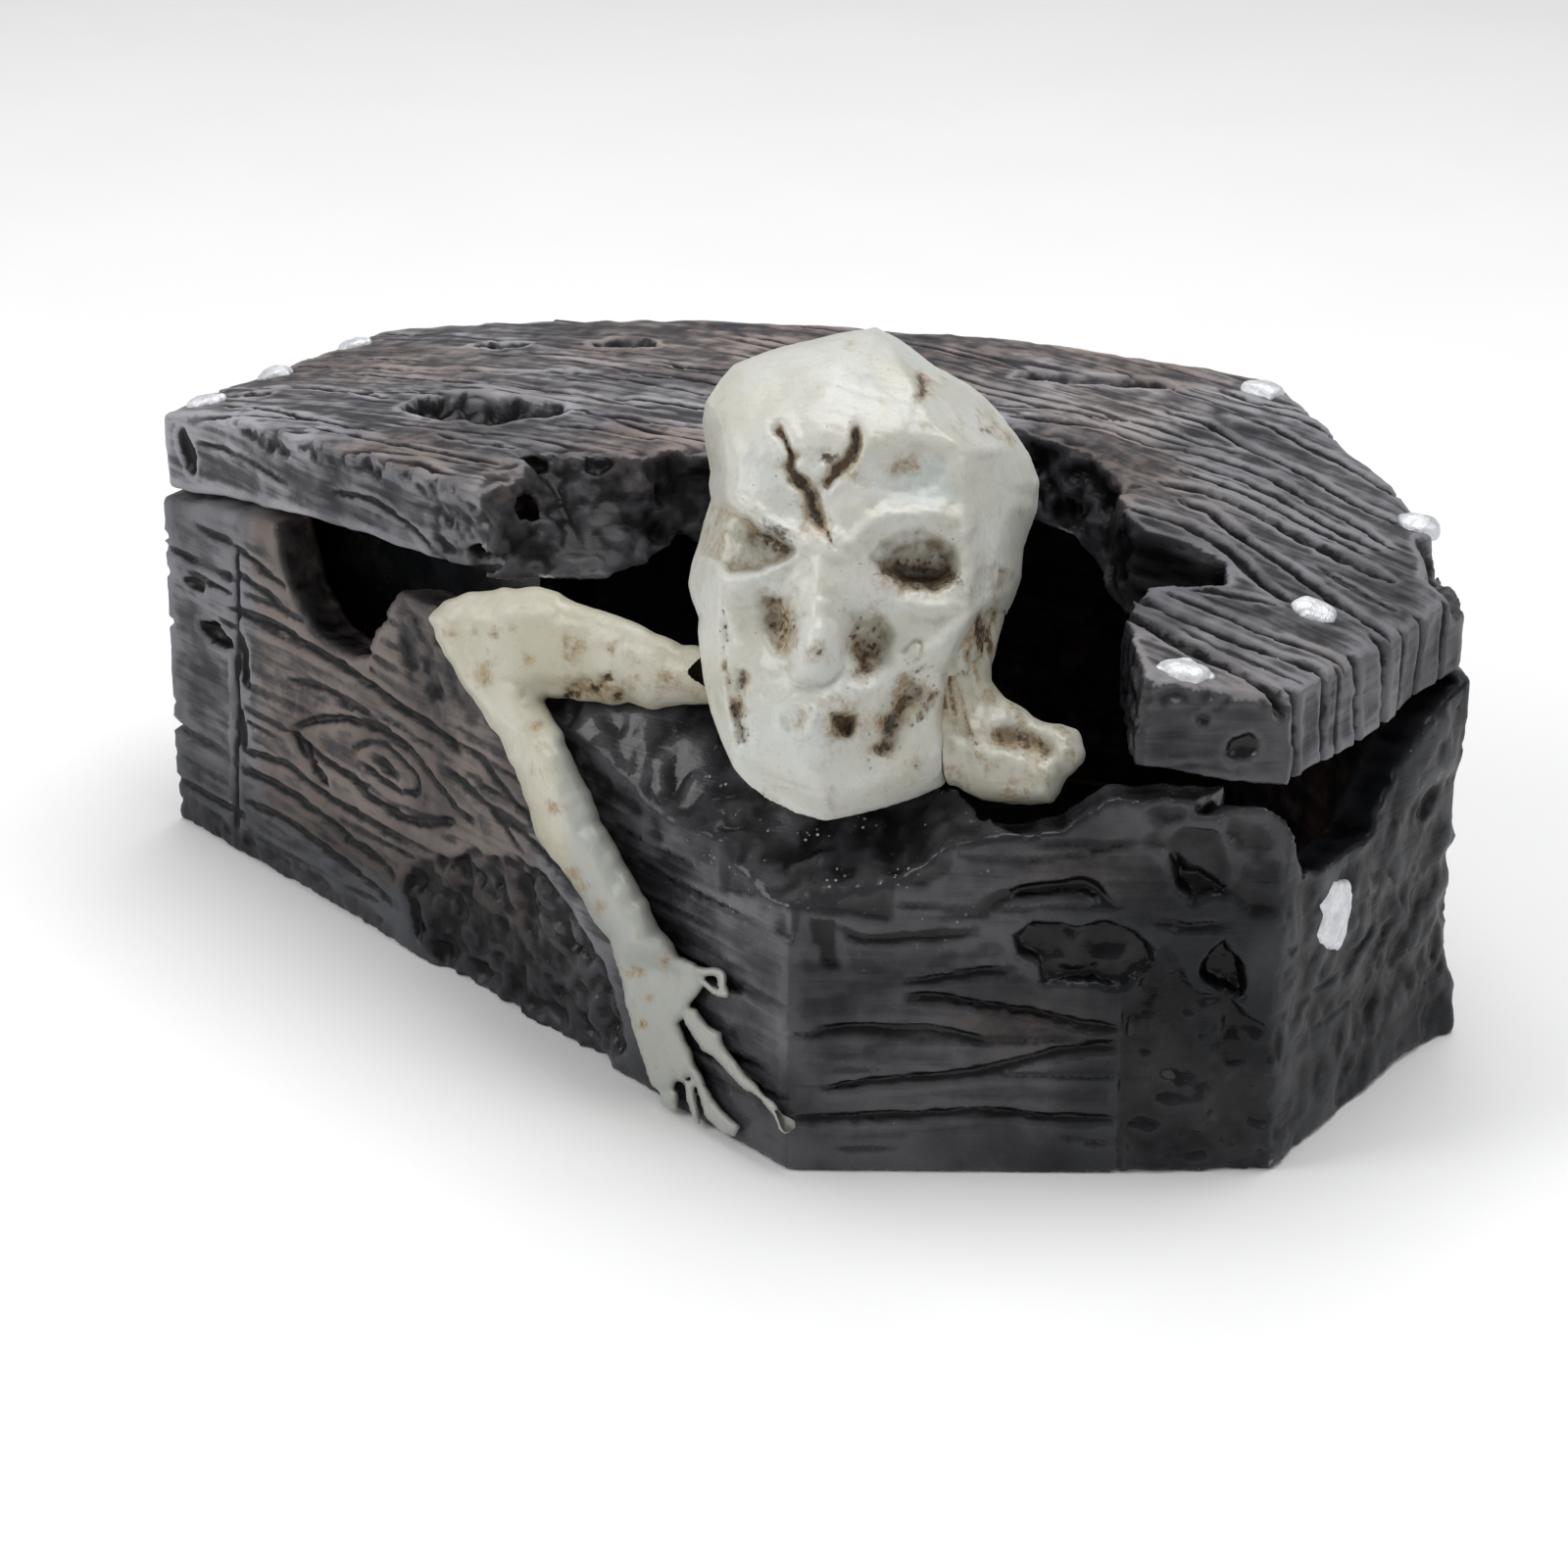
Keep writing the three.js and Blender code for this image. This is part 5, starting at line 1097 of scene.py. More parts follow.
# bridge, bulb of the nose and the hollows beside it
g, d, t = line_bump([(-3.0, 4.2), (-3.66, 0.36), (-4.18, -3.64)], 1.3)
front += 0.9 * g * t
d = np.sqrt(((U + 4.18) / 2.15) ** 2 + ((V + 6.2) / 2.9) ** 2)
front += 1.35 * np.exp(-(d ** 4) * 0.9)
front -= 0.4 * np.exp(-(((d - 1.18) / 0.14) ** 2)) * step(-2.5, -4.5, V)
stain = np.maximum(stain, 0.62 * blob(-4.0, -6.6, 1.4, 1.3))
deep = np.maximum(deep, 0.8 * blob(-3.7, -6.7, 0.4, 0.35) + 0.7 * blob(-4.9, -6.9, 0.3, 0.25))
m, e = soft_poly([(-9.3, -0.9), (-5.4, -0.9), (-5.4, -3.6), (-6.2, -7.6), (-8.2, -7.4), (-9.2, -4.6)], 1.8)
front -= 1.3 * m
stain = np.maximum(stain, 0.95 * blob(-7.0, -4.4, 1.35, 3.2, 8, 1.2))
deep = np.maximum(deep, 0.55 * blob(-7.1, -4.0, 0.9, 2.3, 8))
speck = np.maximum(speck, blob(-7.2, -3.6, 1.6, 2.6))
m, e = soft_poly([(-2.1, -2.4), (1.9, -3.0), (3.0, -5.2), (1.8, -8.2), (-0.9, -9.0), (-2.1, -6.0)], 1.8)
front -= 1.4 * m
stain = np.maximum(stain, 0.95 * blob(0.0, -6.9, 1.5, 2.2, 0, 1.2))
stain = np.maximum(stain, 0.5 * blob(0.6, -4.2, 1.8, 2.2))
deep = np.maximum(deep, 0.8 * blob(0.1, -7.4, 0.9, 1.3))
speck = np.maximum(speck, blob(0.2, -5.4, 1.8, 2.8))
g, d, t = line_bump([(3.4, -6.4), (4.3, -5.6), (4.9, -6.2), (4.3, -7.4), (3.6, -7.6)], 0.25)
front -= 0.3 * g
stain = np.maximum(stain, 0.5 * g)
# mouth: a mound ringed above, one dark hole, and a gash to each side
front += 1.1 * blob(-4.3, -11.8, 3.2, 2.7, 0, 1.6)
d = np.hypot(U + 4.4, (V + 12.2) * 1.25)
ring = np.exp(-(((d - 2.3) / 0.2) ** 2)) + 0.8 * np.exp(-(((d - 3.0) / 0.2) ** 2))
front += 0.22 * ring * step(-12.4, -10.8, V)
d = np.hypot(U + 5.6, V + 12.4)
front += 0.35 * np.exp(-(((d - 1.5) / 0.25) ** 2)) - 0.3 * step(1.5, 0.8, d)
stain = np.maximum(stain, 0.45 * step(1.6, 0.4, d))
m, e = soft_poly([(-3.3, -11.5), (-0.6, -11.4), (-0.4, -13.2), (-1.4, -14.2), (-2.9, -13.7)], 0.9)
front -= 1.8 * m
stain = np.maximum(stain, 1.0 * blob(-1.8, -12.8, 2.2, 1.8))
deep = np.maximum(deep, 1.2 * blob(-1.9, -12.7, 1.1, 0.9, 10))
for pts, w_, dp in (([(4.9, -8.7), (2.9, -11.4), (0.9, -15.4)], 0.95, 1.7), ([(-10.2, -8.0), (-10.62, -11.64), (-9.8, -15.2)], 0.6, 1.1), ([(6.4, -9.0), (5.0, -11.4), (4.4, -13.0)], 0.6, 0.6), ([(-11.9, -3.0), (-11.6, -8.0), (-10.4, -14.6)], 0.35, 0.5)):
    g, d, t = line_bump(pts, w_)
    front -= dp * g * t
    wv = np.clip(0.75 + 0.9 * noise(U0 * 0.8, V0 * 0.8, 0 * U0, 66), 0, 1.5)
    stain = np.maximum(stain, min(1.0, dp) * np.exp(-((d / (w_ * 1.7)) ** 2)) * t * wv)
    deep = np.maximum(deep, 0.9 * min(1, dp) * np.exp(-((d / (w_ * 0.6)) ** 2)) * t * wv)
    speck = np.maximum(speck, 0.7 * np.exp(-((d / (w_ * 2.2)) ** 2)))
# the cheekbone runs out and down; the temple has a sharp edge
g, d, t = line_bump([(-1.4, -10.2), (1.0, -9.4), (3.6, -7.7), (6.8, -5.6), (9.2, -3.0)], 0.95)
front += 0.8 * g * t
g, d, t = line_bump([(8.6, 10.4), (8.9, 6.08), (9.0, 2.08), (8.9, -2.6)], 0.55)
front += 0.45 * g * t
g, d, t = line_bump([(8.6, 10.2), (11.6, 10.6), (14.2, 10.4)], 0.5)
front += 0.3 * g * t
g, d, t = line_bump([(1.3, 20.4), (4.6, 15.6), (8.6, 10.4)], 0.5)
front += 0.25 * g * t
# recess over the right brow, its pale ochre, and the boss between the brows
front -= 1.1 * blob(4.0, 8.2, 3.4, 2.5, 0, 1.4)
stain = np.maximum(stain, 0.72 * blob(3.4, 9.2, 1.9, 1.2, 0, 1.6))
front += 0.4 * blob(-0.7, 5.8, 1.5, 2.4)
cool = np.maximum(cool, 0.9 * blob(5.2, 7.6, 4.0, 3.0))
# forked crack of the forehead
for pts, w_ in (([(-7.2, 12.9), (-6.2, 10.4), (-6.1, 9.0), (-4.9, 7.0), (-3.9, 4.6), (-2.6, 2.2)], 0.62), ([(-0.2, 12.9), (-1.0, 10.6), (-2.4, 8.9), (-3.9, 7.2)], 0.55)):
    g, d, t = line_bump(pts, w_)
    wv = np.clip(0.85 + 0.75 * noise(U0 * 0.9, V0 * 0.9, 0 * U0, 67), 0.15, 1.6)
    front -= 1.0 * np.exp(-((d / (w_ * wv)) ** 2)) * t
    front += 0.2 * np.exp(-(((d - 1.0) / 0.35) ** 2)) * t
    stain = np.maximum(stain, 1.0 * np.exp(-((d / (1.0 * wv)) ** 2)) * t)
    deep = np.maximum(deep, 0.95 * np.exp(-((d / (0.42 * wv)) ** 2)) * t)
stain = np.maximum(stain, 1.0 * blob(-5.0, 6.4, 1.3, 0.9, -30))
stain = np.maximum(stain, 0.9 * blob(-3.6, 4.4, 1.0, 1.8, 12))
deep = np.maximum(deep, 1.1 * blob(-3.0, 9.9, 0.7, 0.5))
front -= 0.5 * blob(-3.0, 9.9, 0.6, 0.5)
g, d, t = line_bump([(4.53, 17.5), (5.0, 15.5), (4.53, 14.0)], 0.5)
front -= 0.8 * g * t
stain = np.maximum(stain, 1.0 * np.exp(-((d / 0.85) ** 2)) * t)
deep = np.maximum(deep, 0.9 * np.exp(-((d / 0.36) ** 2)) * t)
# rough worn patches
for u, v, ru, rv, an, amp, st_ in ((11.0, -0.6, 2.0, 1.7, 0, 0.7, 0.95), (10.9, 12.6, 2.6, 1.0, -42, 0.45, 0.8), (-2.6, -18.8, 0.8, 1.2, 0, 0.2, 0.7), (4.6, -16.2, 1.6, 1.3, 20, 0.3, 0.75), (7.4, -16.0, 1.1, 1.0, 0, 0.3, 0.9),
                                   (-12.9, 10.8, 0.8, 2.4, 0, 0.15, 0.5), (3.6, 13.4, 0.9, 0.6, 0, 0.1, 0.7), (-9.8, 1.6, 1.0, 0.8, 0, 0.1, 0.5), (-3.0, -15.6, 1.5, 0.8, 30, 0.1, 0.5)):
    m = blob(u, v, ru, rv, an, 1.6)
    n = fbm(U0 * 1.5, V0 * 1.1, 0 * U0, 2, 0.5, 71)
    front += amp * m * (n - 0.3)
    stain = np.maximum(stain, m * np.clip(0.62 + 0.9 * n, 0, 1) * st_)
    deep = np.maximum(deep, m * step(0.1, 0.5, n) * 0.8 * (amp > 0.25))
# streaked neck behind the jaw
st = noise((U0 * 1.3 + V0 * 0.28), V0 * 0.22, 0 * U0, 87) + 0.4 * noise(U0 * 2.6, V0 * 0.5, 0 * U0, 88)
front = front + 0.4 * st * back_of_jaw
stain = np.maximum(stain, back_of_jaw * np.clip(0.5 + 0.9 * st, 0, 1))
deep = np.maximum(deep, back_of_jaw * step(0.2, 0.75, st) * 0.85)
# honeycomb pores where the paint was dabbed
pore = step(0.42, 0.22, cells(U0 * 1.75, V0 * 1.75, 0 * U0 + 0.5, 9))
front -= 0.25 * pore * speck
deep = np.maximum(deep, 1.0 * pore * step(0.25, 0.8, speck))
# uneven hand-made surface and faint tool marks
front += (0.34 * fbm(U0 * 0.3, V0 * 0.3, 0 * U0, 3, 0.5, 73) + 0.07 * fbm(U0 * 1.4, V0 * 1.0, 0 * U0, 2, 0.5, 74)).astype(F32)
scr = noise(U0 * 0.5 + V0 * 1.6, U0 * 0.2 - V0 * 0.1, 0 * U0, 75)
front -= 0.09 * step(0.45, 0.7, scr)
mott = np.clip(fbm(U0 * 0.42, V0 * 0.42, 0 * U0, 3, 0.6, 76) * 1.8 - 0.3, 0, 1)
stain = np.maximum(stain, 0.36 * mott)
cool = np.maximum(cool, np.clip(0.5 + 0.8 * fbm(U0 * 0.18, V0 * 0.18, 0 * U0, 2, 0.5, 78), 0, 1) * 0.6)
U, V = U0, V0
face.front = front.astype(F32)
SKULL_MARKS = {"stain": stain.copy(), "deep": deep.copy(), "cool": cool.copy()}
# the back of the skull, from the same outline
mid_z = np.interp(V, [-21, -18, -14, -8, 0, 8, 14, 21], [7.4, 6.2, 4.6, 1.6, -0.6, -2.2, -2.4, -2.6]).astype(F32)
back_z = np.interp(V, [-21, -18, -14, -9, -3, 4, 10, 15, 18.5, 21], [5.6, 2.6, 0.2, -6.0, -11.5, -14.8, -15.6, -14.6, -11.6, -7.0]).astype(F32)
lean = np.clip((U + 2) / 14, -1, 1)
mid_z = mid_z - 2.2 * np.clip(lean, 0, 1) + 1.8 * np.clip(-lean, 0, 1)
q_front = np.sqrt(np.clip(1 - (1 - np.clip(edge_in / 2.6, 0, 1)) ** 2, 0, 1))
q_back = np.sqrt(np.clip(1 - (1 - np.clip(edge_in / 9.0, 0, 1)) ** 2, 0, 1))
face.zf = (mid_z + (face.front - mid_z) * q_front).astype(F32)
face.zb = (mid_z + (back_z - mid_z) * q_back).astype(F32)
for nm in ("zf", "zb"):
    g0, g1 = np.gradient(getattr(face, nm), face.res)
    setattr(face, "s" + nm, (1 / np.sqrt(1 + np.minimum(g0 * g0 + g1 * g1, 30))).astype(F32))


def skull_field(x, y, z, frame=FACE):
    X, Y, Z = frame.local(x, y, z)
    u, v = frame.flat(X, Y, Z)
    e = face.sample(face.edge, u, v)
    zf = face.sample(face.zf, u, v)
    zb = face.sample(face.zb, u, v)
    d = np.maximum((Z - zf) * face.sample(face.szf, u, v), (zb - Z) * face.sample(face.szb, u, v))
    d = np.maximum(d, -e)
    back = step(2, -4, Z)
    rough = 0.35 * fbm(x * F32(0.3), y * F32(0.3), z * F32(0.3), 3, 0.5, 81) * back
    return np.maximum(d + rough, F32(0.04) - neck_solid(x, y, z))


def bone_object(name, fr, lo, hi, h, fn, limit=150000):
    """a bone sampled in its own frame, so that its face follows the sampling grid"""
    ax = grid_axes(lo, hi, h)
    X, Y, Z = np.meshgrid(*ax, indexing="ij")
    w = [fr.o[i] + X * ACROSS[i] + Y * UPWARD[i] + Z * OUTWARD[i] for i in range(3)]
    d = fn(w[0].astype(F32), w[1].astype(F32), w[2].astype(F32)).astype(F32)
    v, f = surface(d, [a[0] for a in ax], h)
    v, f = largest(v, f)
    ob = make_object(name, fr.world(v[:, 0], v[:, 1], v[:, 2]), f)
    return decimated(ob, limit)


H_BONE = 0.26

# ---- neck and collarbone
COLLAR = [(12.0, -2.6), (11.6, -4.6), (10.9, -7.5), (10.75, -9.07), (11.82, -10.5), (13.39, -11.21), (14.96, -12.5), (16.54, -12.64), (18.11, -13.21), (18.68, -14.78), (18.54, -15.93), (17.11, -17.21), (16.54, -18.5), (15.97, -19.5), (14.11, -19.64), (11.54, -19.21), (9.82, -19.07), (7.82, -17.93), (4.5, -17.6), (1.5, -15.6), (1.5, -9.0), (5.0, -3.0), (9.0, -1.0), (11.4, -1.2)]
neckp = Relief(-4, 24, -24, 2, 0.14, 260)
U, V = neckp.U, neckp.V
edge_in = -poly_distance(COLLAR, U + 0.18 * noise(U * 1.2, V * 1.2, 0 * U, 84), V + 0.18 * noise(U * 1.2, V * 1.2, 0 * U + 3, 85))
neckp.edge = edge_in.astype(F32)
centre = np.interp(V, [-20, -15, -11, -6, 0], [4.4, 4.4, 2.6, 0.2, -4.0]) + 0.1 * np.clip(U - 10, 0, 9)
thick = np.sqrt(np.clip(edge_in * (2 * 3.6 - edge_in), 0, 3.6**2)) * 0.95 + 0.25
zf = centre + thick
own = np.interp(V, [-19, -16, -12, -8, -4, -1], [7.2, 7.6, 7.6, 7.4, 6.6, 5.0]) - 0.5 * np.clip(U - 6.5, 0, 9)
zf = np.where(U < 12.5, smax(zf, own * step(13.5, 9.5, U) + zf * (1 - step(13.5, 9.5, U)), 0.6), zf)
zf = np.minimum(zf, centre + 0.25 + 3.2 * np.sqrt(np.clip(edge_in, 0, 9)))
# downward striations of the neck and the recess in the collarbone
g, d, t = line_bump([(10.4, -13.6), (12.4, -13.9), (14.6, -14.6), (16.2, -15.8)], 0.95)
zf = zf - 1.7 * g * t
rec = np.exp(-((d / 1.1) ** 2)) * t
g, d, t = line_bump([(11.8, -10.7), (14.96, -12.9), (18.0, -13.7)], 0.7)
zf = zf + 0.5 * g * t
g2, d2, t2 = line_bump([(10.4, -18.4), (13.8, -18.6), (16.2, -18.2)], 0.8)
zf = zf + 0.4 * g2 * t2
st = noise((U * 1.25 + V * 0.3), V * 0.2 - U * 0.05, 0 * U, 87) + 0.45 * noise((U * 2.5 + V * 0.6), V * 0.4, 0 * U, 187)
onneck = np.maximum(step(-16.5, -11.5, V) * step(14, 9.5, U), 0.45)
zf = zf + 0.5 * st * onneck + 0.45 * fbm(U * 0.7, V * 0.7, 0 * U, 4, 0.55, 88)
neckp.zf = zf.astype(F32)
neckp.zb = (centre - thick).astype(F32)
neckp.stain = np.maximum(np.clip(1.1 * onneck * step(-0.25, 0.5, st), 0, 1), np.maximum(rec, 0.6 * np.clip(fbm(U * 0.6, V * 0.6, 0 * U, 3, 0.6, 89) * 2 + 0.2, 0, 1))).astype(F32)
neckp.deep = np.maximum(0.75 * rec * step(-0.2, 0.3, st + 0.2), 0.95 * onneck * step(0.15, 0.6, st)).astype(F32)


def wall_gap(x, y, z, gap):
    """distance out of the coffin's front walls, so that bones rest on them and never in them"""
    best = np.full(x.shape, -9.0, F32)
    flat = None
    for w in WALLS:
        o = w.off(x, y) - F32(0.01 * w.reach) * (1 - z / 45)
        flat = o if flat is None else np.maximum(flat, o)
    for w in WALLS[:3]:
        r = reliefs[w.name]
        s = w.s(x, y)
        off = w.off(x, y)
        hd = r.sample(hole_maps[w.name], s, z)
        # solid wall: inside its plane, not in the hole, within its thickness
        wallf = np.maximum(np.maximum(flat, -off - WALL), -hd)
        wallf = np.where((s > -8) & (s < w.len + 8), wallf, 9.0)
        best = np.maximum(best, gap - wallf)
    return best


def jaw_line(v):
    return np.interp(v, [-20, -17, -13, -8.5, -5.5, -3.0, -1.5], [7.6, 6.4, 5.8, 6.2, 7.6, 9.3, 12.0]).astype(F32)


def neck_solid(x, y, z):
    X, Y, Z = FACE.local(x, y, z)
    u, v = FACE.flat(X, Y, Z)
    e = neckp.sample(neckp.edge, u, v)
    zf = neckp.sample(neckp.zf, u, v)
    zb = neckp.sample(neckp.zb, u, v)
    d = np.maximum(np.maximum(Z - zf, zb - Z) * 0.75, -e)
    return smax(d, jaw_line(v) + F32(0.35) - u, 0.3)


def neck_field(x, y, z):
    return smax(neck_solid(x, y, z), wall_gap(x, y, z, 0.42), 0.3)


skull = bone_object("skull_cast", FACE, (-17, -23, -18), (17, 23, 18), H_BONE, skull_field)
neck = bone_object("neck_and_collarbone_cast", FACE, (-2, -22, -10), (22, 0, 13), H_BONE, neck_field, 60000)

# ---- arm and hand
ARM_OUT = [(-13.0, 14.4), (-12.49, 15.24), (-11.14, 16.26), (-9.45, 16.83), (-6.75, 17.03), (-3.71, 17.17), (-1.69, 16.7), (0.0, 15.92), (2.37, 15.08), (4.39, 14.23), (6.08, 13.45), (7.43, 12.98), (9.12, 12.2), (10.3, 11.93), (14.5, 11.5), (14.5, 7.2), (10.64, 7.04), (9.12, 6.9), (7.09, 6.63), (6.08, 6.46), (5.24, 6.8), (4.39, 7.14), (3.04, 6.9), (1.69, 7.14), (0.34, 7.31), (-1.35, 7.38), (-2.7, 7.44), (-3.05, 7.1), (-2.6, 6.4), (-1.86, 5.28), (-1.01, 3.59), (0.0, 1.23), (0.85, -0.46), (2.03, -3.16), (3.38, -5.53), (4.73, -7.89), (6.08, -10.25), (7.09, -12.62), (8.45, -13.97), (8.78, -14.98), (10.13, -15.49), (10.64, -16.16), (10.9, -17.6), (10.3, -18.7), (9.8, -19.37), (9.29, -20.22), (8.78, -20.89), (9.12, -21.57), (9.63, -22.75), (10.64, -25.11), (11.82, -27.48), (13.17, -29.17), (14.12, -29.84), (13.68, -31.02), (12.5, -30.52), (11.15, -29.17), (10.3, -26.8), (9.63, -25.45), (9.12, -25.96), (8.61, -25.79), (8.45, -26.97), (7.09, -26.97), (6.25, -26.46), (5.74, -24.78), (4.73, -21.74), (3.99, -19.03), (3.72, -17.01), (2.7, -13.63), (1.35, -11.94), (0.0, -9.58), (-1.01, -7.89), (-2.36, -6.2), (-3.71, -4.51), (-4.39, -2.15), (-5.57, 1.23), (-6.75, 3.59), (-7.77, 5.28), (-9.12, 7.31), (-10.47, 9.0), (-11.31, 11.02), (-12.49, 12.71)]
INDEX = [(9.0, -19.4), (10.3, -19.5), (11.49, -21.2), (12.6, -21.6), (12.7, -22.5), (13.61, -24.0), (14.62, -25.3), (15.64, -26.2), (16.3, -27.2), (17.2, -27.7), (17.7, -28.8), (18.9, -29.4), (18.8, -30.0), (18.07, -30.6), (17.5, -30.2), (16.9, -28.9), (16.2, -28.0), (15.2, -27.0), (13.85, -26.3), (12.74, -24.9), (11.72, -23.86), (10.71, -23.2), (9.87, -21.84), (9.1, -20.9)]
LITTLE = [(7.0, -26.6), (8.8, -26.6), (8.95, -27.6), (8.8, -29.0), (8.5, -29.7), (7.5, -29.5), (7.03, -28.3)]
RING = [(9.1, -25.6), (9.9, -25.8), (10.3, -27.4), (10.7, -28.8), (10.95, -30.4), (10.4, -30.7), (9.8, -29.2), (9.3, -27.4)]
LOOP = [(10.2, -16.2), (11.1, -16.4), (11.9, -16.35), (12.55, -16.7), (12.5, -17.4), (12.85, -18.3)]
armp = Relief(-15, 21, -34, 19, 0.14, 280)
U, V = armp.U, armp.V
wu = U + 0.16 * noise(U * 0.9, V * 0.9, 0 * U, 91)
wv = V + 0.16 * noise(U * 0.9, V * 0.9, 0 * U + 6, 92)
edge_in = -poly_distance(ARM_OUT, wu, wv)
hand = step(-13.5, -16.5, V)
for poly in (INDEX, LITTLE, RING):
    edge_in = np.maximum(edge_in, -poly_distance(poly, wu, wv))
dl, al, wall_light_level = line_distance(smooth_line(LOOP, 0.3), U, V)
edge_in = np.maximum(edge_in, 0.42 - dl)
dl, al, wall_light_level = line_distance(smooth_line([(10.3, -16.6), (11.3, -17.6), (12.1, -18.2), (12.8, -18.3)], 0.3), U, V)
edge_in = np.maximum(edge_in, 0.36 - dl)
armp.edge = edge_in.astype(F32)
# a ridge along the bones; the hand is low and nearly flat
wmax = 4.2 - 3.0 * hand
thick = np.sqrt(np.clip(np.minimum(edge_in, wmax) * (2 * wmax - np.minimum(edge_in, wmax)), 0, None))
thick = thick * (0.92 - 0.12 * hand)
relief = 0.42 * fbm(U * 0.4, V * 0.4, 0 * U, 3, 0.55, 93) + 0.16 * fbm(U * 1.3, V * 1.3, 0 * U, 3, 0.55, 94)
tend = np.zeros(U.shape, F32)
for pts, w_, hgt in (([(6.0, -16.0), (9.2, -19.6)], 0.7, 0.35), ([(5.4, -16.6), (8.2, -21.2), (10.2, -25.4)], 0.6, 0.4), ([(5.0, -17.2), (6.6, -21.5), (8.4, -25.8)], 0.55, 0.4), ([(4.6, -17.8), (5.8, -22.0), (7.2, -26.4)], 0.5, 0.35), ([(8.2, -15.2), (10.6, -16.4)], 0.55, 0.3)):
    g, d, t = line_bump(pts, w_)
    tend = np.maximum(tend, g * hgt)
    tend = tend - 0.12 * np.exp(-(((d - 1.1) / 0.35) ** 2)) * hand
relief = relief * (1 - 0.5 * hand) + tend
stain = np.zeros(U.shape, F32)
deep = np.zeros(U.shape, F32)
for u, v, rr in ((-9.45, 13.05, 0.8), (-7.16, 13.12, 0.6), (-8.27, 9.67, 1.1), (-3.71, 4.94, 0.7), (-0.67, -7.89, 0.9), (0.3, -9.24, 0.9), (1.86, -10.93, 0.8), (4.9, -16.33, 0.8), (-0.34, 11.87, 1.2), (-11.14, 13.05, 0.7), (7.6, 9.0, 0.9),
                 (-5.6, 13.4, 0.5), (-4.2, 10.8, 0.7), (5.6, 9.2, 0.8), (-2.2, -2.0, 0.8), (-3.4, 1.2, 0.8), (6.2, -18.6, 0.5), (5.6, -20.9, 0.5), (-5.0, 7.4, 0.8), (2.8, 11.8, 0.8), (7.6, -15.6, 0.45)):
    b = blob(u, v, rr, rr)
    b = b * np.clip(1 + 0.9 * noise(U * 1.3, V * 1.3, 0 * U, 95), 0, 2)
    stain = np.maximum(stain, 0.85 * b)
    deep = np.maximum(deep, 0.6 * blob(u, v, rr * 0.35, rr * 0.35) * step(-0.2, 0.5, noise(U * 2.4, V * 2.4, 0 * U, 96)))
    relief = relief - 0.22 * blob(u, v, rr * 0.5, rr * 0.5)
m, e = soft_poly([(-1.9, 7.3), (-1.2, 8.6), (0.3, 9.8), (1.6, 9.2), (2.7, 10.2), (4.2, 8.8), (4.6, 7.0), (2.4, 6.6), (-0.4, 7.1)], 0.6, 0.6)
n = fbm(U * 1.1, V * 1.1, 0 * U, 3, 0.55, 97)
relief = relief - m * (0.9 + 1.6 * np.clip(n, -0.3, 1))
rust = m * np.clip(0.8 + 0.8 * n, 0, 1)
stain = np.maximum(stain, rust)
deep = np.maximum(deep, m * step(-0.05, 0.35, n) * 0.95)
under = np.exp(-(((V - (8.6 + 0.0 * U)) / 2.4) ** 2)) * step(-4, 0, U) * 0.5
stain = np.maximum(stain, under * np.clip(0.5 + noise(U * 0.8, V * 0.8, 0 * U, 98), 0, 1))
stain = np.maximum(stain, 0.35 * np.clip(fbm(U * 0.35, V * 0.35, 0 * U, 3, 0.6, 99) * 2 - 0.1, 0, 1))
armp.stain, armp.deep = stain.astype(F32), deep.astype(F32)
armp.relief, armp.thick = relief.astype(F32), thick.astype(F32)
# painted shade: the right-hand side of the forearm painted bluish grey where it turns from the light
armp.cool = 0.8 * np.clip(step(-0.6, 3.2, (U - (-4.4 + 0.62 * (1 - (V + 20) / 25) * 10 * 0.62))) * step(6.5, 3.5, V), 0, 1).astype(F32)
fw = WALLS[0]


def arm_field(x, y, z):
    X, Y, Z = ARM.local(x, y, z)
    u, v = ARM.flat(X, Y, Z)
    e = armp.sample(armp.edge, u, v)
    th = armp.sample(armp.thick, u, v)
    rel = armp.sample(armp.relief, u, v)
    s = fw.s(x, y)
    off = fw.off(x, y) - F32(0.01 * fw.reach) * (1 - z / 45)
    upper = step(31.5, 35.0, z + 0.0) * step(50, 54, s)
    centre = 1.05 + upper * (0.6 - 0.25 * np.clip(s - 51, 0, 40) - 1.05)
    low = step(20, 14, z)
    centre = centre - 0.75 * low
    d = np.abs(off - centre) - th * (1.0 - 0.12 * upper) - 0.3 * rel - 0.15
    d = smax(d * 0.8, -e, 0.25)
    d = smax(d, wall_gap(x, y, z, 0.38), 0.2)
    d = np.maximum(d, 0.36 - z)
    d = np.maximum(d, 0.1 - skull_field(x, y, z))
    return d


arm = bone_object("arm_and_hand_cast", ARM, (-15, -33, -16), (20, 19, 9), H_BONE, arm_field, 120000)

# ------------------------------------------------------------------ the base, with the lumpy ledge that the bones lie on
ledge_front = [(46, 37.2), (52.6, 33.9), (61.2, 31.3), (70.2, 29.8), (77.3, 27.2), (85.8, 27.6), (90.7, 24.9), (100, 24.6), (112, 24.2)]
ledge_side = [(-20, 24.0), (-2, 24.2), (0.7, 26.0), (5.2, 26.6), (8.1, 26.8), (11.3, 28.6), (12.8, 30.4), (16.4, 32.2), (22, 33.4), (30, 34.0)]


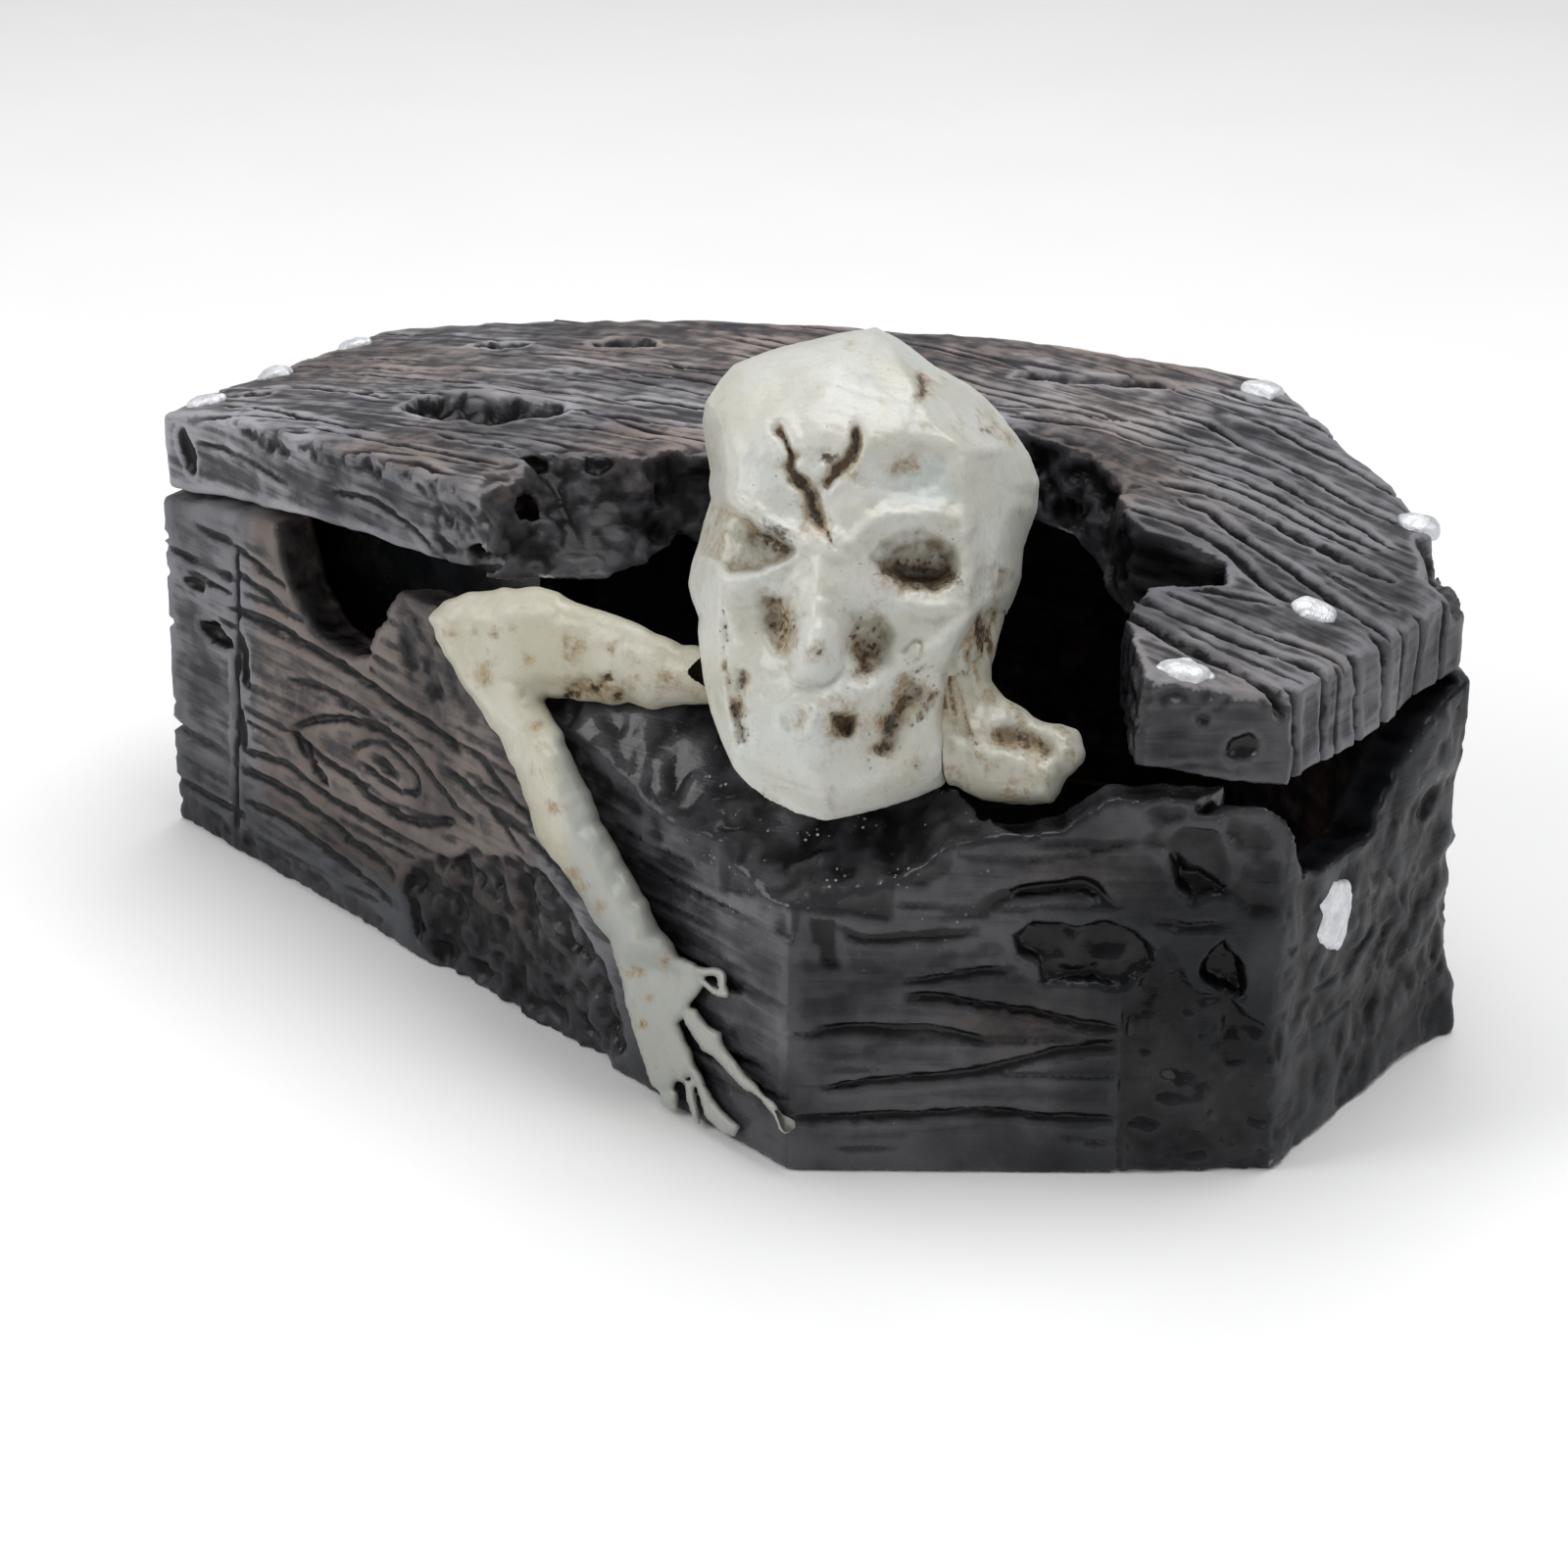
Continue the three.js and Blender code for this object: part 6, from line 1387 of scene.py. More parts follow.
def ledge_top(x, y):
    w, a = WALLS[0], WALLS[1]
    s, off = w.s(x, y), w.off(x, y)
    sa, offa = a.s(x, y), a.off(x, y)
    hf = np.interp(s, [p[0] for p in ledge_front], [p[1] for p in ledge_front]) + np.interp(s, [46, 56, 78, 90, 112], [0.6, 1.0, 1.15, 0.62, 0.5]) * np.clip(-off, 0, 20)
    ha = np.interp(sa, [p[0] for p in ledge_side], [p[1] for p in ledge_side]) + np.interp(sa, [0, 12, 24], [0.55, 0.45, 0.5]) * np.clip(-offa, 0, 20)
    lumps = 1.1 * fbm(x * 0.42, y * 0.42, 0 * x, 3, 0.55, 401) + 0.5 * np.clip(0.7 - cells(x * 0.5, y * 0.5, 0 * x, 402), 0, 1)
    return np.minimum(smin(hf, ha, 1.2), 35.6) + lumps - 0.2


lu = np.arange(-24, 56, 0.25, dtype=F32)
lv = np.arange(-42, 6, 0.25, dtype=F32)
LU, LV = np.meshgrid(lu, lv, indexing="ij")
ledge_patch = Patch(-24, -42, 0.25)
ledge_map = ledge_top(LU, LV).astype(F32)
ledge_ext = np.maximum(np.maximum(46.5 - WALLS[0].s(LU, LV), -WALLS[0].off(LU, LV) - 14 + 6 * step(84, 60, WALLS[0].s(LU, LV))), WALLS[1].s(LU, LV) - 24)
ledge_ext = (ledge_ext + 0.8 * fbm(LU * 0.3, LV * 0.3, 0 * LU, 2, 0.5, 403)).astype(F32)


def ledge_field(x, y, z, flat):
    t = ledge_patch.sample(ledge_map, x, y)
    d = np.maximum(z - t, t - 8.5 - z) * F32(0.8)
    d = np.maximum(d, ledge_patch.sample(ledge_ext, x, y))
    d = smax(d, flat + 0.25 + 0.0 * z, 0.4)
    return np.where((x < -23) | (x > 55) | (y > 5), F32(9), d)


def base_with_ledge(x, y, z):
    d = base_field(x, y, z)
    flat = None
    for w in WALLS:
        o = w.off(x, y) - F32(0.01 * w.reach) * (1 - z / 45)
        flat = o if flat is None else np.maximum(flat, o)
    near = (z > 14) & (z < 38.5) & (x > -22) & (x < 54) & (y < 4)
    if near.any():
        xn, yn, zn = x[near], y[near], z[near]
        dn = smin(d[near], ledge_field(xn, yn, zn, flat[near]), 0.8)
        bones = np.minimum(skull_field(xn, yn, zn), np.minimum(neck_field(xn, yn, zn), arm_field(xn, yn, zn)))
        dn = np.maximum(dn, 0.12 - bones)
        d[near] = dn
    return d


def base_rough3(x, y, z):
    d = base_rough2(x, y, z)
    t = ledge_patch.sample(ledge_map, x, y)
    l = np.maximum(np.maximum(z - t, t - 8.5 - z) * F32(0.8), ledge_patch.sample(ledge_ext, x, y))
    l = np.where((x < -23) | (x > 55) | (y > 5), F32(9), l)
    p = plain_walls(x, y, z)
    d = np.minimum(d, np.maximum(l, p))
    b = np.where((z > 20) & (y < 4), -skull_field(x, y, z), -9)
    return np.maximum(d, b)


H_BASE = 0.42
field, org = sparse_field((-65.5, -43.5, -1.2), (65.5, 48.0, 42.6), H_BASE, base_rough3, base_with_ledge, 2.6)
verts, faces = surface(field, org, H_BASE)
verts, faces = largest(verts, faces)
del field
base = make_object("coffin_base_cast", verts, faces)
decimated(base, 196000)

# ------------------------------------------------------------------ painted nail heads
def dab(cx, cy, rx, ry, angle, seed, drips=()):
    """a thick dab of paint on the lid: an uneven low mound that follows the surface"""
    h = 0.2
    ax = grid_axes((cx - rx - 3.4, cy - ry - 3.4, lid_z(cx) - 3.0), (cx + rx + 3.4, cy + ry + 3.4, lid_z(cx) + 1.8), h)
    x, y, z = np.meshgrid(*ax, indexing="ij")
    a = math.radians(angle)
    u = (x - cx) * math.cos(a) + (y - cy) * math.sin(a)
    v = -(x - cx) * math.sin(a) + (y - cy) * math.cos(a)
    q = np.sqrt((u / rx) ** 2 + (v / ry) ** 2) + 0.2 * noise(x * 0.9, y * 0.9, 0 * x, seed) + 0.1 * noise(x * 2.3, y * 2.3, 0 * x, seed + 1)
    r = (q - 1) * min(rx, ry)
    for dx, dy, dr in drips:
        r = np.minimum(r, np.hypot(x - cx - dx, y - cy - dy) + 0.25 * noise(x * 1.6, y * 1.6, 0 * x, seed + 2) - dr)
    ground = lid_z(x) + np.maximum(top.sample(top.h, x, y), -0.45)
    crown = 0.62 * np.sqrt(np.clip(1 - np.clip(q, 0, 1) ** 2, 0, 1)) + 0.1 + 0.1 * fbm(x * 0.9, y * 0.9, 0 * x, 2, 0.5, seed + 3)
    d = smax(r, z - (ground + crown), 0.25)
    d = np.maximum(d, (ground - 0.9) - z)
    v_, f_ = surface(d.astype(F32), [t[0] for t in ax], h)
    return v_, f_


def side_dab(w, poly, seed, thick=0.45):
    """a dab of paint on a wall"""
    r = reliefs[w.name]
    p = np.array(poly, float)
    c = p.mean(0)
    h = 0.2
    us = np.arange(p[:, 0].min() - 1.5, p[:, 0].max() + 1.5, h)
    vs = np.arange(p[:, 1].min() - 1.5, p[:, 1].max() + 1.5, h)
    ws = np.arange(-1.6, 2.2, h)
    S, Zz, O = np.meshgrid(us, vs, ws, indexing="ij")
    e = poly_distance(poly, S[:, :, 0] + 0.25 * noise(S[:, :, 0] * 1.2, Zz[:, :, 0] * 1.2, 0 * S[:, :, 0], seed), Zz[:, :, 0])[:, :, None]
    g = r.sample(r.h, S[:, :, 0], Zz[:, :, 0])[:, :, None]
    g = np.maximum(g, -0.35)
    crown = thick * np.sqrt(np.clip(-e / 2.2, 0, 1)) + 0.12 * fbm(S[:, :, 0] * 0.8, Zz[:, :, 0] * 0.8, 0 * S[:, :, 0], 3, 0.55, seed + 1)[:, :, None]
    d = smax(e + 0 * O, O - (g + crown), 0.2)
    d = np.maximum(d, (g - 0.7) - O)
    v_, f_ = surface(d.astype(F32), [us[0], vs[0], ws[0]], h)
    off = v_[:, 2] + 0.01 * w.reach * (1 - v_[:, 1] / 45)
    pts = np.stack([w.p[0] + w.t[0] * v_[:, 0] + w.n[0] * off, w.p[1] + w.t[1] * v_[:, 0] + w.n[1] * off, v_[:, 1]], 1)
    return pts, f_


def merged(name, parts):
    vs, fs, n = [], [], 0
    for v, f in parts:
        if len(v) == 0:
            continue
        vs.append(np.asarray(v, float))
        fs.append(f + n)
        n += len(v)
    return make_object(name, np.concatenate(vs), np.concatenate(fs))


LID_NAILS = [(-59.4, -13.0, 1.9, 1.7, 10, 301, ()), (-60.1, -1.8, 1.9, 1.7, 0, 302, ()), (-59.9, 9.9, 1.7, 1.5, 30, 303, ()), (29.0, 39.9, 2.0, 1.9, 0, 304, ()),
             (54.0, 22.6, 1.9, 1.8, 20, 305, ()), (56.0, -1.3, 2.0, 1.7, 0, 306, ()), (53.9, -20.0, 2.0, 1.5, 20, 307, ((-1.6, -0.9, 0.7), (1.9, 0.9, 0.6)))]
nails = merged("lid_nail_heads", [dab(*n[:6], drips=n[6]) for n in LID_NAILS])
wall_nail = merged("head_end_nail_head", [side_dab(WALLS[2], [(9.5, 23.8), (12.7, 22.7), (13.4, 20.0), (12.5, 18.1), (10.9, 16.6), (9.0, 17.6), (7.6, 18.7), (6.5, 20.0), (7.6, 21.4), (6.6, 22.7)], 311)])
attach(nails, "lid")
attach(wall_nail, "coffin")
for ob, body, node, sl in ((base, "coffin", "coffin_base", "painted_resin_wood"), (lid, "lid", "coffin_lid", "painted_resin_lid"), (skull, "coffin", "skull", "painted_skull"),
                           (neck, "coffin", "neck_and_collarbone", "painted_neck_bone"), (arm, "coffin", "arm_and_hand", "painted_arm_bone")):
    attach(ob, body)
    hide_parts(node)

# ------------------------------------------------------------------ surface marks for the finishes


def wall_marks(ob, is_lid):
    co, no, ed = arrays(ob)
    x, y, z = co[:, 0], co[:, 1], co[:, 2]
    n = len(co)
    dark, warm, gloss = np.zeros(n, F32), np.zeros(n, F32), np.zeros(n, F32)
    along, across, code = np.zeros(n, F32), np.zeros(n, F32), np.zeros(n, F32)
    best = np.full(n, -99.0, F32)
    shade = np.zeros(n, F32)
    for i, w in enumerate(WALLS):
        off = w.off(x, y) + 0 * x
        face_on = no[:, 0] * w.n[0] + no[:, 1] * w.n[1]
        m = off + 1.5 * face_on > best
        best = np.where(m, off + 1.5 * face_on, best)
        r = (lid_sides if is_lid else reliefs)[w.name]
        s = w.s(x, y)
        dark = np.where(m, r.sample(r.dark, s, z), dark)
        warm = np.where(m, r.sample(r.warm, s, z), warm)
        along, across, code = np.where(m, s, along), np.where(m, z, across), np.where(m, 13.0 * i, code)
        gl = {"EA": 0.25 + 0.55 * step(50, 90, s), "AB": 0.85 + 0 * s, "BC": 0.4 + 0 * s}.get(w.name, 0.25 + 0 * s)
        if is_lid:
            gl = {"EA": 0.3 + 0 * s, "AB": 1.0 + 0 * s, "BC": 0.45 + 0 * s}.get(w.name, 0.3 + 0 * s)
        gloss = np.where(m, gl, gloss)
    # painted light: a brightness level for each wall face, standing in for how the light falls on it: brightest on the
    # lid and the front, darkest on the head end
    tone = np.zeros(n, F32)
    for i, w in enumerate(WALLS):
        s = w.s(x, y)
        wall_light_level = {'EA': 0.88, 'AB': 0.36, 'BC': 0.42}.get(w.name, 0.55) if is_lid else {'EA': 0.48, 'AB': 0.31, 'BC': 0.03}.get(w.name, 0.38)
        wall_light_level = wall_light_level + 0 * s
        # painted shade: the front wall darker towards its foot, a little lighter towards its far end
        if w.name == 'EA' and not is_lid:
            wall_light_level = wall_light_level - 0.38 * step(14, 6, z - 0.0) + 0.1 * step(70, 85, s)
        # painted shade on the side wall's lower part towards its head-end corner
        if w.name == 'AB' and not is_lid:
            wall_light_level = wall_light_level - 0.3 * step(21, 25, s) * step(30, 26, z)
        tone = np.where(np.abs(code - 13.0 * i) < 0.5, wall_light_level, tone)
    inner = np.zeros(n, F32)
    if is_lid:
        on_top = (no[:, 2] > 0.35) & (z > lid_z(x) - 3.2)
        dark = np.where(on_top, top.sample(top.dark, x, y), dark)
        warm = np.where(on_top, top.sample(top.warm, x, y), warm)
        gloss = np.where(on_top, 0.28, gloss)
        # painted light: the lid top lit brightest, darker towards the head end
        tone = np.where(on_top, 1.0 - 0.38 * step(20, 45, x), tone)
        along, across, code = np.where(on_top, x, along), np.where(on_top, y, across), np.where(on_top, 91.0, code)
        br = break_field(x, y, z)
        broken = (br < 0.9) & ~((no[:, 2] > 0.8) & (z > lid_z(x) - 0.8)) & (z > lid_z(x) - 8.0)
        dark = np.where(broken, 0.62, dark)
        # painted light: a middle level on the broken faces
        tone = np.where(broken, 0.45, tone)
        inner = np.where((best < -2.2) & (no[:, 2] < 0.2) & ~broken, 1.0, 0.0).astype(F32)
    else:
        flat = np.full(n, -99.0, F32)
        for w in WALLS:
            flat = np.maximum(flat, w.off(x, y))
        inner = np.where(flat < -4.2, 1.0, 0.0).astype(F32)
        edge = np.full(n, 9.0, F32)
        for w in WALLS[:3]:
            hd = reliefs[w.name].sample(hole_maps[w.name], w.s(x, y), z)
            edge = np.minimum(edge, np.where(w.off(x, y) > -6.5, hd, 9.0))
        dark = np.maximum(dark, 0.7 * step(1.1, 0.1, edge))
        near = (x > -22) & (x < 54) & (y < 4) & (z > 22)
        lf = ledge_field(x, y, z, flat)
        on = np.where(near & (lf < 0.7) & (flat < -0.5), 1.0, 0.0)
        dark = np.where(on > 0, 0.45, dark)
        gloss = np.maximum(gloss, on)
        inner = inner * (1 - on)
        chin = np.sqrt((x - 27) ** 2 + (y + 30) ** 2 + ((z - 29) * 1.2) ** 2)
        fleck = step(20, 5, chin) * np.where(z > 22, 1, 0.3) + 0.25 * step(10, 4, np.sqrt((x - 17) ** 2 + (y + 38) ** 2 + (z - 4) ** 2))
        put(ob, "fleck", fleck)
    h1, h2, h3 = hollowness(ob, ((3, 14, 60)))
    put(ob, "hollow", np.stack([np.clip(h1 / 0.08, -2, 2), np.clip(h2 / 0.3, -2, 2), np.clip(h3 / 0.9, -2, 2)], 1))
    put(ob, "mark", np.stack([dark, warm, gloss], 1))
    put(ob, "grain", np.stack([along, across, code], 1) * 0.001)
    put(ob, "inner", inner)
    put(ob, "tone", np.clip(tone, 0, 1))


wall_marks(base, False)
wall_marks(lid, True)


def bone_marks(ob, fr, patch, names, cool=None):
    co, no, ed = arrays(ob)
    X, Y, Z = fr.local(co[:, 0], co[:, 1], co[:, 2])
    u, v = fr.flat(X, Y, Z)
    facing = np.clip(no @ OUTWARD.astype(F32) * 2.2 + 0.4, 0, 1)
    vals = [patch.sample(getattr(patch, k), u, v) * facing for k in names]
    vals.append((patch.sample(cool, u, v) if cool is not None else 0.4 + 0 * u))
    h1, h2, h3 = hollowness(ob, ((3, 12, 50)))
    put(ob, "hollow", np.stack([np.clip(h1 / 0.05, -2, 2), np.clip(h2 / 0.2, -2, 2), np.clip(h3 / 0.6, -2, 2)], 1))
    put(ob, "mark", np.stack(vals, 1))


def patch_store(patch, **grids):
    for k, g in grids.items():
        setattr(patch, k, g.astype(F32))


patch_store(face, **SKULL_MARKS)
bone_marks(skull, FACE, face, ("stain", "deep"), face.cool)
bone_marks(neck, FACE, neckp, ("stain", "deep"))
bone_marks(arm, ARM, armp, ("stain", "deep"), armp.cool)


# ------------------------------------------------------------------ finishes
class Finish:
    """a small helper for writing node materials"""

    def __init__(self, name):
        self.m = bpy.data.materials.new(name)
        self.m.use_nodes = True
        self.t = self.m.node_tree
        self.t.nodes.clear()
        self.out = self.t.nodes.new("ShaderNodeOutputMaterial")
        self.b = self.t.nodes.new("ShaderNodeBsdfPrincipled")
        self.t.links.new(self.b.outputs[0], self.out.inputs[0])
        self._tc = None

    def link(self, a, b):
        self.t.links.new(a, b)

    def put(self, sock, v):
        if isinstance(v, bpy.types.NodeSocket):
            self.link(v, sock)
        else:
            sock.default_value = v

    def pos(self):
        """the point in the piece itself, so that the pattern moves with it"""
        if self._tc is None:
            self._tc = self.t.nodes.new("ShaderNodeTexCoord")
        return self._tc.outputs["Object"]

    def attr(self, name, part=None):
        a = self.t.nodes.new("ShaderNodeAttribute")
        a.attribute_name = name
        if part is None:
            return a.outputs["Vector"]
        if part == "f":
            return a.outputs["Fac"]
        s = self.t.nodes.new("ShaderNodeSeparateXYZ")
        self.link(a.outputs["Vector"], s.inputs[0])
        return s.outputs[part]

    def scaled(self, vec, s):
        n = self.t.nodes.new("ShaderNodeMapping")
        self.link(vec, n.inputs[0])
        n.inputs["Scale"].default_value = s
        return n.outputs[0]

    def noise(self, vec, scale, detail=4.0, rough=0.55, dist=0.0):
        n = self.t.nodes.new("ShaderNodeTexNoise")
        self.link(vec, n.inputs["Vector"])
        n.inputs["Scale"].default_value = scale
        n.inputs["Detail"].default_value = detail
        n.inputs["Roughness"].default_value = rough
        n.inputs["Distortion"].default_value = dist
        return n.outputs[0]

    def cell(self, vec, scale, feature="F1"):
        n = self.t.nodes.new("ShaderNodeTexVoronoi")
        n.feature = feature
        self.link(vec, n.inputs["Vector"])
        n.inputs["Scale"].default_value = scale
        return n.outputs["Distance"]

    def math(self, op, a, b=0.0, c=None, clamp=False):
        n = self.t.nodes.new("ShaderNodeMath")
        n.operation = op
        n.use_clamp = clamp
        self.put(n.inputs[0], a)
        self.put(n.inputs[1], b)
        if c is not None:
            self.put(n.inputs[2], c)
        return n.outputs[0]

    def band(self, x, a, b, lo=0.0, hi=1.0):
        n = self.t.nodes.new("ShaderNodeMapRange")
        n.interpolation_type = "SMOOTHSTEP"
        self.put(n.inputs["Value"], x)
        for k, v in (("From Min", a), ("From Max", b), ("To Min", lo), ("To Max", hi)):
            n.inputs[k].default_value = v
        return n.outputs[0]

    def mix(self, f, a, b, kind="MIX"):
        n = self.t.nodes.new("ShaderNodeMix")
        n.data_type = "RGBA"
        n.blend_type = kind
        self.put(n.inputs["Factor"], f)
        self.put(n.inputs["A"] if False else n.inputs[6], a)
        self.put(n.inputs[7], b)
        return n.outputs[2]

    def bump(self, h, strength, dist, normal=None):
        n = self.t.nodes.new("ShaderNodeBump")
        n.inputs["Strength"].default_value = strength
        n.inputs["Distance"].default_value = dist
        self.link(h, n.inputs["Height"])
        if normal is not None:
            self.link(normal, n.inputs["Normal"])
        return n.outputs[0]

    def set(self, **k):
        for key, v in k.items():
            self.put(self.b.inputs[key.replace("_", " ")], v)
        return self


def rgb(r, g, b):
    f = lambda c: c / 255 / 12.92 if c <= 10 else ((c / 255 + 0.055) / 1.055) ** 2.4
    return (f(r), f(g), f(b), 1.0)


def wood_finish(name, shift):
    m = Finish(name)
    fine, mid, broad = m.attr("hollow", 0), m.attr("hollow", 1), m.attr("hollow", 2)
    dark, warm, gloss = m.attr("mark", 0), m.attr("mark", 1), m.attr("mark", 2)
    g = m.attr("grain")
    p = m.pos()
    fibre = m.noise(m.scaled(g, (55.0, 900.0, 900.0)), 1.0, 4.0, 0.6, 0.4)
    fibre2 = m.noise(m.scaled(g, (160.0, 2600.0, 2600.0)), 1.0, 3.0, 0.6)
    patch = m.noise(p, 95.0, 3.0, 0.55, 0.3)
    mott = m.noise(p, 420.0, 4.0, 0.6)
    grit = m.noise(p, 2600.0, 3.0, 0.6)
    # brown wash in broad patches over charcoal, each in a shaded and a lit copy mixed by the painted light level of the
    # face
    tone = m.attr("tone", "f")
    body = m.mix(m.band(patch, 0.36, 0.62), m.mix(tone, rgb(11, 13, 17), rgb(43, 43, 48)), m.mix(tone, rgb(19, 20, 23), rgb(62, 60, 63)))
    body = m.mix(m.math("MULTIPLY", m.band(warm, 0.25, 0.95, 0.0, 0.8), m.band(mott, 0.4, 0.7)), body, m.mix(tone, rgb(38, 33, 32), rgb(106, 95, 90)))
    # dry-brushed ridges: raised places and the fibres on them, their colour lighter or darker by the painted light
    # level of the face
    raised = m.math("ADD", m.math("MULTIPLY", mid, -0.6), m.math("MULTIPLY", broad, -0.28))
    raised = m.math("ADD", raised, m.math("MULTIPLY", fine, -0.25))
    raised = m.math("ADD", raised, m.math("MULTIPLY", m.math("SUBTRACT", fibre, 0.5), 1.5))
    raised = m.math("ADD", raised, m.math("MULTIPLY", m.math("SUBTRACT", mott, 0.5), 0.7))
    brush = m.math("MULTIPLY", m.band(raised, -0.2, 0.6), m.band(dark, 0.75, 0.1, 0.12, 1.0))
    brush = m.math("MULTIPLY", brush, m.band(patch, 0.3, 0.6, 0.35, 1.0))
    brush = m.math("MULTIPLY", brush, m.band(gloss, 0.3, 1.0, 1.0, 0.34))
    body = m.mix(m.math("MULTIPLY", brush, 0.82), body, m.mix(tone, m.mix(m.band(warm, 0.3, 0.95), rgb(62, 64, 69), rgb(76, 68, 64)), m.mix(m.band(warm, 0.3, 0.95), rgb(172, 171, 177), rgb(163, 150, 143))))
    # black paint in the grooves, pits and breaks, and painted shade deepening the hollows
    groove_paint_and_shade = m.math("ADD", m.math("MULTIPLY", mid, 0.75), m.math("MULTIPLY", broad, 0.35))
    groove_paint_and_shade = m.math("ADD", groove_paint_and_shade, m.math("MULTIPLY", dark, 0.75))
    body = m.mix(m.math("MULTIPLY", m.band(groove_paint_and_shade, 0.1, 0.95), 0.93), body, rgb(8, 8, 10))
    body = m.mix(m.math("MULTIPLY", m.attr("inner", "f"), 0.75), body, m.mix(m.band(mott, 0.35, 0.65), rgb(20, 19, 20), rgb(52, 36, 27)))
    # tiny chips of pale resin on sharp edges
    chip = m.math("MULTIPLY", m.band(m.math("ADD", m.math("MULTIPLY", fine, -0.6), m.math("MULTIPLY", m.math("SUBTRACT", grit, 0.5), 2.4)), 1.15, 1.5), m.band(patch, 0.5, 0.6))
    body = m.mix(m.math("MULTIPLY", chip, 0.7), body, rgb(150, 146, 142))
    # stray flecks of white paint near the bones
    fl = m.math("MULTIPLY", m.band(m.math("ADD", m.cell(p, 1300.0), m.math("MULTIPLY", m.math("SUBTRACT", mott, 0.5), 0.5)), 0.2, 0.12), m.band(m.noise(p, 260.0, 3.0, 0.6), 0.52, 0.62))
    fl = m.math("MULTIPLY", fl, m.attr("fleck", "f"))
    body = m.mix(m.math("MULTIPLY", fl, 0.85, clamp=True), body, rgb(196, 198, 198))
    m.set(Base_Color=body)
    rough = m.math("ADD", m.band(gloss, 0.1, 1.0, 0.46, 0.2), m.math("MULTIPLY", m.math("SUBTRACT", mott, 0.5), 0.35))
    rough = m.math("ADD", rough, m.math("MULTIPLY", brush, 0.16))
    rough = m.math("SUBTRACT", rough, m.math("MULTIPLY", m.band(groove_paint_and_shade, 0.2, 1.0), 0.08), clamp=True)
    m.set(Roughness=rough, Coat_Weight=m.math("MULTIPLY", m.band(gloss, 0.1, 1.0, 0.06, 0.42), m.band(patch, 0.35, 0.6, 0.25, 1.0)))
    m.b.inputs["Coat Roughness"].default_value = 0.12
    m.b.inputs["Specular IOR Level"].default_value = 0.14
    hgt = m.math("ADD", m.math("MULTIPLY", fibre, 0.6), m.math("MULTIPLY", fibre2, 0.25))
    n1 = m.bump(hgt, 0.5, 0.00035)
    n2 = m.bump(m.math("ADD", m.math("MULTIPLY", grit, 0.5), mott), 0.35, 0.00022, n1)
    m.set(Normal=n2)
    return m.m


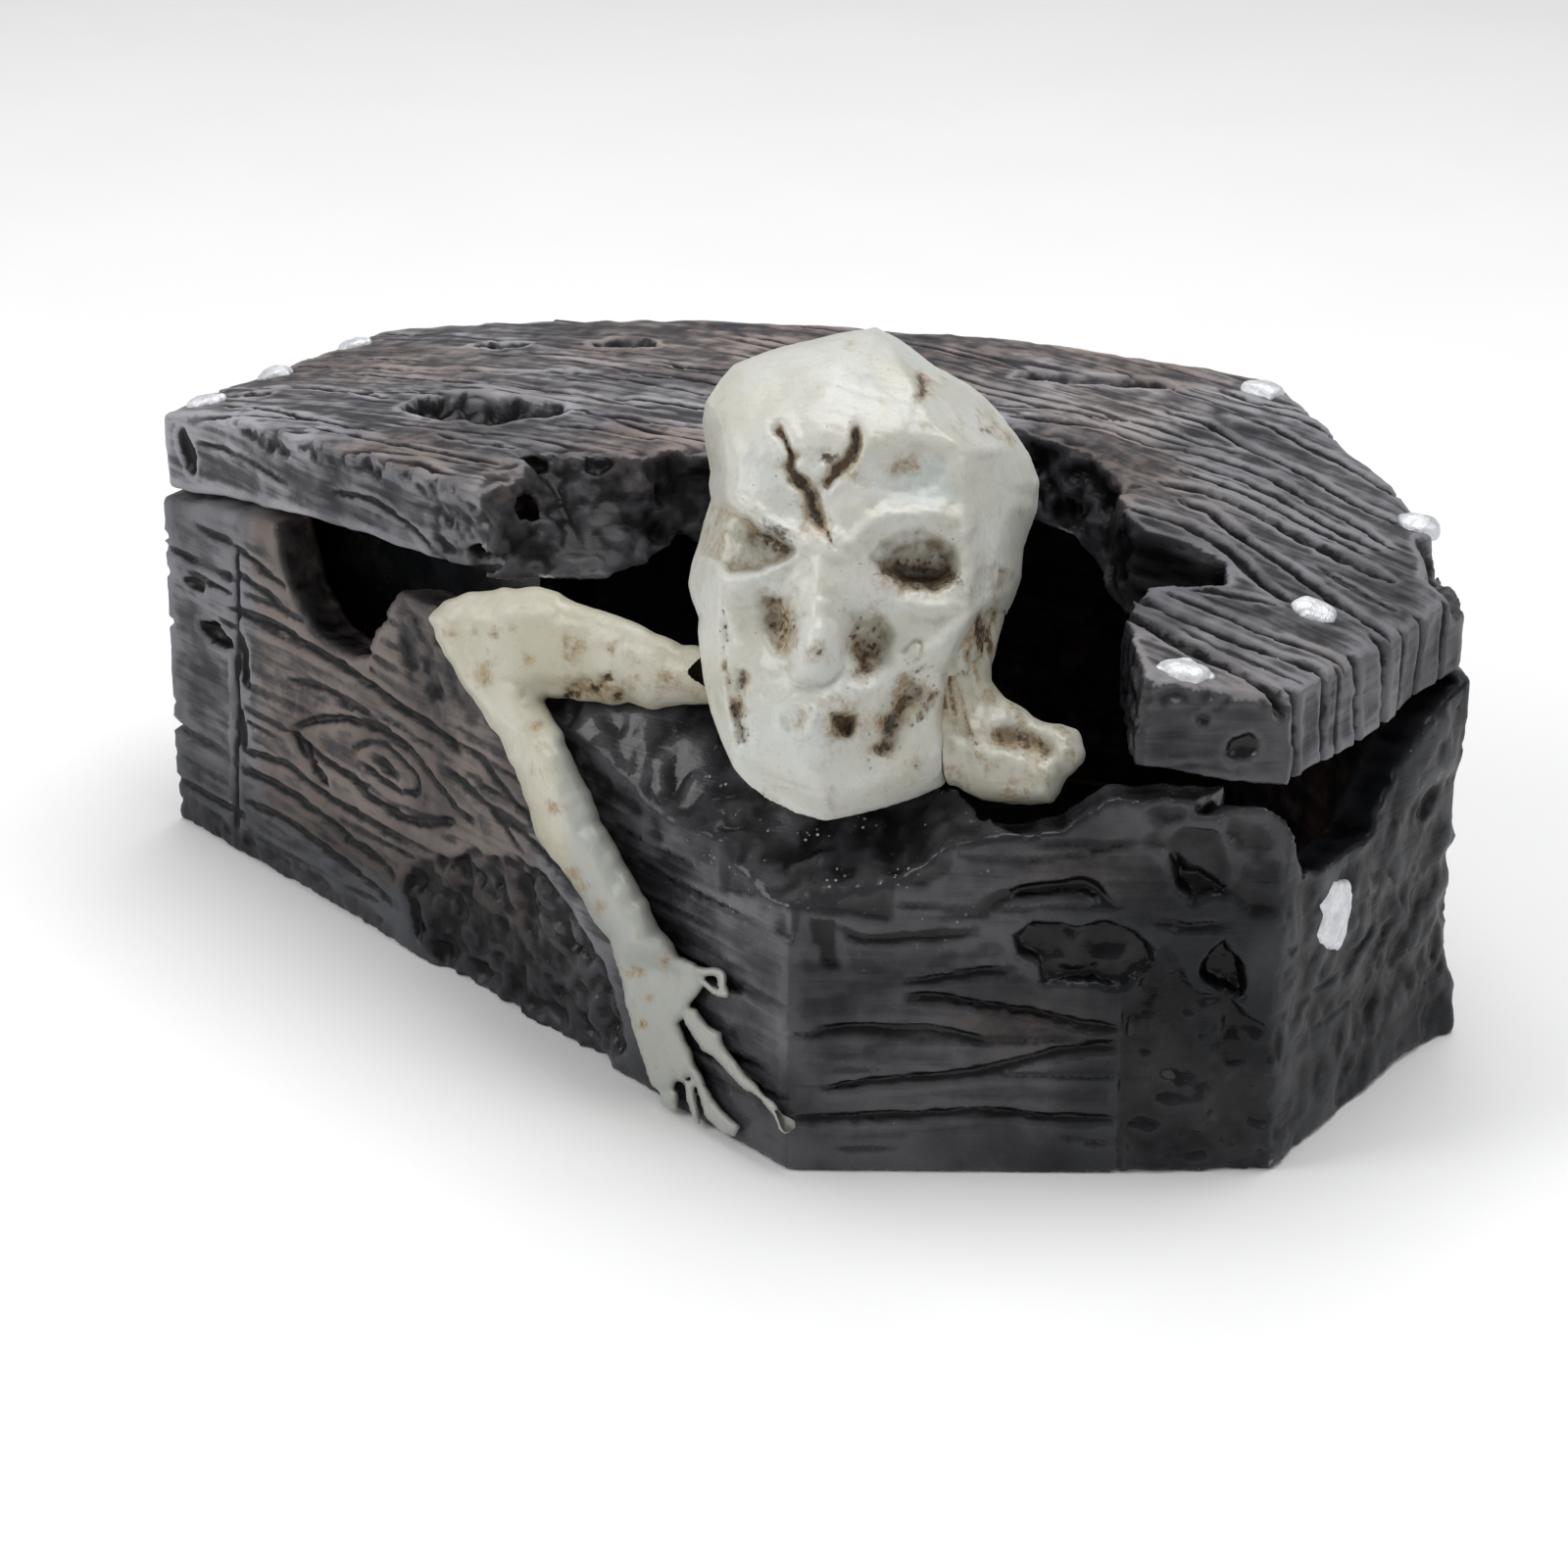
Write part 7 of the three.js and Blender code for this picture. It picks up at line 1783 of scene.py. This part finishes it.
def bone_finish(name, ivory, pale, cool_c, coat):
    m = Finish(name)
    fine, mid, broad = m.attr("hollow", 0), m.attr("hollow", 1), m.attr("hollow", 2)
    stain, deep, cool = m.attr("mark", 0), m.attr("mark", 1), m.attr("mark", 2)
    p = m.pos()
    patch = m.noise(p, 120.0, 3.0, 0.55, 0.4)
    mott = m.noise(p, 520.0, 4.0, 0.62)
    grit = m.noise(p, 2300.0, 3.0, 0.6)
    body = m.mix(m.band(patch, 0.35, 0.65), ivory, pale)
    # bluish paint, and the painted shade of the forearm's shaded side
    body = m.mix(m.math("MULTIPLY", m.band(cool, 0.3, 0.95), 0.75), body, cool_c)
    body = m.mix(m.math("MULTIPLY", m.band(mott, 0.52, 0.72), 0.22), body, rgb(188, 176, 146))
    # a thin grey wash mottled all over, with painted shade in the broad hollows
    grey_wash_and_hollow_shade = m.math("ADD", m.math("MULTIPLY", m.math("MAXIMUM", broad, 0.0), 0.5), m.math("MULTIPLY", m.math("MAXIMUM", mid, 0.0), 0.4))
    grey_wash_and_hollow_shade = m.math("ADD", grey_wash_and_hollow_shade, m.band(m.noise(p, 260.0, 5.0, 0.65, 0.6), 0.5, 0.75, 0.0, 0.42))
    body = m.mix(m.math("MULTIPLY", m.band(grey_wash_and_hollow_shade, 0.05, 0.9), 0.55), body, rgb(128, 130, 120))
    body = m.mix(m.math("MULTIPLY", m.band(m.noise(p, 1700.0, 4.0, 0.65), 0.55, 0.7), 0.2), body, rgb(140, 134, 114))
    # ochre wash where it was left in the hollows
    w = m.math("ADD", m.math("MULTIPLY", stain, 1.15), m.math("MULTIPLY", m.math("MAXIMUM", mid, 0.0), 0.28))
    w = m.math("ADD", w, m.math("MULTIPLY", m.math("MAXIMUM", broad, 0.0), 0.16))
    w = m.math("ADD", w, m.math("MULTIPLY", m.math("SUBTRACT", mott, 0.5), 1.5))
    w = m.math("ADD", w, m.math("MULTIPLY", m.math("SUBTRACT", m.noise(p, 1500.0, 3.0, 0.6), 0.5), 0.9))
    w = m.band(w, 0.14, 1.15)
    w = m.math("MULTIPLY", w, m.band(m.noise(p, 2400.0, 3.0, 0.6), 0.36, 0.6, 0.55, 1.0))
    body = m.mix(m.math("MULTIPLY", w, 0.85), body, m.mix(m.band(mott, 0.38, 0.62), rgb(158, 136, 94), rgb(126, 94, 52)))
    d = m.math("ADD", deep, m.math("MULTIPLY", m.math("SUBTRACT", grit, 0.5), 1.7))
    d = m.math("ADD", d, m.math("MULTIPLY", m.math("SUBTRACT", m.noise(p, 1100.0, 3.0, 0.6), 0.5), 0.9))
    d = m.math("ADD", d, m.math("MULTIPLY", m.math("MAXIMUM", fine, 0.0), 0.1))
    body = m.mix(m.math("MULTIPLY", m.band(d, 0.28, 0.95), 0.92), body, m.mix(m.band(mott, 0.4, 0.6), rgb(82, 56, 30), rgb(38, 29, 22)))
    # stray brown specks
    sp = m.math("MULTIPLY", m.band(m.cell(p, 900.0), 0.13, 0.07), m.band(m.noise(p, 330.0, 2.0, 0.5), 0.56, 0.64))
    body = m.mix(m.math("MULTIPLY", sp, 0.55), body, rgb(120, 92, 56))
    m.set(Base_Color=body)
    rough = m.math("ADD", m.band(patch, 0.3, 0.7, 0.34, 0.46), m.math("MULTIPLY", m.math("SUBTRACT", mott, 0.5), 0.3))
    rough = m.math("ADD", rough, m.math("MULTIPLY", w, 0.14), clamp=True)
    m.set(Roughness=rough, Coat_Weight=m.band(mott, 0.3, 0.7, coat * 0.6, coat))
    m.b.inputs["Coat Roughness"].default_value = 0.22
    m.b.inputs["Subsurface Weight"].default_value = 0.04
    m.b.inputs["Subsurface Radius"].default_value = (0.002, 0.0014, 0.001)
    m.b.inputs["Subsurface Scale"].default_value = 0.5
    n1 = m.bump(mott, 0.3, 0.0003)
    n2 = m.bump(m.math("ADD", grit, m.math("MULTIPLY", m.band(m.cell(p, 1500.0), 0.0, 0.5), 0.5)), 0.22, 0.00015, n1)
    m.set(Normal=n2)
    return m.m


def nail_finish(name):
    m = Finish(name)
    p = m.pos()
    mott = m.noise(p, 700.0, 4.0, 0.6)
    grit = m.noise(p, 3200.0, 3.0, 0.65)
    body = m.mix(m.band(mott, 0.35, 0.65), rgb(214, 216, 220), rgb(240, 241, 244))
    body = m.mix(m.math("MULTIPLY", m.band(grit, 0.58, 0.72), 0.35), body, rgb(150, 152, 158))
    m.set(Base_Color=body, Roughness=m.band(mott, 0.3, 0.7, 0.34, 0.52), Metallic=m.band(grit, 0.4, 0.6, 0.25, 0.55))
    m.set(Normal=m.bump(m.math("ADD", grit, mott), 0.45, 0.0003))
    return m.m


def plain_finish(name, c1, c2, rough=(0.35, 0.5), metal=0.0, scale=500.0, bump=0.12, depth=0.0001, trans=0.0, alpha=None, streak=None, coat=0.0, ior=None):
    """moulded or turned small parts: slight colour variation, dull patches, fine scratches and dust"""
    m = Finish(name)
    p = m.pos()
    mott = m.noise(p, scale, 4.0, 0.6)
    fine = m.noise(m.scaled(p, streak or (1.0, 1.0, 1.0)), scale * 6, 3.0, 0.6)
    dust = m.noise(p, scale * 0.3, 3.0, 0.6)
    body = m.mix(m.band(mott, 0.35, 0.65), c1, c2)
    body = m.mix(m.math("MULTIPLY", m.band(dust, 0.56, 0.76), 0.25), body, rgb(150, 146, 138))
    m.set(Base_Color=body, Roughness=m.math("ADD", m.band(mott, 0.3, 0.7, rough[0], rough[1]), m.math("MULTIPLY", m.band(dust, 0.5, 0.8), 0.15), clamp=True))
    m.set(Normal=m.bump(m.math("ADD", fine, m.math("MULTIPLY", mott, 0.6)), bump, depth))
    m.b.inputs["Metallic"].default_value = metal
    m.b.inputs["Coat Weight"].default_value = coat
    if trans:
        m.b.inputs["Transmission Weight"].default_value = trans
    if ior:
        m.b.inputs["IOR"].default_value = ior
    return m.m


wood = wood_finish("coffin_painted_resin", 0)
bone_skull = bone_finish("skull_painted_resin", rgb(196, 195, 183), rgb(206, 207, 201), rgb(190, 198, 197), 0.35)
bone_arm = bone_finish("arm_painted_resin", rgb(184, 179, 158), rgb(195, 192, 177), rgb(142, 149, 150), 0.25)
bone_neck = bone_finish("neck_painted_resin", rgb(186, 181, 162), rgb(197, 196, 184), rgb(182, 187, 182), 0.3)
silver = nail_finish("silver_paint")
FINISHES = {
    "hinge_lug": plain_finish("black_hinge_plastic", rgb(26, 26, 28), rgb(38, 38, 41), (0.36, 0.5), scale=600),
    "hinge_knuckle": plain_finish("black_knuckle_plastic", rgb(24, 24, 26), rgb(36, 36, 38), (0.36, 0.5), scale=600),
    "hinge_pin": plain_finish("stainless_pin", rgb(186, 188, 190), rgb(204, 205, 206), (0.2, 0.34), 1.0, 900, 0.15, streak=(8, 1, 1)),
    "bell_screw": plain_finish("stainless_screw", rgb(180, 182, 184), rgb(200, 201, 202), (0.22, 0.38), 1.0, 900, 0.2),
    "pin_retainer": plain_finish("white_retainer_plastic", rgb(212, 212, 206), rgb(226, 226, 221), (0.34, 0.46), scale=700),
    "air_bell": plain_finish("smoked_plastic", rgb(30, 32, 34), rgb(44, 46, 48), (0.12, 0.24), scale=350, trans=0.35, ior=1.49),
    "air_inlet_nipple": plain_finish("grey_nipple_plastic", rgb(120, 122, 124), rgb(140, 142, 143), (0.34, 0.46), scale=650),
    "air_stone_stem": plain_finish("stem_plastic", rgb(196, 198, 196), rgb(214, 215, 212), (0.34, 0.46), scale=650),
    "inlet_grommet": plain_finish("black_grommet_rubber", rgb(22, 22, 23), rgb(34, 34, 35), (0.62, 0.8), scale=800, bump=0.25),
    "air_hose": plain_finish("clear_silicone", rgb(196, 204, 204), rgb(214, 220, 218), (0.22, 0.34), scale=350, trans=0.55, ior=1.41),
    "stone_clip": plain_finish("clip_plastic", rgb(40, 42, 46), rgb(54, 56, 60), (0.34, 0.48), scale=650),
    "air_stone": plain_finish("sintered_stone", rgb(60, 104, 140), rgb(96, 140, 168), (0.85, 0.95), scale=1400, bump=0.9, depth=0.0006),
}


def finish_of(name):
    best = max((k for k in FINISHES if name.startswith(k)), key=len, default=None)
    return FINISHES[best] if best else None


def give(ob, mat):
    ob.data.materials.clear()
    ob.data.materials.append(mat)


for ob, mat in ((base, wood), (lid, wood), (skull, bone_skull), (neck, bone_neck), (arm, bone_arm), (nails, silver), (wall_nail, silver)):
    give(ob, mat)
DEFAULTS = {"coffin_base": wood, "coffin_lid": wood, "skull": bone_skull, "neck_and_collarbone": bone_neck, "arm_and_hand": bone_arm}
for name, node in NODES.items():
    mat = DEFAULTS.get(name) or finish_of(name)
    if mat is not None and node.data is not None:
        if len(node.data.materials) == 0:
            node.data.materials.append(mat)
        for i in range(len(node.data.materials)):
            node.data.materials[i] = mat

# ------------------------------------------------------------------ small fittings, with their edges eased
SLOTS = {"hinge_lug": "black_hinge_plastic", "hinge_knuckle": "black_hinge_plastic", "hinge_pin": "stainless_steel", "bell_screw": "stainless_steel",
         "pin_retainer": "retainer_plastic", "air_bell": "smoked_plastic", "air_inlet_nipple": "nipple_plastic", "air_stone_stem": "stem_plastic",
         "inlet_grommet": "grommet_rubber", "air_hose": "silicone_hose", "stone_clip": "clip_plastic"}
ON_LID = ("hinge_knuckle", "air_bell", "bell_screw")
for name, node in sorted(NODES.items()):
    key = max((k for k in SLOTS if name.startswith(k)), key=len, default=None)
    if key is None:
        continue
    me = node.data.copy()
    me.name = name + "_eased"
    ob = bpy.data.objects.new(name + "_eased", me)
    bpy.context.scene.collection.objects.link(ob)
    co = np.zeros(len(me.vertices) * 3, F32)
    me.vertices.foreach_get("co", co)
    co = co.reshape(-1, 3)
    if key == "hinge_knuckle":
        co[:, 2] = np.minimum(co[:, 2], 0.0463)      # the strap ends below the lid's worn edge
        me.vertices.foreach_set("co", co.ravel())
    size = (co.max(0) - co.min(0)).min()
    me.polygons.foreach_set("use_smooth", np.ones(len(me.polygons), bool))
    bev = ob.modifiers.new("eased", "BEVEL")
    bev.limit_method = "ANGLE"
    bev.angle_limit = math.radians(38)
    bev.width = min(0.00022, 0.09 * float(size))
    bev.segments = 2
    bev.harden_normals = True
    bev.use_clamp_overlap = True
    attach(ob, "lid" if key in ON_LID else "coffin")
    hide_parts(name)
    give(ob, finish_of(name))

# the stone: fused grains with a rounded edge
a, b = [np.array(v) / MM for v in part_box("air_stone")]
h = 0.3
ax = grid_axes(a - 1, b + 1, h)
x, y, z = np.meshgrid(*ax, indexing="ij")
cy, cz, r = (a[1] + b[1]) / 2, (a[2] + b[2]) / 2, min(b[1] - a[1], b[2] - a[2]) / 2
rad = np.hypot(y - cy, z - cz) - (r - 0.35)
end = np.abs(x - (a[0] + b[0]) / 2) - ((b[0] - a[0]) / 2 - 0.3)
d = smax(rad, end, 1.2) + 0.28 * (cells(x * 1.5, y * 1.5, z * 1.5, 501) - 0.5) + 0.08 * noise(x * 2.2, y * 2.2, z * 2.2, 502)
v, f = surface(d.astype(F32), [t[0] for t in ax], h)
v, f = largest(v, f)
stone = make_object("air_stone_sintered", v, f)
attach(stone, "coffin")
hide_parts("air_stone")
give(stone, FINISHES["air_stone"])

# ------------------------------------------------------------------ floor, light and camera
me = bpy.data.meshes.new("floor")
S = 1.6
me.from_pydata([(-S, -S, -0.0001), (S, -S, -0.0001), (S, S, -0.0001), (-S, S, -0.0001)], [], [(0, 1, 2, 3)])
floor = bpy.data.objects.new("floor", me)
bpy.context.scene.collection.objects.link(floor)
fm = Finish("pale_floor")
fn = fm.noise(fm.pos(), 30.0, 3.0, 0.5)
fm.set(Base_Color=fm.mix(fm.band(fn, 0.3, 0.7), (0.97, 0.97, 0.975, 1), (0.98, 0.98, 0.98, 1)), Roughness=fm.band(fn, 0.3, 0.7, 0.75, 0.85))
fm.b.inputs["Specular IOR Level"].default_value = 0.1
me.materials.append(fm.m)

world = bpy.data.worlds.new("studio")
world.use_nodes = True
world.node_tree.nodes["Background"].inputs[0].default_value = (1.0, 1.0, 1.0, 1)
world.node_tree.nodes["Background"].inputs[1].default_value = 0.36
bpy.context.scene.world = world


def area(name, loc, aim, size, power, color=(1, 1, 1)):
    li = bpy.data.lights.new(name, "AREA")
    li.shape = "RECTANGLE"
    li.size, li.size_y = size
    li.energy = power
    li.color = color
    ob = bpy.data.objects.new(name, li)
    bpy.context.scene.collection.objects.link(ob)
    ob.location = loc
    ob.rotation_euler = (Vector(aim) - Vector(loc)).to_track_quat("-Z", "Y").to_euler()
    return ob


area("overhead", (0.02, 0.12, 0.60), (0, 0, 0.03), (0.5, 0.4), 2.5)
area("front", (-0.36, -0.42, 0.34), (0, 0, 0.03), (0.35, 0.35), 1.5)
area("side", (0.55, -0.10, 0.26), (0, 0, 0.03), (0.3, 0.3), 0.32, (0.95, 0.98, 1.0))

cam_data = bpy.data.cameras.new("camera")
cam_data.lens = 87.372
cam_data.sensor_width = 36.0
cam_data.clip_start, cam_data.clip_end = 0.01, 10.0
cam = bpy.data.objects.new("camera", cam_data)
bpy.context.scene.collection.objects.link(cam)
R, U_, B_ = ACROSS, UPWARD, OUTWARD
cam.matrix_world = Matrix(((R[0], U_[0], B_[0], 0.1889703), (R[1], U_[1], B_[1], -0.2745374), (R[2], U_[2], B_[2], 0.1629333), (0, 0, 0, 1)))
bpy.context.scene.camera = cam
bpy.context.scene.view_settings.view_transform = "Standard"
bpy.context.scene.view_settings.look = "None"
